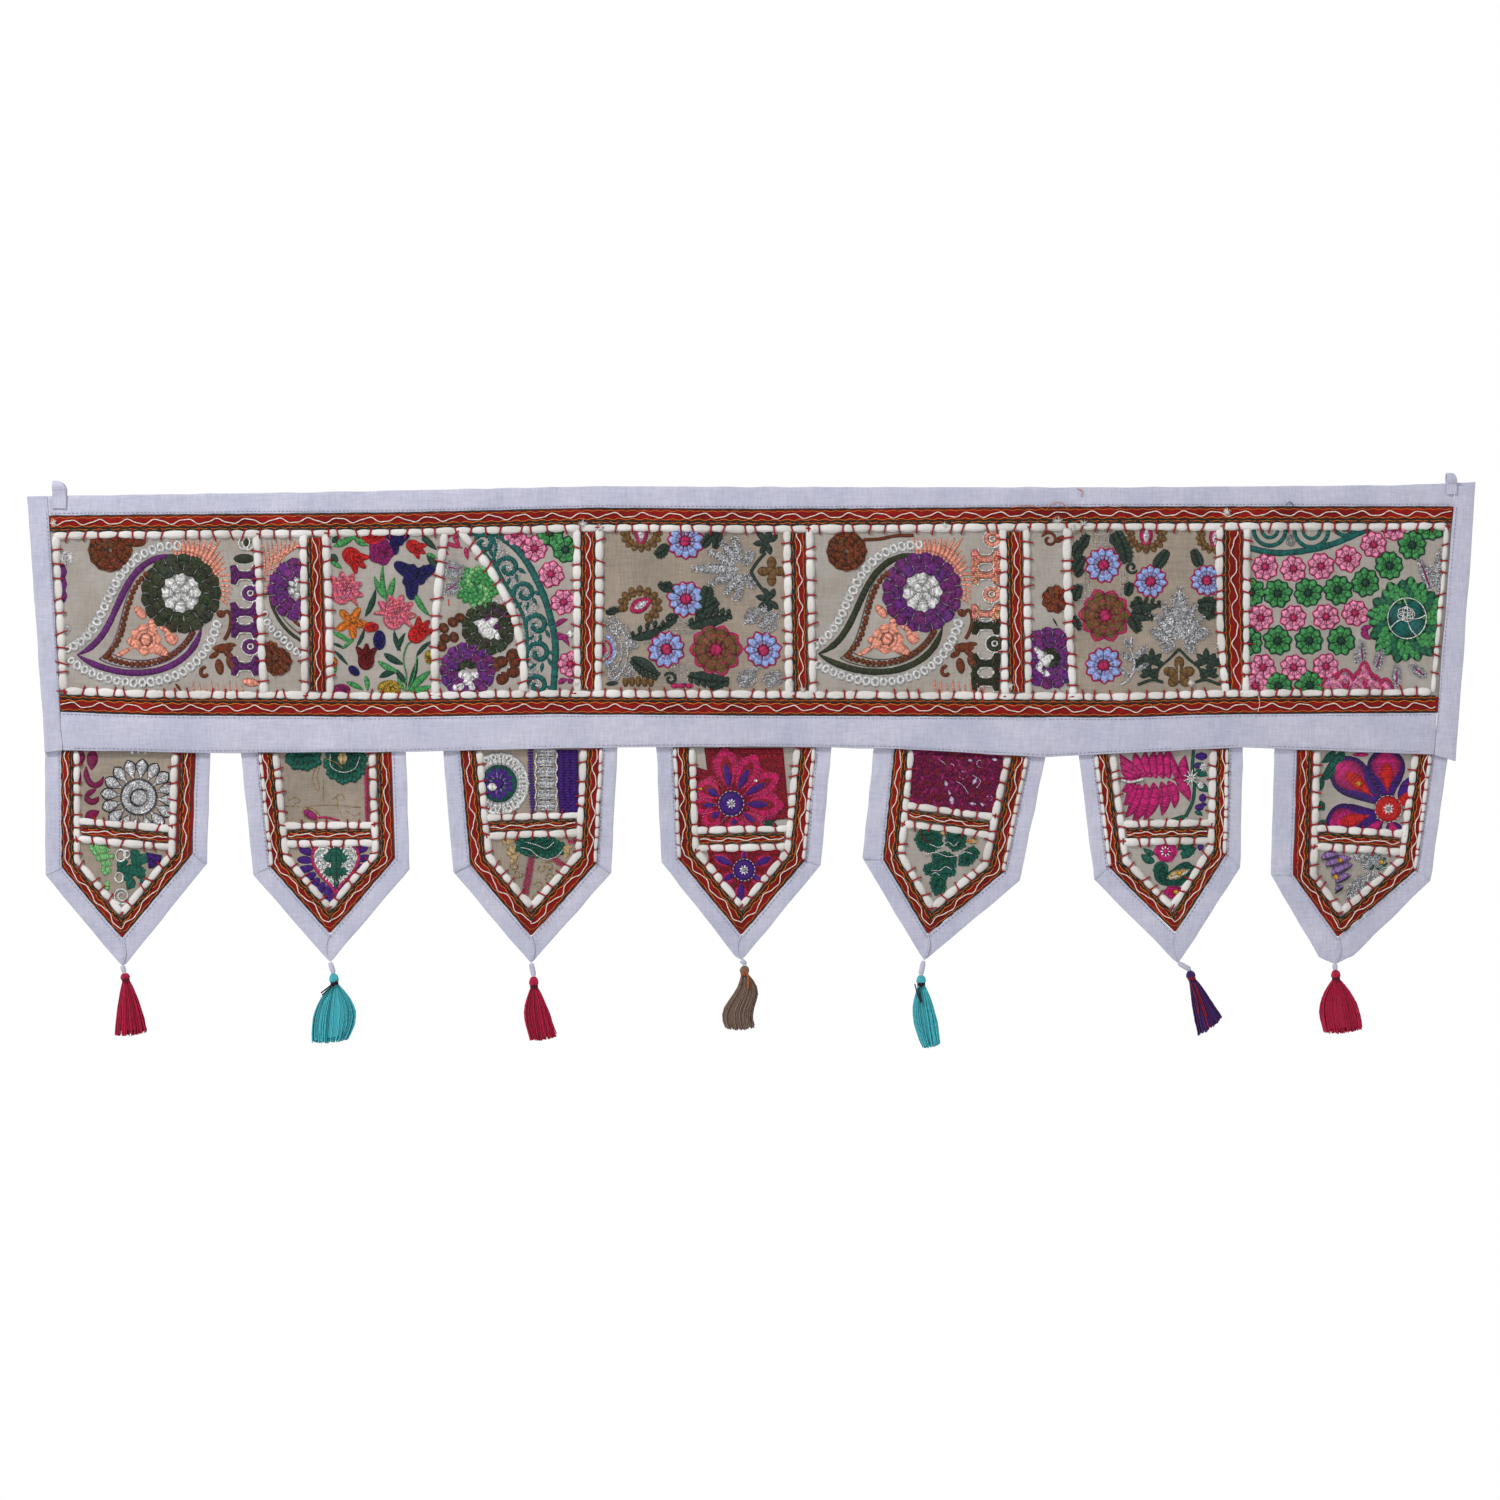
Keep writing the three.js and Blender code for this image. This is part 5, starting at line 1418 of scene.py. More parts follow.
# Outlines of ordinary flowers: the reach at an angle from the way they open.
BLOSSOMS = {
    "tulip": lambda t: np.where(np.abs(t) < 1.05, 0.86 + 0.2 * np.cos(9 * t), 0.62 + 0.1 * np.cos(2 * t)),
    "pink": lambda t: np.where(np.abs(t) < 1.9, 0.86 + 0.16 * np.cos(10 * t), 0.6 + 0.1 * np.cos(2 * t)),
    "star": lambda t: 0.72 + 0.3 * np.cos(5 * t),
    "iris": lambda t: 0.68 + 0.26 * np.cos(3 * t) + 0.12 * np.cos(6 * t + 0.6),
    "round": lambda t: 0.92 + 0.08 * np.cos(5 * t),
    "bud": lambda t: 0.62 / np.sqrt(0.38 * np.cos(t) ** 2 + np.sin(t) ** 2),
}


def patch_c(p):
    flowers = [
        # kind, colour, x, y, radius, turn
        ("tulip", RED, -112, 360, 66, 40), ("bud", RED, -25, 276, 50, 0), ("round", MAGENTA, 5, 338, 56, 0),
        ("iris", NAVY, 66, 292, 56, 100), ("tulip", RED, 142, 318, 50, 30),
        ("iris", NAVY, 138, 440, 92, -20),
        ("pink", PINK, -150, 500, 82, -60), ("pink", PINK, 62, 598, 88, -70),
        ("star", TANGERINE, -118, 628, 68, 10),
        ("bud", RED, -38, 648, 32, 0), ("bud", NAVY, -3, 702, 40, 90), ("tulip", RED, 158, 672, 66, -48),
        ("tulip", CRIMSON, -58, 780, 62, -88), ("bud", NAVY, -108, 828, 26, 40),
        ("bud", MUSTARD, 38, 898, 48, 0),
        ("bud", MUSTARD, 202, 772, 28, 90), ("bud", MAGENTA, -160, 906, 36, 0),
        ("bud", TANGERINE, -192, 792, 22, 90),
    ]
    for kind, colour, x, y, r, turn in flowers:
        t = np.linspace(-pi, pi, 60, endpoint=False)
        a = t + radians(turn)
        reach = r * BLOSSOMS[kind](t)
        p.fill(np.stack([x + reach * np.cos(a), y + reach * np.sin(a)], axis=1), colour, turn + 20,
               length=26)
        for side in (-0.5, 0.1, 0.55):
            b = radians(turn) + side
            p.line([(x, y), polar(x, y, b, 0.7 * r)], 2.4,
                   tuple(0.3 * c for c in colour), lift=0.85)
    leaves = [
        (GREEN, -195, 316, -100, 266, 30), (GREEN, -118, 268, -48, 300, 22),
        (FOREST, -198, 300, -170, 272, 26),
        (GREEN, -104, 292, -44, 312, 16), (FOREST, -206, 348, -172, 376, 34),
        (GREEN, -204, 376, -156, 408, 22),
        (GREEN, 30, 546, 14, 388, 22), (GREEN, 30, 536, -24, 436, 26), (GREEN, 36, 540, 62, 440, 28),
        (FOREST, -62, 604, -18, 490, 26), (GREEN, 140, 500, 206, 602, 26), (FOREST, 192, 350, 238, 424, 30),
        (FOREST, 172, 268, 236, 330, 26), (GREEN, 190, 346, 234, 366, 18),
        (GREEN, -196, 668, -108, 704, 16),
        (FOREST, -198, 716, -150, 736, 14), (GREEN, -160, 738, -104, 690, 16),
        (FOREST, -98, 728, -66, 652, 18),
        (GREEN, -194, 672, -136, 694, 14), (FOREST, -190, 744, -132, 806, 16),
        (GREEN, -140, 874, -68, 908, 22),
        (GREEN, -60, 848, -52, 912, 22), (FOREST, 84, 748, 58, 660, 22), (FOREST, 72, 746, 104, 672, 20),
        (FOREST, 16, 756, 98, 802, 30), (GREEN, -10, 788, 92, 842, 26), (FOREST, -4, 856, 78, 826, 28),
        (FOREST, 60, 824, 112, 890, 24), (GREEN, 120, 912, 214, 826, 32), (GREEN, 124, 916, 216, 890, 30),
        (FOREST, 116, 906, 156, 776, 24), (FOREST, 150, 770, 214, 706, 20), (GREEN, 100, 912, 70, 852, 18),
        (GREEN, -190, 838, -182, 806, 12), (FOREST, 196, 300, 170, 284, 14),
    ]
    for colour, x0, y0, x1, y1, width in leaves:
        p.leaf(x0, y0, x1, y1, width, colour, bend=p.luck.uniform(-0.08, 0.08))
    for stem in ([(104, 912), (108, 850), (96, 780), (110, 726), (128, 708)],
                 [(112, 914), (140, 850), (152, 770)]):
        p.line(stem, 6, GREEN)
    p.line([(-180, 676), (-150, 700), (-110, 706)], 5, GREEN)


def patch_d(p):
    for x0, y0, x1, y1, vein in (
        (258, 380, 342, 402, MAGENTA), (262, 432, 340, 430, None), (258, 512, 334, 486, None),
        (264, 492, 330, 456, PURPLE), (262, 402, 330, 408, None),
    ):
        silver_leaf(p, x0, y0, x1, y1, 26, vein)
    p.leaf(270, 398, 334, 410, 10, MAGENTA, base=0.7)
    p.leaf(268, 502, 328, 462, 10, MAGENTA, base=0.7)
    for x0, y0, x1, y1 in (
        (262, 300, 342, 322), (300, 262, 330, 320), (352, 318, 362, 372), (258, 282, 300, 264),
        (250, 330, 286, 350),
    ):
        p.leaf(x0, y0, x1, y1, 20, ROSE)
    p.blob(402, 482, 74, 80, FOREST_LIGHT, 80, 0.5)
    for k in range(46):
        a, r = 2.4 * k, 84 * sqrt((k + 2) / 48)
        x, y = polar(402, 482, a, r, 1.02 * r)
        p.leaf(x - 16 * cos(a), y - 16 * sin(a), *polar(x, y, a, 16), 26,
               GREEN if k % 4 else LIGHT_GREEN, base=0.75 - 0.008 * k)
    p.line([(282, 532), (284, 560)], 4, RED)
    for k in range(6):
        p.line([(455 + 16 * k, 548 - 8 * k), (475 + 14 * k, 536 + 6 * k)], 5, LOOP_SILVER)
    p.rosette(448, 652, 112, OLIVE, lobes=13, hole=0.42, sparks=SILVER_DARK)
    p.rosette(478, 614, 48, PURPLE, lobes=8, hole=0.3, rings=1)
    p.blobs((
        (420, 636, 38, 24, 20), (462, 628, 34, 22, -30), (446, 668, 44, 30, 30), (480, 682, 30, 20, 60),
    ), LOOP_SILVER, base=0.7)
    for x, y in ((300, 628), (264, 652), (268, 694), (306, 690), (256, 728), (330, 610)):
        p.blob(x, y, 24, 20, BROWN, p.luck.uniform(0, 180), shade=0.7)
        p.line([(x - 16, y), (x, y - 14), (x + 16, y), (x, y + 14)], 3, OLIVE, closed=True, lift=0.8)
    p.rosette(362, 826, 116, PURPLE, lobes=14, hole=0.38, sparks=SILVER_DARK)
    p.rosette(356, 818, 56, OLIVE, lobes=9, hole=0.3, rings=1, span=(180, 360))
    p.blobs((
        (352, 850, 34, 24, 20), (388, 852, 28, 22, -30), (370, 884, 34, 26, 40), (326, 894, 30, 22, -20),
    ), LOOP_SILVER, base=0.7)
    for x, y in ((500, 792), (546, 764), (506, 860), (552, 834), (478, 802), (560, 790)):
        p.blob(x, y, 30, 25, BROWN, p.luck.uniform(0, 180), shade=0.7)
        p.line([(x - 20, y), (x, y - 17), (x + 20, y), (x, y + 17)], 3, OLIVE, closed=True, lift=0.8)
    for x, y in ((492, 836), (528, 812)):
        p.line([(x - 6, y), (x + 8, y + 4)], 5, LOOP_SILVER, lift=1.0)


def teal_spiral(p, x, y, r, turn, hand=1):
    curl(p, x, y, r, TEAL, turn, hand, 22, 1.25)
    for k in range(4):
        a = radians(turn + 200 + 38 * k)
        p.leaf(*polar(x, y, a, 0.8 * r), *polar(x, y, a + 0.3, 1.55 * r), 17, TEAL)
    p.blob(x, y, 8, 7, SILVER_GREY, base=0.3)


def patch_e(p):
    for y in range(300, 900, 44):
        p.scribble(470 + 150 * min(1, (y - 300) / 260), y, 36, 26, SILVER_GREY, turns=3, width=3.4,
                   lift=0.1)
    p.satin([
        (330, 262), (400, 256), (470, 262), (560, 322), (630, 420), (690, 560), (724, 720), (716, 910),
    ], 29, TEAL)
    p.satin([
        (462, 270), (478, 320), (470, 372), (500, 440), (548, 520), (590, 600), (608, 700), (604, 910),
    ], 15, TEAL)
    p.satin([(372, 300), (430, 340), (462, 380)], 12, TEAL)
    for x, y, r, turn, hand in (
        (428, 304, 42, 200, 1), (528, 404, 50, 160, 1), (596, 508, 48, 150, 1), (648, 640, 50, 150, 1),
        (656, 756, 52, 150, 1), (650, 890, 46, 160, 1),
    ):
        teal_spiral(p, x, y, r, turn, hand)
    for x, y, r in ((556, 266, 56), (638, 324, 56), (706, 430, 58), (758, 546, 56), (786, 802, 56)):
        simple_flower(p, x, y, r, PINK_PALE, ROSE, ROSE)
    for x, y, r in ((702, 258, 62), (766, 330, 58)):
        simple_flower(p, x, y, r, GREEN, FOREST, FOREST)
    for x0, y0, x1, y1 in (
        (722, 650, 776, 616), (724, 672, 782, 730), (732, 700, 780, 690), (736, 884, 776, 864),
        (776, 880, 800, 868),
    ):
        p.leaf(x0, y0, x1, y1, 24, MAGENTA, bend=0.12)
    p.blob(786, 676, 15, 15, CHALK, base=0.5)


def patch_f(p):
    for box in ((1186, 620, 1300, 680), (1190, 800, 1300, 880), (1086, 690, 1120, 720)):
        mesh_ground(p, *box, 13, SILVER_GREY)
    for x, y, rx, ry in (
        (960, 640, 36, 40), (1000, 700, 44, 70), (960, 830, 34, 44), (1040, 720, 30, 20),
        (940, 780, 20, 30), (1020, 830, 34, 30),
    ):
        p.scribble(x, y, rx, ry, SILVER_GREY, turns=6, width=3, lift=0.3)
    for r in (34, 58, 82):
        p.satin(arc(940, 745, r, 1.5 * r, -80, 81, 20), 9, SILVER_GREY)
    p.satin(arc(924, 744, 44, 60, -80, 81, 20), 16, BLUE)
    p.satin(arc(924, 744, 30, 40, -80, 81, 20), 10, ROSE)
    p.blob(918, 744, 18, 24, ROSE)
    drop_fan(p, 1078, 262, 86, 90, 0, 180)
    drop_fan(p, 1072, 560, 92, -30, -190, 60, 11)
    for x, y in ((1258, 294), (1262, 533), (1182, 740), (1582, 744)):
        blue_pink(p, x, y)
    double_flower(p, 1386, 742)
    silver = [
        (1480, 410, 1286, 406, 40), (1470, 392, 1352, 334, 32), (1476, 380, 1410, 300, 36),
        (1490, 384, 1462, 282, 34), (1470, 424, 1360, 470, 34), (1486, 430, 1424, 512, 34),
        (1490, 428, 1478, 530, 30), (1500, 396, 1536, 340, 30), (1500, 424, 1540, 480, 28),
    ]
    for row in silver:
        silver_leaf(p, *row)
    for x, y, hand in ((1530, 352, 1), (1534, 470, -1), (1466, 296, 1), (1470, 522, -1)):
        curl(p, x, y, 22, SILVER_GREY, 180, hand, 7)
    for x0, y0, x1, y1, width in (
        (1146, 470, 1216, 500, 34), (1166, 500, 1200, 466, 24), (1190, 310, 1140, 350, 40),
        (1030, 694, 1180, 644, 46), (1150, 660, 1230, 600, 30), (1350, 290, 1390, 262, 30),
        (1330, 320, 1366, 270, 34), (1400, 300, 1376, 262, 26), (930, 590, 986, 578, 26),
    ):
        fern(p, x0, y0, x1, y1, 1.25 * width, PINE, 0.08, 5)
    curl(p, 1200, 612, 24, PINE, 90, -1, 12)
    fern(p, 1268, 642, 1452, 596, 70, PINE, 0.05)
    fern(p, 1330, 590, 1352, 486, 66, PINE)
    fern(p, 1300, 600, 1390, 540, 60, PINE)
    fern(p, 1034, 776, 1150, 850, 62, PINE, -0.08)
    curl(p, 1198, 862, 28, PINE, 200, 1, 14)
    fern(p, 1266, 852, 1440, 872, 66, PINE, -0.04)
    fern(p, 1440, 866, 1360, 900, 40, PINE)
    fern(p, 1380, 326, 1400, 260, 40, PINE)
    for x in range(1014, 1140, 26):
        p.blob(x, 872, 14, 24, UMBER, 0, shade=0.6)
    p.leaf(930, 884, 984, 878, 20, PINE)
    for x in (1216, 1244, 1276):
        p.blob(x, 890, 18, 12, ROSE)
    p.blob(1256, 884, 8, 7, PURPLE, base=0.6)
    for x, y, rx, ry in (
        (1540, 600, 40, 34), (1600, 640, 40, 30), (1510, 860, 44, 38), (1620, 860, 44, 30),
        (1590, 590, 34, 20),
    ):
        p.scribble(x, y, rx, ry, SILVER_GREY, turns=7, width=3, lift=0.3)
    for row in (
        (1500, 640, 1590, 560, 26), (1560, 650, 1650, 590, 26), (1480, 900, 1560, 810, 28),
        (1600, 900, 1650, 830, 24),
    ):
        silver_leaf(p, *row)
    for x, y in ((1602, 300), (1610, 536)):
        palmette(p, x, y, 66, 200 if y < 400 else 170, PINE, 6, 240)
    p.satin([(1530, 420), (1556, 380), (1590, 340)], 14, PINE)
    p.satin([(1530, 420), (1560, 470), (1600, 520)], 14, PINE)
    for dx, dy, turn in ((-34, 0, 0), (0, -36, 90), (34, 0, 0), (0, 36, 90), (0, 0, 45)):
        p.blob(1616 + dx, 418 + dy, 26, 20, UMBER, turn, shade=0.6)


def patch_g(p):
    paisley(p, 88, -4, OLIVE, PURPLE, SILVER_DARK)
    p.rosette(440, 335, 84, BROWN, lobes=12, hole=0.12, rings=3, sparks=OLIVE)
    p.satin([(510, 288), (580, 284), (640, 272), (716, 270)], 14, BROWN, chain=True)
    for y, colour in ((366, SALMON), (432, SALMON), (592, SALMON), (640, OLIVE), (796, OLIVE),
                      (872, OLIVE)):
        arch(p, 1014, y, colour)
    snail(p, 1036, 284, SALMON)
    snail(p, 1034, 512, SALMON)
    snail(p, 1046, 716, OLIVE)


def patch_h(p):
    curl(p, 1276, 288, 34, BROWN, 200, 1, 13)
    p.leaf(1300, 300, 1340, 270, 26, BROWN)
    p.rosette(1302, 534, 58, BROWN, lobes=9, hole=0.2, rings=1)
    p.leaf(1290, 610, 1312, 648, 8, OLIVE)
    p.rosette(1278, 776, 128, PURPLE, lobes=15, hole=0.36, sparks=SILVER_DARK)
    p.rosette(1276, 778, 56, OLIVE, lobes=9, hole=0.2, rings=1, span=(-90, 90))
    p.blobs((
        (1232, 756, 34, 22, 60), (1256, 790, 34, 24, -30), (1262, 838, 28, 20, 30),
        (1236, 816, 32, 22, 70), (1278, 772, 20, 15, 0),
    ), LOOP_SILVER, base=0.7)


def patch_i(p):
    for box in ((-60, 420, -40, 560), (-30, 250, 56, 320), (86, 420, 116, 520), (-100, 470, -60, 560)):
        mesh_ground(p, *box, 13, SILVER_GREY)
    drop_fan(p, 190, 268, 86, 90, -10, 190)
    drop_fan(p, 474, 278, 78, 90, 20, 200)
    for x, y, r in ((14, 392, 78), (14, 806, 80), (208, 460, 70), (440, 456, 70)):
        blue_pink(p, x, y, r)
    double_flower(p, 20, 600)
    fern(p, 66, 250, 110, 380, 70, PINE, 0.05)
    fern(p, 52, 260, 60, 300, 40, PINE)
    curl(p, 130, 402, 26, PINE, 20, 1, 13)
    fern(p, 280, 330, 230, 400, 54, PINE)
    fern(p, 384, 326, 410, 392, 50, PINE)
    for row in (
        (120, 560, 250, 556, 40), (126, 590, 216, 612, 40), (120, 600, 156, 666, 40),
        (110, 520, 128, 470, 34), (150, 520, 168, 590, 30), (400, 552, 474, 548, 40),
        (404, 566, 474, 604, 34), (470, 560, 440, 614, 30), (-110, 420, -70, 360, 44),
        (-110, 360, -70, 300, 44), (-100, 440, -74, 410, 30), (-108, 540, -84, 480, 40),
        (-80, 330, -50, 270, 34), (-110, 600, -86, 660, 26),
    ):
        fern(p, *row[:4], 1.25 * row[4], PINE, 0.08, 5)
    silver = [
        (325, 700, 328, 486, 46), (318, 690, 262, 552, 40), (332, 690, 392, 556, 40),
        (312, 700, 226, 596, 36), (338, 700, 424, 604, 36), (325, 640, 300, 520, 30),
        (328, 640, 354, 524, 30), (306, 716, 210, 664, 34), (344, 716, 444, 664, 34),
        (310, 716, 262, 744, 26), (340, 716, 386, 744, 26),
    ]
    for row in silver:
        silver_leaf(p, *row)
    for x, y, hand in ((232, 678, 1), (420, 680, -1), (268, 736, 1), (378, 736, -1)):
        curl(p, x, y, 30, SILVER_GREY, 200 if hand == 1 else -20, hand, 10)
    p.satin([(84, 886), (122, 860), (142, 800), (126, 740), (130, 690)], 12, SILVER_GREY, chain=True)
    for row in (
        (136, 780, 190, 730, 22), (132, 790, 90, 752, 22), (142, 830, 196, 800, 18),
        (130, 740, 100, 700, 18), (120, 850, 84, 820, 20),
    ):
        silver_leaf(p, *row)
    for side in (-1, 1):
        x = 325
        p.satin([(x, 738), (x + side * 40, 780), (x + side * 84, 820), (x + side * 96, 872)], 12, PINE)
        for dx, dy, turn, r in ((112, 800, -90, 66), (124, 852, -90, 52), (150, 810, -100, 56)):
            palmette(p, x + side * dx, dy, r, turn, PINE, 5, 170)
        p.satin([(x + side * 66, 876), (x + side * 110, 866), (x + side * 170, 886)], 13, PINE)
    for dx, dy, turn in ((0, -44, 90), (-38, -8, 10), (38, -8, -10), (-22, 30, -50), (22, 30, 50),
                         (0, 2, 90)):
        p.blob(325 + dx, 840 + dy, 28, 22, UMBER, turn, shade=0.6)
    p.line([(324, 800), (324, 870)], 3.4, LOOP_SILVER, lift=0.9)
    p.line([(470, 712), (490, 722), (476, 738)], 4, LOOP_SILVER)


def patch_j(p):
    pinks = [
        (680, 400), (797, 408), (912, 398), (1022, 366), (1128, 308), (1212, 240), (662, 610), (797, 610),
        (932, 606), (1052, 590), (670, 815), (798, 815), (932, 810), (640, 890),
    ]
    for x, y in pinks:
        simple_flower(p, x, y, 58, PINK_PALE, ROSE, ROSE)
    greens = [
        (622, 505), (732, 510), (858, 508), (982, 495), (1095, 465), (1195, 395), (1288, 310), (1362, 234),
        (612, 710), (732, 705), (862, 705), (995, 705), (735, 892), (865, 888),
    ]
    for x, y in greens:
        simple_flower(p, x, y, 63, GREEN, FOREST, FOREST, petals=9)
    p.blob(1268, 622, 120, 130, FOREST_LIGHT, 90, 0.4)
    for k in range(72):
        a = 2.4 * k
        r = 150 - 66 * (k / 72)
        x, y = polar(1268, 622, a, r, 1.06 * r)
        ends = (x - 30 * cos(a), y - 30 * sin(a), *polar(x, y, a, 26, 28))
        p.leaf(*ends, 46, FOREST, fat=1.2, base=0.1 + 0.008 * k)
        p.leaf(*ends, 32, GREEN if k % 3 else FOREST_LIGHT, fat=1.1, base=0.3 + 0.008 * k)
    for a0 in (-150, -60, 40, 120):
        a = radians(a0)
        p.blob(*polar(1266, 616, a, 40), 42, 46, TEAL, a0, base=1.1)
    p.line(arc(1266, 612, 80, 84), 5, CHALK,
           closed=True, lift=1.8)
    for a in np.radians((-100, -10, 60, 150)):
        p.line([(1266, 612), polar(1266, 612, a + 0.2, 44),
                polar(1266, 612, a, 80, 84)], 5, CHALK, lift=1.9)
    p.scribble(1262, 596, 38, 32, CHALK, turns=5, width=4, lift=1.9)
    p.satin([(600, 318), (720, 342), (850, 332), (970, 302), (1120, 236)], 26, TEAL)
    for x, y, r in ((700, 246, 66), (872, 248, 70), (1010, 226, 44)):
        for share, width in ((1.0, 17), (0.5, 15)):
            p.satin(arc(x, y, share * r, share * r, 0, 181, 20),
                    width, TEAL)
    p.scribble(786, 290, 20, 26, SILVER_DARK, turns=4, lift=0.1)
    for row in (
        (1372, 500, 1316, 370, 36, MAGENTA), (1384, 480, 1402, 330, 30, None),
        (1396, 520, 1436, 360, 34, MAGENTA), (1084, 800, 1080, 706, 30, MAGENTA),
        (1136, 830, 1162, 744, 34, MAGENTA), (1226, 900, 1224, 806, 34, MAGENTA),
        (1350, 856, 1284, 806, 34, MAGENTA), (1056, 800, 1066, 740, 20, None),
        (1376, 486, 1358, 400, 26, None),
    ):
        silver_leaf(p, *row[:5], vein=row[5])
    for row in (
        (1362, 490, 1326, 384), (1404, 500, 1424, 366), (1084, 790, 1078, 722), (1140, 820, 1160, 760),
        (1224, 890, 1226, 820), (1340, 848, 1292, 812),
    ):
        p.leaf(*row, 9, MAGENTA, base=0.9)
    for row in ((1076, 660, 1122, 642), (1076, 668, 1118, 700), (1090, 640, 1100, 700)):
        p.leaf(*row, 26, MAGENTA)
    for k, (x, y, r) in enumerate(((960, 878, 54), (1010, 858, 44), (1090, 852, 50), (1060, 880, 44),
                                   (1130, 880, 40),
                                   (1180, 896, 36), (1092, 826, 26))):
        p.satin([(x - r, y + 22), (x - 0.6 * r, y - 16), (x, y - 34), (x + 0.6 * r, y - 16),
                 (x + r, y + 22)], 14, ROSE)
        p.fill([
            (x - 0.8 * r, y + 22), (x - 0.5 * r, y - 10), (x, y - 24), (x + 0.5 * r, y - 10),
            (x + 0.8 * r, y + 22),
        ], PINK_PALE, 80 + 10 * k)


# The left edge of each enlargement in pixels, the upright pipings on both sides, and what draws it.
BAND_PATCHES = [
    (20, 0, 1, patch_a),
    (20, 1, 2, patch_b),
    (380, 3, 4, patch_c),
    (380, 4, 5, patch_d),
    (380, 5, 6, patch_e),
    (380, 7, 8, patch_f),
    (740, 9, 10, patch_g),
    (740, 11, 12, patch_h),
    (1100, 12, 13, patch_i),
    (1100, 14, 15, patch_j),
]
for number, (x, left, right, draw) in enumerate(BAND_PATCHES, 1):
    patch = Patch(BAND, x, BAND_ROW, BAND_ZOOM, number)
    draw(patch)
    patch.finish(draw.__name__, inside_band(left, right))


def ladder(p, points, width, colour, pitch=11):
    """Rungs of thread across a line."""
    path = along(np.asarray(points, float), pitch)
    for (x, y), (nx, ny) in zip(path, aside(path)):
        half = width / 2 * p.luck.uniform(0.85, 1.1)
        p.line([(x - nx * half, y - ny * half), (x, y), (x + nx * half, y + ny * half)], pitch * 0.62,
               colour)
    p.line(path, 4, colour, lift=0.5)


def teardrop(p, x0, y0, x1, y1, width, outer, middle, core, bead=False):
    """A petal of three colours that widens away from its flower's middle."""
    for share, size, colour, base in ((1.0, 1.0, outer, 0.1), (0.92, 0.76, middle, 0.5),
                                      (0.76, 0.38, core, 0.9)):
        start = 0.0 if share == 1.0 else 0.26
        a = (x0 + (x1 - x0) * start, y0 + (y1 - y0) * start)
        b = (x0 + (x1 - x0) * share, y0 + (y1 - y0) * share)
        p.leaf(*a, *b, width * size, colour, fat=1.7, height=0.6, base=base)
    norm = hypot(x1 - x0, y1 - y0)
    dx, dy = (x1 - x0) / norm, (y1 - y0) / norm
    for s in np.linspace(0.1, 0.95, 13):
        half = 0.43 * width * sin(pi * s**1.7) ** 0.75
        for side in (-1, 1):
            x, y = x0 + (x1 - x0) * s - side * dy * half, y0 + (y1 - y0) * s + side * dx * half
            p.line([(x, y), (x + side * dy * 9, y - side * dx * 9)], 2.2, LILAC if side < 0 else ROSE,
                   lift=0.9)
    if bead:
        x, y = x0 + (x1 - x0) * 0.52, y0 + (y1 - y0) * 0.52
        p.blob(x, y, 15, 13, GOLD, height=1.2, base=1.4)


def jewel(p, x, y, r, colour, stone=22):
    """A round middle with a dashed ring and a cut stone."""
    p.blob(x, y, r, r, colour, height=0.9, base=1.1)
    p.satin(arc(x, y, 0.66 * r, 0.66 * r),
            0.5 * r, colour, closed=True, base=1.3, chain=True)
    for k in range(18):
        a = 2 * pi * k / 18
        p.line([polar(x, y, a, r), polar(x, y, a + 0.2, r)], 4.5, CHALK, lift=1.5)
    for k in range(9):
        a = 2 * pi * k / 9
        p.leaf(x, y, *polar(x, y, a, stone * 1.3), stone * 0.7,
               CHALK if k % 2 else SILVER_GREY, base=1.5)
    p.blob(x, y, stone * 0.5, stone * 0.5, SILVER_DARK, height=0.9, base=2.0)


def lobed(x, y, rx, ry, lobes, turn=0.0):
    """The outline of an ellipse with round lobes, turned clockwise in degrees."""
    t = np.linspace(0, 2 * pi, 6 * lobes, endpoint=False)
    reach = 0.84 + 0.16 * np.abs(np.sin(lobes * t / 2))
    u, w = rx * reach * np.cos(t), ry * reach * np.sin(t)
    return turned(x, y, u, w, radians(turn))


def heart(x, y, wide, tall):
    """The outline of a heart, from the sines of its angle."""
    t = np.linspace(0, 2 * pi, 24, endpoint=False)
    rise = 13 * np.cos(t) - 5 * np.cos(2 * t) - 2 * np.cos(3 * t) - np.cos(4 * t)
    return np.stack([x + wide / 2 * np.sin(t) ** 3, y - tall / 29 * rise], axis=1)


def scallops(p, outline, colour, angle, edge_r=16, pitch=22):
    """A filled shape with a scalloped edge."""
    p.fill(outline, colour, angle, height=0.7)
    p.knots(outline, pitch, edge_r, colour, closed=True, base=0.1)


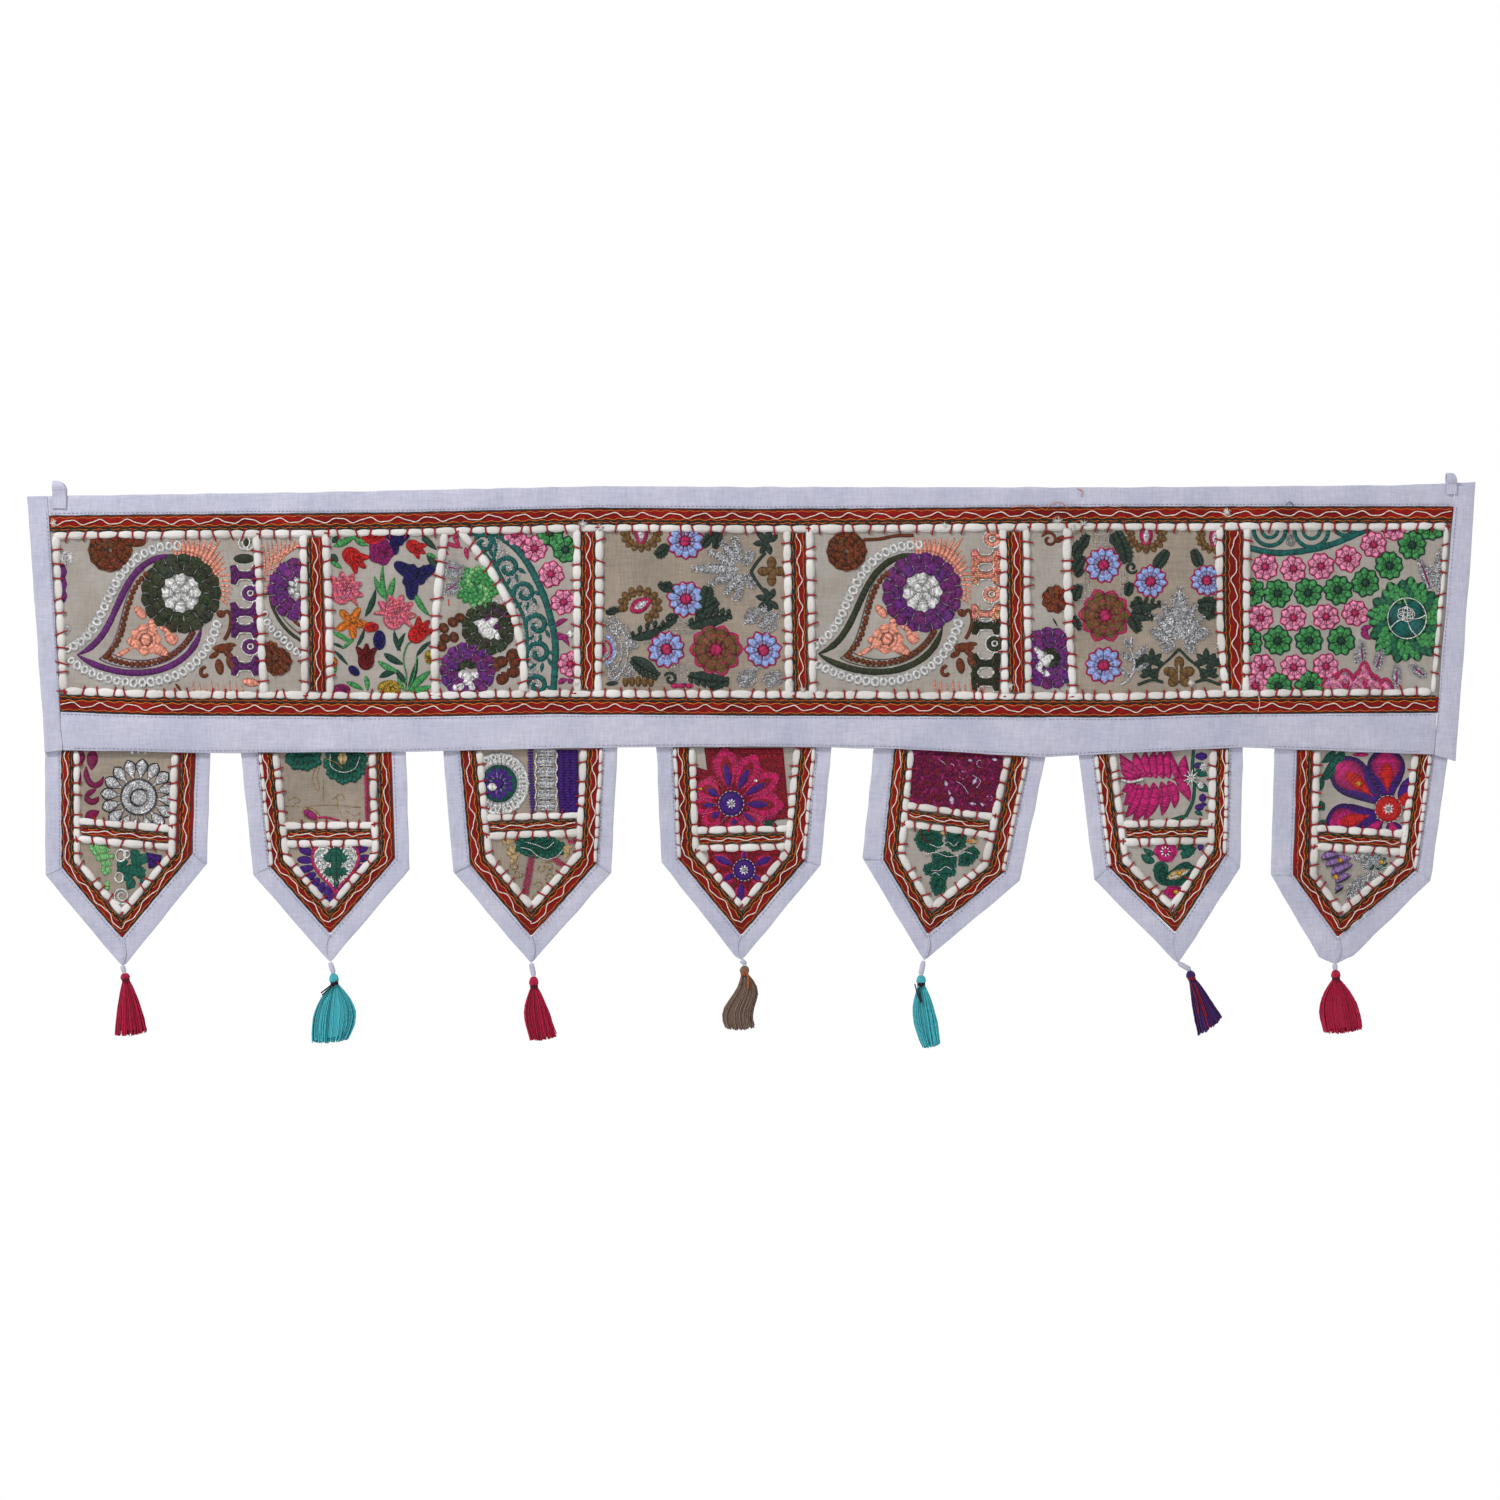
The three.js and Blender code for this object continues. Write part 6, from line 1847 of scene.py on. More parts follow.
def flap_1_upper(p):
    p.leaves((
        (244, 46, 234, 132, 56), (306, 46, 298, 148, 56), (232, 136, 228, 254, 38),
        (264, 386, 336, 348, 50), (266, 274, 324, 238, 28),
    ), PLUM)
    for ends in (((272, 128), (262, 236), (342, 250), (357, 178)),
                 ((268, 266), (280, 318), (322, 310), (333, 276))):
        p.satin(bezier(*ends, count=9), 30, PLUM, taper=0.25)
    p.blob(530, 280, 92, 92, BLACK, 0, 0.3)
    p.satin(arc(530, 280, 64, 64), 52, SILVER_GREY, closed=True, chain=True, base=0.3)
    p.blob(532, 282, 42, 42, SILVER_GREY, 30, 0.8, 0.4, 0.3)
    p.line([(570, 250), (540, 240), (506, 252), (488, 284), (500, 316), (534, 328)], 5, BLACK, lift=0.9)
    for k in range(16):
        a = 2 * pi * k / 16 + 0.1
        way = np.array([cos(a), sin(a)])
        p.leaf(*((530, 280) + 84 * way), *((530, 280) + 190 * way), 64, BLACK, fat=1.7, height=0.5)
        p.leaf(*((530, 280) + 86 * way), *((530, 280) + 184 * way), 53, SILVER_GREY, fat=1.8, height=0.8,
               base=0.3)
    for r in (40, 86):
        p.line(arc(530, 280, r, r, 0, 360, 24), 4, BLACK, closed=True, lift=0.8)
    for x in (500, 530, 560):
        p.leaf(x, 30, x, 74, 30, SILVER_GREY)


def flap_1_lower(p):
    p.leaves((
        (286, 540, 340, 522, 34), (300, 560, 390, 540, 44), (320, 590, 392, 572, 36),
        (342, 612, 400, 612, 28), (340, 640, 396, 650, 34), (356, 664, 386, 640, 26),
        (376, 744, 380, 690, 22), (386, 560, 398, 590, 24),
    ), LIGHT_GREEN, 1.35, bend=0.12)
    for x, y, r in ((440, 566, 34), (432, 674, 28), (470, 560, 22)):
        p.rings([(x, y), (x + 2, y)], 20, r, LOOP_SILVER, width=9)
    curl(p, 446, 764, 46, LOOP_SILVER, 0, 1, 10, 2)
    p.leaves((
        (500, 590, 532, 546, 50), (540, 560, 556, 610, 50), (424, 626, 478, 596, 34),
        (420, 642, 500, 650, 36), (500, 660, 566, 640, 44), (510, 650, 560, 676, 40),
        (466, 700, 508, 724, 50), (458, 690, 500, 670, 40), (536, 700, 560, 690, 24),
        (490, 600, 560, 600, 60), (456, 640, 530, 660, 50),
    ), EMERALD, 1.3, bend=0.1)
    p.fill([(566, 552), (640, 566), (636, 596), (600, 628), (578, 630), (572, 590)], VIOLET, 80)
    p.fill([(664, 596), (690, 600), (676, 620), (660, 612)], NAVY, 80)


def flap_2_upper(p):
    for row in ((308, 90, 80, 50, 7), (514, 116, 100, 90, 9)):
        scallops(p, lobed(*row), EMERALD, 65)
    p.line([(440, 70), (444, 130), (500, 158), (560, 140), (586, 80)], 4, CHALK, lift=1.0)
    p.blob(500, 88, 24, 34, SAND, base=0.9)
    p.line([(420, 92), (470, 112), (500, 140)], 3, GOLD, lift=1.0)
    p.lines([
        [(376, 120), (352, 170), (358, 220), (378, 248), (384, 220), (372, 180), (386, 130)],
        [(232, 296), (264, 280), (292, 296), (262, 314)], [(220, 324), (330, 326), (430, 318), (590, 330)],
        [(470, 280), (476, 340), (500, 372)], [(450, 290), (490, 262), (510, 290)],
        [(226, 350), (230, 400), (262, 380)], [(404, 200), (402, 300)],
        [(520, 350), (560, 372), (590, 352)],
    ], 3.2, SAND, lift=0.15)
    ladder(p, [(617, 130), (622, 396)], 24, ROSE)
    p.blob(344, 364, 50, 30, SAND, 25, height=0.4)
    p.blob(342, 366, 40, 20, MAGENTA, 30, base=0.4)
    p.satin([(362, 382), (420, 380), (486, 396)], 11, ROSE)


def flap_2_lower(p):
    border = heart(466, 611, 228, 254)
    p.fill(border, CHALK, 90, height=0.4)
    p.satin(border, 19, ROSE, closed=True, base=0.35)
    for k in range(26):
        a = 2 * pi * k / 26
        x, y = polar(464, 612, a, 88, 98)
        p.leaf(x, y, *polar(464, 612, a + 0.1, 52, 66), 12, LOOP_SILVER, base=0.6)
    p.leaf(468, 520, 470, 740, 54, EMERALD, base=0.6, fat=0.8)
    for x, y, reach, turn in (
        (466, 590, 74, 200), (470, 590, 70, -20), (466, 640, 66, 168), (472, 640, 62, 12),
        (466, 560, 50, 215), (470, 560, 46, -36), (468, 560, 52, -90),
    ):
        a = radians(turn)
        p.leaf(x, y, *polar(x, y, a, 0.92 * reach), 46, EMERALD, base=0.7, fat=1.1)
    p.line([(468, 524), (468, 620), (472, 728)], 4, FOREST, lift=1.4)
    for k in range(9):
        a = radians(200 - 16 * k)
        inner, outer = 106 + 2 * k, 190 - 4 * k
        p.blob(*polar(462, 600, a, (inner + outer) / 2, 1.06 * (inner + outer) / 2), 40, 20, VIOLET,
               degrees(a))
    for k in range(5):
        a = radians(-24 + 17 * k)
        p.blob(*polar(456, 600, a, 152, 160), 34, 20, VIOLET, degrees(a))
    p.blob(436, 786, 36, 30, VIOLET, 60)


def flap_3_upper(p):
    p.blob(290, 216, 94, 106, EMERALD, height=0.4)
    for r, width in ((104, 36), (138, 22)):
        p.satin(arc(290, 214, r, 1.04 * r, 0, 360, 24),
                width, LOOP_SILVER, closed=True, chain=True)
    p.rings(arc(290, 214, 128, 134, -120, 121, 12), 40, 26,
            LOOP_SILVER)
    for k in range(30):
        a = 2 * pi * k / 30
        p.line([polar(290, 214, a, 88, 92), polar(290, 214, a, 120, 126)],
               4, SILVER_DARK, lift=0.9)
    p.flower(284, 214, 82, 13, VIOLET, core=0.4, core_colour=VIOLET, wide=1.2)
    p.flower(284, 214, 60, 11, LILAC, core=0.4, core_colour=VIOLET, wide=0.5)
    p.blob(256, 230, 24, 20, CHALK, base=1.1)
    ladder(p, [(444, 50), (446, 170), (458, 360)], 30, VIOLET, 14)
    p.fill([(572, 50), (676, 50), (680, 360), (590, 360), (572, 200)], VIOLET, 0)
    for k in range(24):
        for x in (580, 610, 640):
            p.blob(x + 16, 54 + 13 * k, 16, 6, VIOLET, 4 * (k % 3) - 4, 0.7, 0.5, 0.8)
    for y in (56, 106, 158, 212, 268, 324):
        p.blob(520, y, 48, 30, SILVER_GREY, 0, 0.7, shade=0.8)
        for k in range(5):
            p.line([
                (480, y - 18 + 9 * k), (520, y - 22 + 10 * k), (560, y - 18 + 9 * k),
            ], 4, SILVER_DARK if k % 2 else LOOP_SILVER, lift=0.7)
    for x in (470, 572):
        p.line([(x + 4 * sin(1.7 * k), 60 + 16 * k) for k in range(19)], 7, LOOP_SILVER, lift=0.4)


def flap_3_lower(p):
    p.leaves((
        (300, 510, 370, 500, 44), (330, 570, 392, 530, 50), (350, 610, 390, 560, 34),
        (370, 640, 384, 600, 26), (600, 560, 650, 520, 40), (620, 530, 610, 580, 30),
    ), SAND, bend=0.15)
    for row in (
        (372, 584, 334, 640), (356, 660, 400, 640), (480, 600, 500, 650), (500, 640, 560, 600),
        (470, 690, 500, 740), (520, 700, 560, 640), (440, 770, 500, 770),
    ):
        curl(p, (row[0] + row[2]) / 2, (row[1] + row[3]) / 2, 26, SAND, p.luck.uniform(0, 360), 1, 6, 1.1)
    scallops(p, lobed(488, 524, 120, 48, 8, turn=4), EMERALD, 20, 14, 26)
    p.line([(392, 526), (440, 536), (476, 566), (520, 584), (566, 574), (602, 540)], 4, LOOP_SILVER,
           lift=0.9)
    p.line([(420, 500), (470, 512), (520, 530), (560, 500)], 4, LOOP_SILVER, lift=1.0)
    ladder(p, [(450, 566), (436, 650), (416, 754)], 36, ROSE, 11)
    ladder(p, [(552, 576), (600, 612)], 30, ROSE, 12)
    ladder(p, [(630, 496), (664, 500)], 20, ROSE, 12)


def flap_4_upper(p):
    p.fill([(262, 130), (330, 150), (316, 40), (700, 40), (730, 384), (262, 440)], CRIMSON_LIGHT, 60,
           height=0.3)
    petals = [
        (410, 40, 150), (566, 74, 150), (680, 170, 130), (700, 320, 160), (286, 214, 150), (312, 410, 130),
        (470, 460, 120), (610, 440, 110), (250, 326, 110),
    ]
    for x, y, width in petals:
        dx, dy = x - 447, y - 312
        norm = hypot(dx, dy)
        for share, size, colour, base in (
            (1.05, 1.14, CRIMSON, 0.2), (1.02, 1.04, HOT_PINK, 0.35), (0.88, 0.46, CRIMSON_LIGHT, 0.7),
            (0.74, 0.27, VIOLET, 1.0),
        ):
            start = 60 / norm * (1 if share > 0.95 else 1.15)
            p.leaf(447 + dx * start, 312 + dy * start, 447 + dx * share, 312 + dy * share, width * size,
                   colour,
                   fat=1.4, base=base)
        for s in np.linspace(0.35, 0.95, 9):
            for side in (-1, 1):
                half = 0.36 * width * sin(pi * s**1.4) ** 0.7
                px, py = 447 + dx * s - side * dy / norm * half, 312 + dy * s + side * dx / norm * half
                p.line([(px, py), (px + 7 * dx / norm, py + 7 * dy / norm)], 2.8, PINK_PALE, lift=1.2)
    jewel(p, 447, 312, 62, VIOLET)
    for x, y in ((296, 240), (568, 200)):
        p.blob(x, y, 10, 8, GOLD if x < 400 else CHALK, base=1.7, height=1.0)
    p.leaves(((592, 400, 640, 420, 26), (620, 396, 676, 428, 26)), FOREST, base=0.6)


def flap_4_lower(p):
    p.fill([(330, 530), (690, 530), (680, 600), (500, 830), (480, 800), (340, 600)], CRIMSON_LIGHT, 80,
           height=0.4)
    for x, y, width in ((360, 570, 80), (648, 574, 80), (510, 540, 50), (400, 690, 70), (600, 700, 70),
                        (486, 800, 90)):
        for share, size, colour, base in ((1.05, 1.3, CRIMSON_LIGHT, 0.2), (1.0, 1.0, HOT_PINK, 0.35),
                                          (0.96, 0.5, VIOLET, 0.8)):
            p.leaf(510 + (x - 510) * 0.35, 637 + (y - 637) * 0.35, 510 + (x - 510) * share,
                   637 + (y - 637) * share,
                   width * size, colour, fat=1.3, base=base)
    jewel(p, 510, 637, 54, VIOLET)
    p.blob(478, 788, 10, 6, CHALK, base=1.4)


def flap_5_upper(p):
    field = [(306, 40), (752, 60), (740, 220), (694, 356), (560, 340), (300, 306)]
    p.fill(field, PLUM, 74, pitch=6, length=26)
    for k in range(120):
        x, y = p.luck.uniform(306, 730), p.luck.uniform(50, 340)
        a = p.luck.uniform(0, 6.3)
        p.leaf(x, y, *polar(x, y, a, 40), 22, (PLUM, BERRY, CRIMSON)[k % 3], base=0.45)
    p.blobs((
        (472, 214, 14, 9, 70), (500, 296, 20, 12, 80), (612, 202, 18, 9, -60), (602, 312, 18, 7, 10),
        (488, 258, 12, 6, 60), (648, 316, 12, 7, 40), (590, 100, 10, 7, 0), (710, 96, 14, 8, 10),
    ), LILAC_PALE, base=1.1, height=0.5)
    for x, y, r, turn in ((552, 166, 30, 0), (640, 112, 26, 40), (686, 288, 20, 180), (500, 130, 22, 90)):
        curl(p, x, y, r, LILAC_PALE, turn, 1, 6, 1)
    p.lines([[(520, 200), (556, 226), (580, 262)], [(600, 170), (640, 200), (620, 236)],
             [(440, 96), (470, 120)]], 4, LILAC_PALE, lift=1.3)


def flap_5_lower(p):
    for x, y, rx, ry, lobes, turn in (
        (388, 488, 64, 60, 7, 0), (520, 490, 48, 50, 6, 10), (462, 592, 60, 38, 6, 6),
        (582, 572, 56, 30, 5, -42), (398, 638, 34, 24, 4, 20), (462, 650, 58, 22, 5, -8),
        (434, 702, 34, 54, 5, 0),
    ):
        scallops(p, lobed(x, y, rx, ry, lobes, turn=turn), EMERALD, 60 + turn, 11, 20)
    p.lines([[(352, 430), (350, 470), (390, 504)]], 6, CRIMSON, lift=1.0)
    p.lines([
        [(390, 510), (440, 526), (480, 500), (510, 520), (530, 500)],
        [(360, 562), (420, 552), (480, 572), (530, 566)], [(400, 640), (440, 640), (470, 620), (500, 636)],
        [(540, 560), (570, 548), (600, 560)], [(400, 660), (420, 650), (440, 664)],
    ], 4, LOOP_SILVER, lift=1.1)
    p.blob(600, 496, 30, 16, SAND, 0)
    p.blob(586, 494, 10, 10, TANGERINE, base=0.5)
    p.blob(456, 456, 14, 12, SAND, base=0.9)


def flap_6_upper(p):
    for row in (
        (320, 176, 196, 70, 50), (330, 180, 270, 60, 50), (350, 184, 322, 56, 46), (376, 188, 366, 52, 46),
        (410, 190, 400, 50, 46), (440, 190, 436, 46, 46), (500, 190, 440, 50, 30), (522, 200, 516, 76, 44),
        (300, 176, 196, 110, 40), (290, 180, 200, 146, 36), (300, 190, 196, 184, 30),
        (480, 190, 470, 110, 30), (470, 196, 536, 300, 44), (430, 200, 462, 334, 46),
        (396, 204, 400, 370, 50), (360, 208, 312, 392, 56), (320, 212, 256, 404, 56),
        (290, 214, 222, 380, 50), (270, 210, 214, 320, 46), (270, 204, 204, 250, 44),
        (540, 180, 450, 190, 26),
    ):
        p.leaf(*row[:4], 1.2 * row[4], FUCHSIA, bend=0.1, height=0.8)
        p.line([row[:2], ((row[0] + row[2]) / 2 + 4, (row[1] + row[3]) / 2), row[2:4]], 2.6, PLUM, lift=0.9)
    p.satin([(202, 196), (250, 206), (310, 190)], 13, LOOP_SILVER, base=0.8)
    p.satin([(556, 50), (550, 140), (560, 220), (552, 300), (516, 376)], 17, EMERALD, chain=True)
    p.leaves((
        (520, 366, 400, 404, 38), (420, 396, 346, 388, 16), (560, 160, 624, 176, 40),
        (566, 220, 626, 256, 44), (560, 130, 610, 120, 26), (560, 352, 600, 372, 24),
    ), EMERALD, bend=0.1)
    for x, y, rx, ry in ((594, 80, 20, 30), (572, 126, 16, 14), (600, 284, 22, 18), (584, 330, 18, 22),
                         (604, 316, 10, 18)):
        p.blob(x, y, rx, ry, VIOLET, 90)
    for x, y, r in ((544, 186, 40), (604, 134, 20), (590, 222, 18)):
        for k in range(9):
            a = 2 * pi * k / 9
            p.leaf(x, y, *polar(x, y, a, r, 1.1 * r), 9, LOOP_SILVER, base=0.8)


def flap_6_lower(p):
    p.flower(420, 546, 58, 6, FUCHSIA, core=0.4, core_colour=FUCHSIA, wide=1.2)
    p.flower(418, 546, 26, 8, LOOP_SILVER, core=0.3, core_colour=CHALK, wide=0.8, height=1.2)
    p.leaves((
        (366, 596, 300, 560, 44), (366, 560, 310, 530, 30), (360, 580, 320, 590, 30),
        (480, 536, 570, 510, 40), (500, 582, 570, 530, 46), (490, 560, 560, 556, 34),
        (470, 540, 520, 528, 14),
    ), EMERALD, bend=0.08)
    p.blob(590, 524, 16, 18, VIOLET)
    p.blob(634, 540, 12, 20, VIOLET)
    rim = (
        ((366, 676), (336, 584), (420, 588), (424, 648)), ((424, 648), (452, 652), (480, 590), (530, 597)),
        ((530, 597), (604, 634), (540, 722), (450, 716)), ((450, 716), (404, 712), (380, 706), (366, 676)),
    )
    p.fill(np.vstack([bezier(*ends, count=7)[:-1] for ends in rim]), EMERALD, 30, height=0.8)
    p.satin([(362, 644), (374, 610), (400, 602), (424, 618), (418, 650), (400, 656)], 15, EMERALD)
    p.leaf(424, 678, 540, 634, 48, SAND, base=0.8)
    for k in range(6):
        p.leaf(440 + 14 * k, 680 - 4 * k, 470 + 12 * k, 664 - 6 * k, 8, LOOP_SILVER, base=1.2)
    p.blob(484, 652, 14, 13, GOLD, base=1.6, height=1.3)
    p.fill(lobed(456, 744, 46, 34, 5), FUCHSIA, 80)
    p.blob(468, 744, 13, 12, GOLD, base=1.0, height=1.3)
    p.line([(440, 730), (460, 760), (490, 770)], 6, RED, lift=0.9)


def flap_7_upper(p):
    p.leaves((
        (460, 50, 346, 200, 70), (420, 50, 352, 110, 40), (352, 180, 346, 250, 26),
        (336, 300, 364, 348, 36), (330, 350, 366, 320, 24), (336, 420, 384, 398, 30),
    ), EMERALD, bend=0.08, vein=FOREST)
    for row in ((680, 340, 400, 96, 190), (684, 340, 666, 30, 190), (670, 350, 366, 426, 180)):
        teardrop(p, *row, VIOLET, FUCHSIA, RED, bead=row[2] == 400)
    p.leaf(740, 300, 790, 180, 60, VIOLET)
    p.leaf(736, 320, 800, 250, 60, RED, base=0.5)
    for row in ((660, 390, 560, 470, 100), (690, 396, 720, 470, 90)):
        p.leaf(*row, VIOLET, fat=1.3)
        p.leaf(row[0], row[1], row[2], row[3], 50, FUCHSIA, fat=1.3, base=0.5)
    jewel(p, 682, 338, 66, RED, stone=26)
    p.blob(546, 72, 40, 10, FUCHSIA, 0)


def flap_7_lower(p):
    for row in (
        (350, 580, 440, 560, 44), (372, 616, 500, 580, 56), (400, 660, 510, 610, 56),
        (420, 700, 500, 660, 40), (420, 740, 462, 716, 30),
    ):
        p.leaf(*row, LILAC, bend=0.06)
        for s in np.linspace(0.1, 0.9, 9):
            x, y = row[0] + (row[2] - row[0]) * s, row[1] + (row[3] - row[1]) * s
            p.line([(x - 6, y + 20), (x + 4, y + 4)], 3, BLACK, lift=0.9)
        p.line([(row[0], row[1] + 8), (row[2], row[3] + 4)], 3, BLACK, lift=0.9)
    for k in range(7):
        a = radians(190 + 26 * k)
        silver_leaf(p, 610, 620, 610 + 60 * cos(a) * 0.9, 610 + 60 * sin(a), 26)
    for k in range(9):
        a = radians(150 + 30 * k)
        p.leaf(616, 612, *polar(616, 606, a, 66, 52), 40, EMERALD, base=0.3)
    for k in range(16):
        a = radians(10 + 12 * k)
        p.line([polar(614, 616, a, 30, 26), polar(614, 620, a, 64, 54)],
               3.4, LOOP_SILVER, lift=1.1)
    silver_leaf(p, 480, 800, 600, 680, 80)
    silver_leaf(p, 486, 790, 550, 680, 60)
    for k in range(14):
        x, y = 486 + 9 * k, 780 - 8 * k
        p.leaf(x, y, x + 8, y - 40, 10, SILVER_GREY if k % 3 else SILVER_DARK, base=1.0)
    p.scribble(540, 576, 40, 18, SILVER_GREY, turns=6, width=4)
    p.line([(490, 560), (520, 580), (560, 580), (610, 574)], 7, LOOP_SILVER)
    for x, y in ((444, 590), (424, 672), (650, 600)):
        p.blob(x, y, 13, 13, GOLD, base=1.1, height=0.6)


# The left edge of each enlargement in pixels, and what draws the upper and the lower patch.
FLAP_PATCHES = [
    (30, flap_1_upper, flap_1_lower),
    (240, flap_2_upper, flap_2_lower),
    (440, flap_3_upper, flap_3_lower),
    (640, flap_4_upper, flap_4_lower),
    (850, flap_5_upper, flap_5_lower),
    (1080, flap_6_upper, flap_6_lower),
    (1250, flap_7_upper, flap_7_lower),
]
for number, (x, *draws) in enumerate(FLAP_PATCHES, 1):
    for lower, draw in enumerate(draws):
        patch = Patch(FLAP_FACES[number - 1], x, FLAP_ROW, FLAP_ZOOM, FLAP_SEED + 2 * number + lower)
        draw(patch)
        patch.finish(draw.__name__, inside_flap(number, not lower))


# Tassels.

TASSEL_COLOURS = {
    "pink": (linear(208, 14, 74), linear(150, 6, 44)),
    "turquoise": (linear(84, 212, 226), linear(44, 154, 172)),
    "taupe": (linear(144, 118, 104), linear(94, 72, 62)),
    "purple": (linear(74, 30, 112), linear(176, 28, 50)),
}
STRANDS = 160
TASSEL_ORDER = ["pink", "turquoise", "pink", "taupe", "turquoise", "purple", "pink"]
WRAPS = [linear(86, 8, 34), linear(40, 12, 30), linear(86, 8, 34), linear(176, 96, 44),
         linear(40, 14, 24), linear(150, 18, 34), linear(86, 8, 34)]


# Ends of the threads that tie the necks: tassel, radius in mm, then points in the photograph's pixels.
TAILS = [
    (2, 0.7, (337, 981), (330, 986), (321, 993)), (2, 0.6, (336, 984), (328, 990), (322, 995)),
    (4, 1.0, (744, 968), (748, 977), (748, 989)), (5, 0.6, (924, 985), (919, 990), (922, 1002)),
    (5, 0.6, (915, 984), (917, 992), (921, 1003)), (6, 0.5, (1194, 983), (1200, 998), (1206, 1016)),
    (6, 0.5, (1190, 983), (1196, 1000), (1198, 1014)),
]


class Hanging:
    """The depth of a tassel, which hangs straight down from its flap's point."""

    def __init__(self, depth):
        self.depth = depth

    def __call__(self, x, z):
        return np.full_like(x, self.depth)


def tassel(number):
    (head_x, head_z), (neck_x, neck_z), left, right, bulge_left, bulge_right, sway = TASSELS[number - 1]
    low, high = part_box(f"tassel_{number}")
    depth = float(low.y + high.y) * 500
    work = Sewing(Hanging(depth))
    luck = np.random.default_rng(900 + number)
    bright, deep = (np.array(c) for c in TASSEL_COLOURS[TASSEL_ORDER[number - 1]])
    share = np.linspace(0, 1, 12)[:, None]
    turn = np.linspace(0, 2 * np.pi, 16, endpoint=False)[None]
    lean = np.cos(turn)
    end_x = (left[0] + right[0]) / 2 + lean * (right[0] - left[0]) / 2 * 0.86
    end_z = (left[1] + right[1]) / 2 + lean * (right[1] - left[1]) / 2 * 0.86 + 1.5
    swell = np.where(lean < 0, bulge_left, bulge_right) * lean * 0.86
    x = neck_x + lean * 1.8 + (end_x - neck_x - lean * 1.8) * share**0.85 + swell * np.sin(np.pi * share)
    x += sway * np.sin(2 * np.pi * share)
    z = neck_z + 0.6 + (end_z - neck_z - 0.6) * share
    uv = np.stack([np.broadcast_to(turn * 6, x.shape), np.broadcast_to(share * 30, x.shape)], axis=-1)
    # An inner body under the strands, at 0.6 of the bright colour: painted shade inside the skirt.
    work.grid(x, z, np.sin(turn) * (1.3 + 1.4 * share), bright * 0.6, uv, wrap=True)
    for k in range(STRANDS):
        layer = luck.uniform(-1, 1)
        across = luck.uniform(-1, 1)
        share = np.linspace(0, 1, 9)
        end_x = left[0] + (right[0] - left[0]) * (across + 1) / 2
        end_z = left[1] + (right[1] - left[1]) * (across + 1) / 2 - 1.2 * (1 - across**2)
        end_z -= luck.uniform(-0.8, 1.4)
        belly = np.sin(np.pi * share)
        bulge = across * (bulge_left if across < 0 else bulge_right)
        x = neck_x + across * 2.0 + (end_x - neck_x - across * 2.0) * share**0.85 + bulge * belly
        x += sway * np.sin(2 * np.pi * share)
        curl_by, turns, phase = luck.uniform(0.1, 0.45), luck.uniform(1.5, 4), luck.uniform(0, 6)
        x += curl_by * np.sin(2 * np.pi * share * turns + phase) * share
        z = neck_z + 0.8 + (end_z - neck_z - 0.8) * share
        crown = sqrt(max(0.1, 1 - 0.6 * across**2))
        lift = layer * crown * (1.5 + 1.9 * share)
        tone, low, high = (bright, 0.82, 1.12) if luck.random() > 0.17 else (deep, 0.85, 1.15)
        tone = tone * luck.uniform(low, high)
        work.thread(np.stack([x, z], axis=1), np.linspace(0.36, 0.46, 9), lift, np.clip(tone, 0, 1),
                    sides=3)
    # The head is a ball of the same thread, and a wrap ties the neck.
    axis = np.array([neck_x - head_x, neck_z - head_z])
    rows, cols = 15, 18
    t = np.linspace(0, 1, rows)[:, None]
    turn = np.linspace(0, 2 * np.pi, cols, endpoint=False)[None]
    radius = 3.3 * np.clip(np.sin(np.pi * (0.1 + 0.78 * t)), 0.3,
                           1) ** 0.7 * (1 + 0.05 * np.sin(9 * turn + 8 * t))
    across_way = np.array([-axis[1], axis[0]]) / np.linalg.norm(axis)
    x = head_x + axis[0] * t + across_way[0] * radius * np.cos(turn)
    z = head_z + axis[1] * t + across_way[1] * radius * np.cos(turn)
    uv = np.stack([np.broadcast_to(turn * 3.2, x.shape), np.broadcast_to(t * 5, x.shape)], axis=-1)
    work.grid(x, z, radius * np.sin(turn), bright * 0.8, uv, wrap=True)
    for k in range(4):
        s = np.linspace(0, 2 * np.pi, 15)
        centre = np.array([neck_x, neck_z]) - axis / np.linalg.norm(axis) * (0.1 + 0.55 * k)
        ring = 2.75 + 0.12 * (k % 2)
        path = centre + across_way * (ring * np.cos(s))[:, None]
        work.thread(path + np.array([0.0, 1e-4]) * s[:, None], 0.34, ring * np.sin(s), WRAPS[number - 1],
                    sides=4)
    for tassel_number, radius, *stops in TAILS:
        if tassel_number == number:
            line = smooth(np.stack(spot(*np.array(stops, float).T), axis=1), 1.0)
            work.thread(line, radius, np.linspace(2.6, 3.2, len(line)), WRAPS[number - 1], sides=4)
    piece = work.made(f"tassel_threads_{number}", YARN, f"tassel_{TASSEL_ORDER[number - 1]}")
    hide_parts(f"tassel_{number}")


for number in range(1, 8):
    tassel(number)
    dressed(f"tassel_cord_{number}", WHITE_COTTON, f"rolled_cord_{number}", 1, 0.05, fold=0.2)
for side, bulge in (("left", 0.85), ("right", 0.45)):
    low, high = (corner * 1000 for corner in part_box(f"hanging_loop_{side}"))

    def rounded(x, z):
        """The loop's top, drawn in to a curve on its right side."""
        rise = np.clip((z - high.z + 7) / 7, 0, 1)
        return low.x + (x - low.x) * (1 - bulge * (1 - np.sqrt(1 - 0.98 * rise**2)))

    dressed(f"hanging_loop_{side}", WHITE_COTTON, f"tape_loop_{side}", 2, 0.04, fold=0.3,
            cut=rounded)


# The camera, the floor and the light.

FRAME_PIXELS = 1500
LENS, SENSOR = 100, 36  # millimetres
FLOOR = -1.1


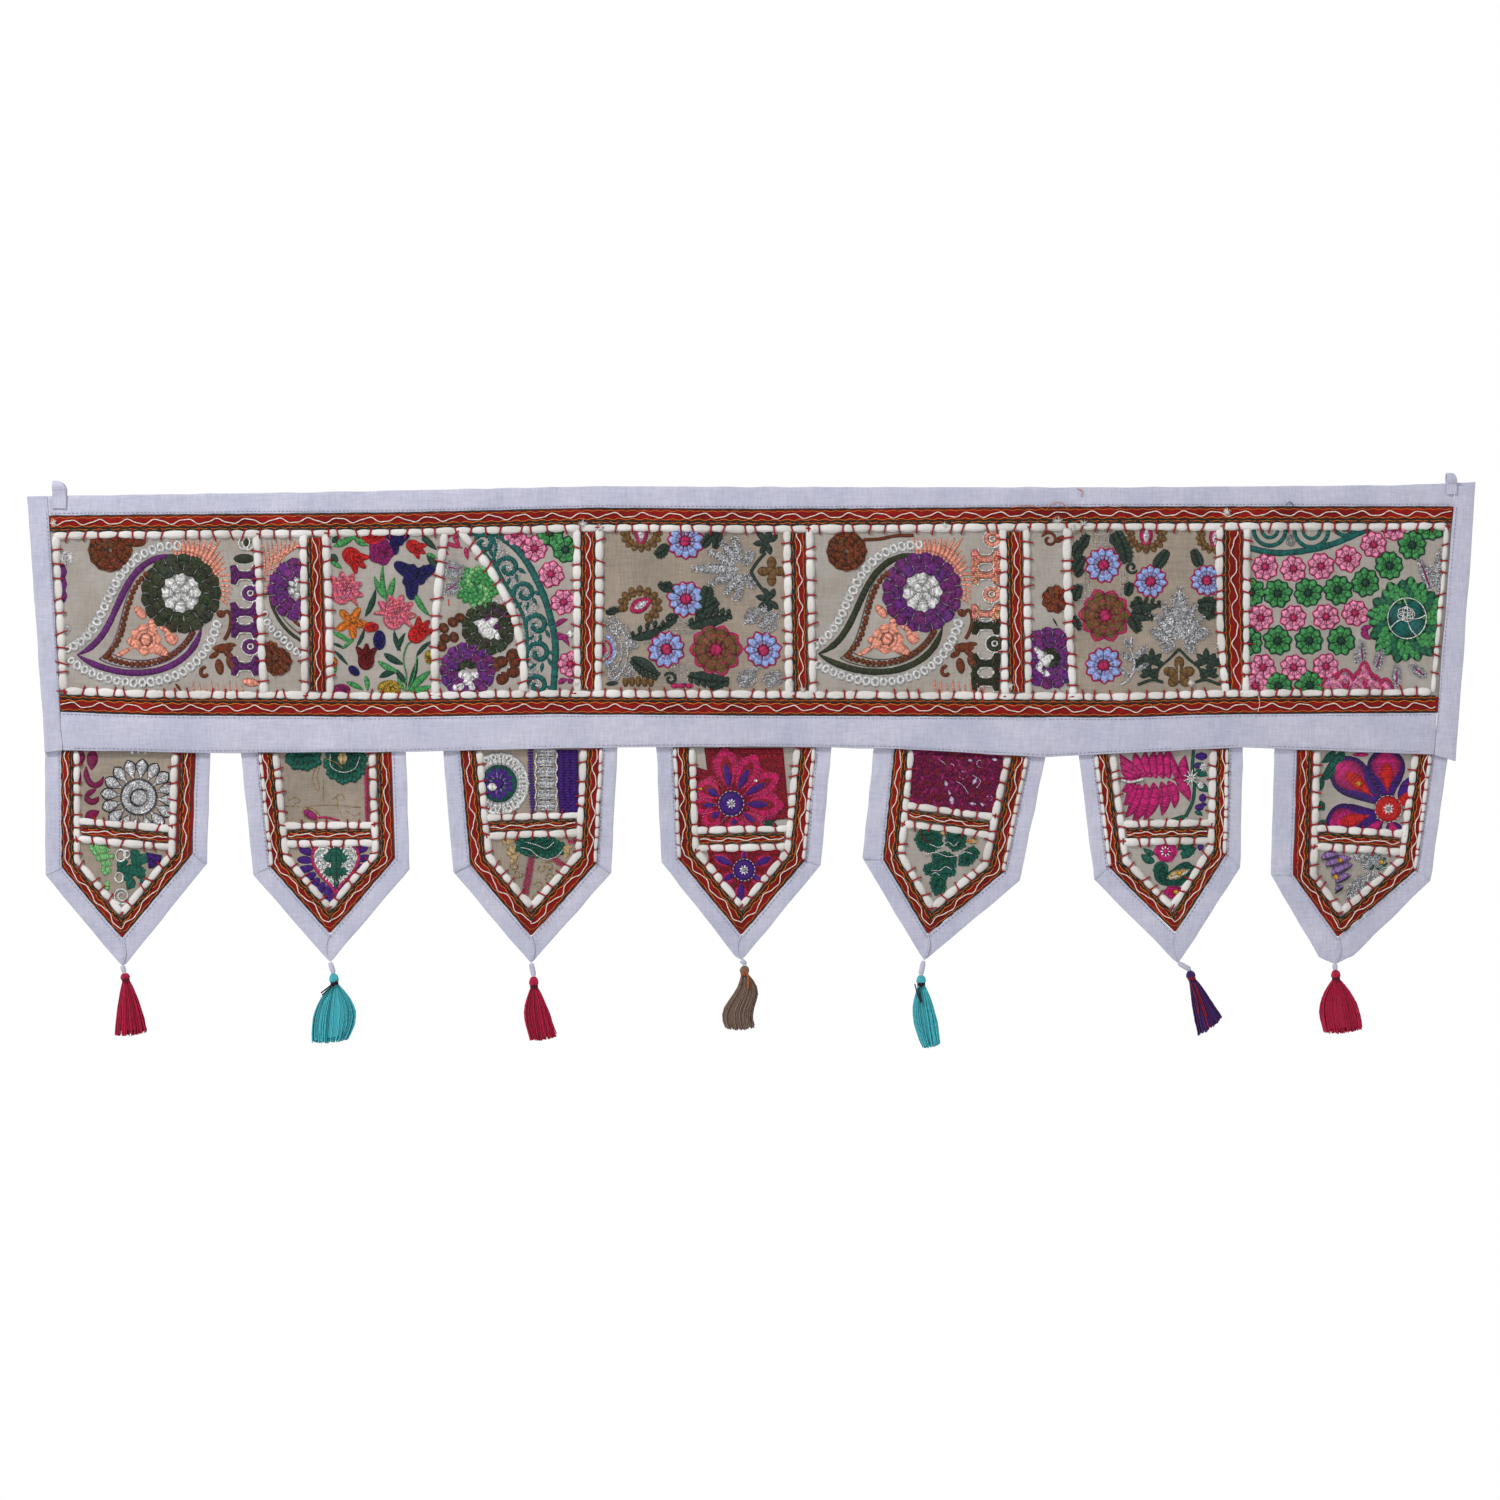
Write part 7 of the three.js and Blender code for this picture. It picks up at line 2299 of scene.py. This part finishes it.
def studio():
    world = bpy.data.worlds.new("studio")
    bpy.context.scene.world = world
    world.use_nodes = True
    nodes, links = world.node_tree.nodes, world.node_tree.links
    fill = nodes["Background"]
    fill.inputs["Color"].default_value = (1, 1, 1, 1)
    fill.inputs["Strength"].default_value = 0.5
    seen = nodes.new("ShaderNodeBackground")
    seen.inputs["Color"].default_value = (1, 1, 1, 1)
    seen.inputs["Strength"].default_value = 1.0
    rays = nodes.new("ShaderNodeLightPath")
    mix = nodes.new("ShaderNodeMixShader")
    links.new(rays.outputs["Is Camera Ray"], mix.inputs[0])
    links.new(fill.outputs[0], mix.inputs[1])
    links.new(seen.outputs[0], mix.inputs[2])
    links.new(mix.outputs[0], nodes["World Output"].inputs["Surface"])

    for name, place, size, power in (
        ("key", (-1.5, -1.5, 1.7), 0.55, 46), ("fill", (1.6, -1.9, 0.2), 1.6, 6),
        ("back", (0.4, 2.0, 1.2), 1.4, 14),
    ):
        light = bpy.data.lights.new(name, "AREA")
        light.size = size
        light.energy = power
        lamp = bpy.data.objects.new(name, light)
        lamp.location = place
        lamp.rotation_euler = (Vector((0, 0, -0.18)) - Vector(place)).to_track_quat("-Z", "Y").to_euler()
        bpy.context.scene.collection.objects.link(lamp)

    mesh = bpy.data.meshes.new("floor")
    mesh.from_pydata([(-3, -3, FLOOR), (3, -3, FLOOR), (3, 1.9, FLOOR), (-3, 1.9, FLOOR)], [],
                     [(0, 1, 2, 3)])
    floor = bpy.data.objects.new("floor", mesh)
    bpy.context.scene.collection.objects.link(floor)
    plain = Shader("pale_floor")
    plain.set(Base_Color=(0.86, 0.86, 0.86), Roughness=0.8)
    mesh.materials.append(plain.material)

    camera = bpy.data.objects.new("camera", bpy.data.cameras.new("camera"))
    camera.data.lens = LENS
    camera.data.sensor_width = SENSOR
    width = FRAME_PIXELS * PIXEL / 1000
    x, z = spot(FRAME_PIXELS / 2, FRAME_PIXELS / 2)
    camera.location = (x / 1000, -width * LENS / SENSOR, z / 1000)
    camera.rotation_euler = (pi / 2, 0, 0)
    bpy.context.scene.collection.objects.link(camera)
    bpy.context.scene.camera = camera
    bpy.context.scene.view_settings.view_transform = "Standard"


studio()
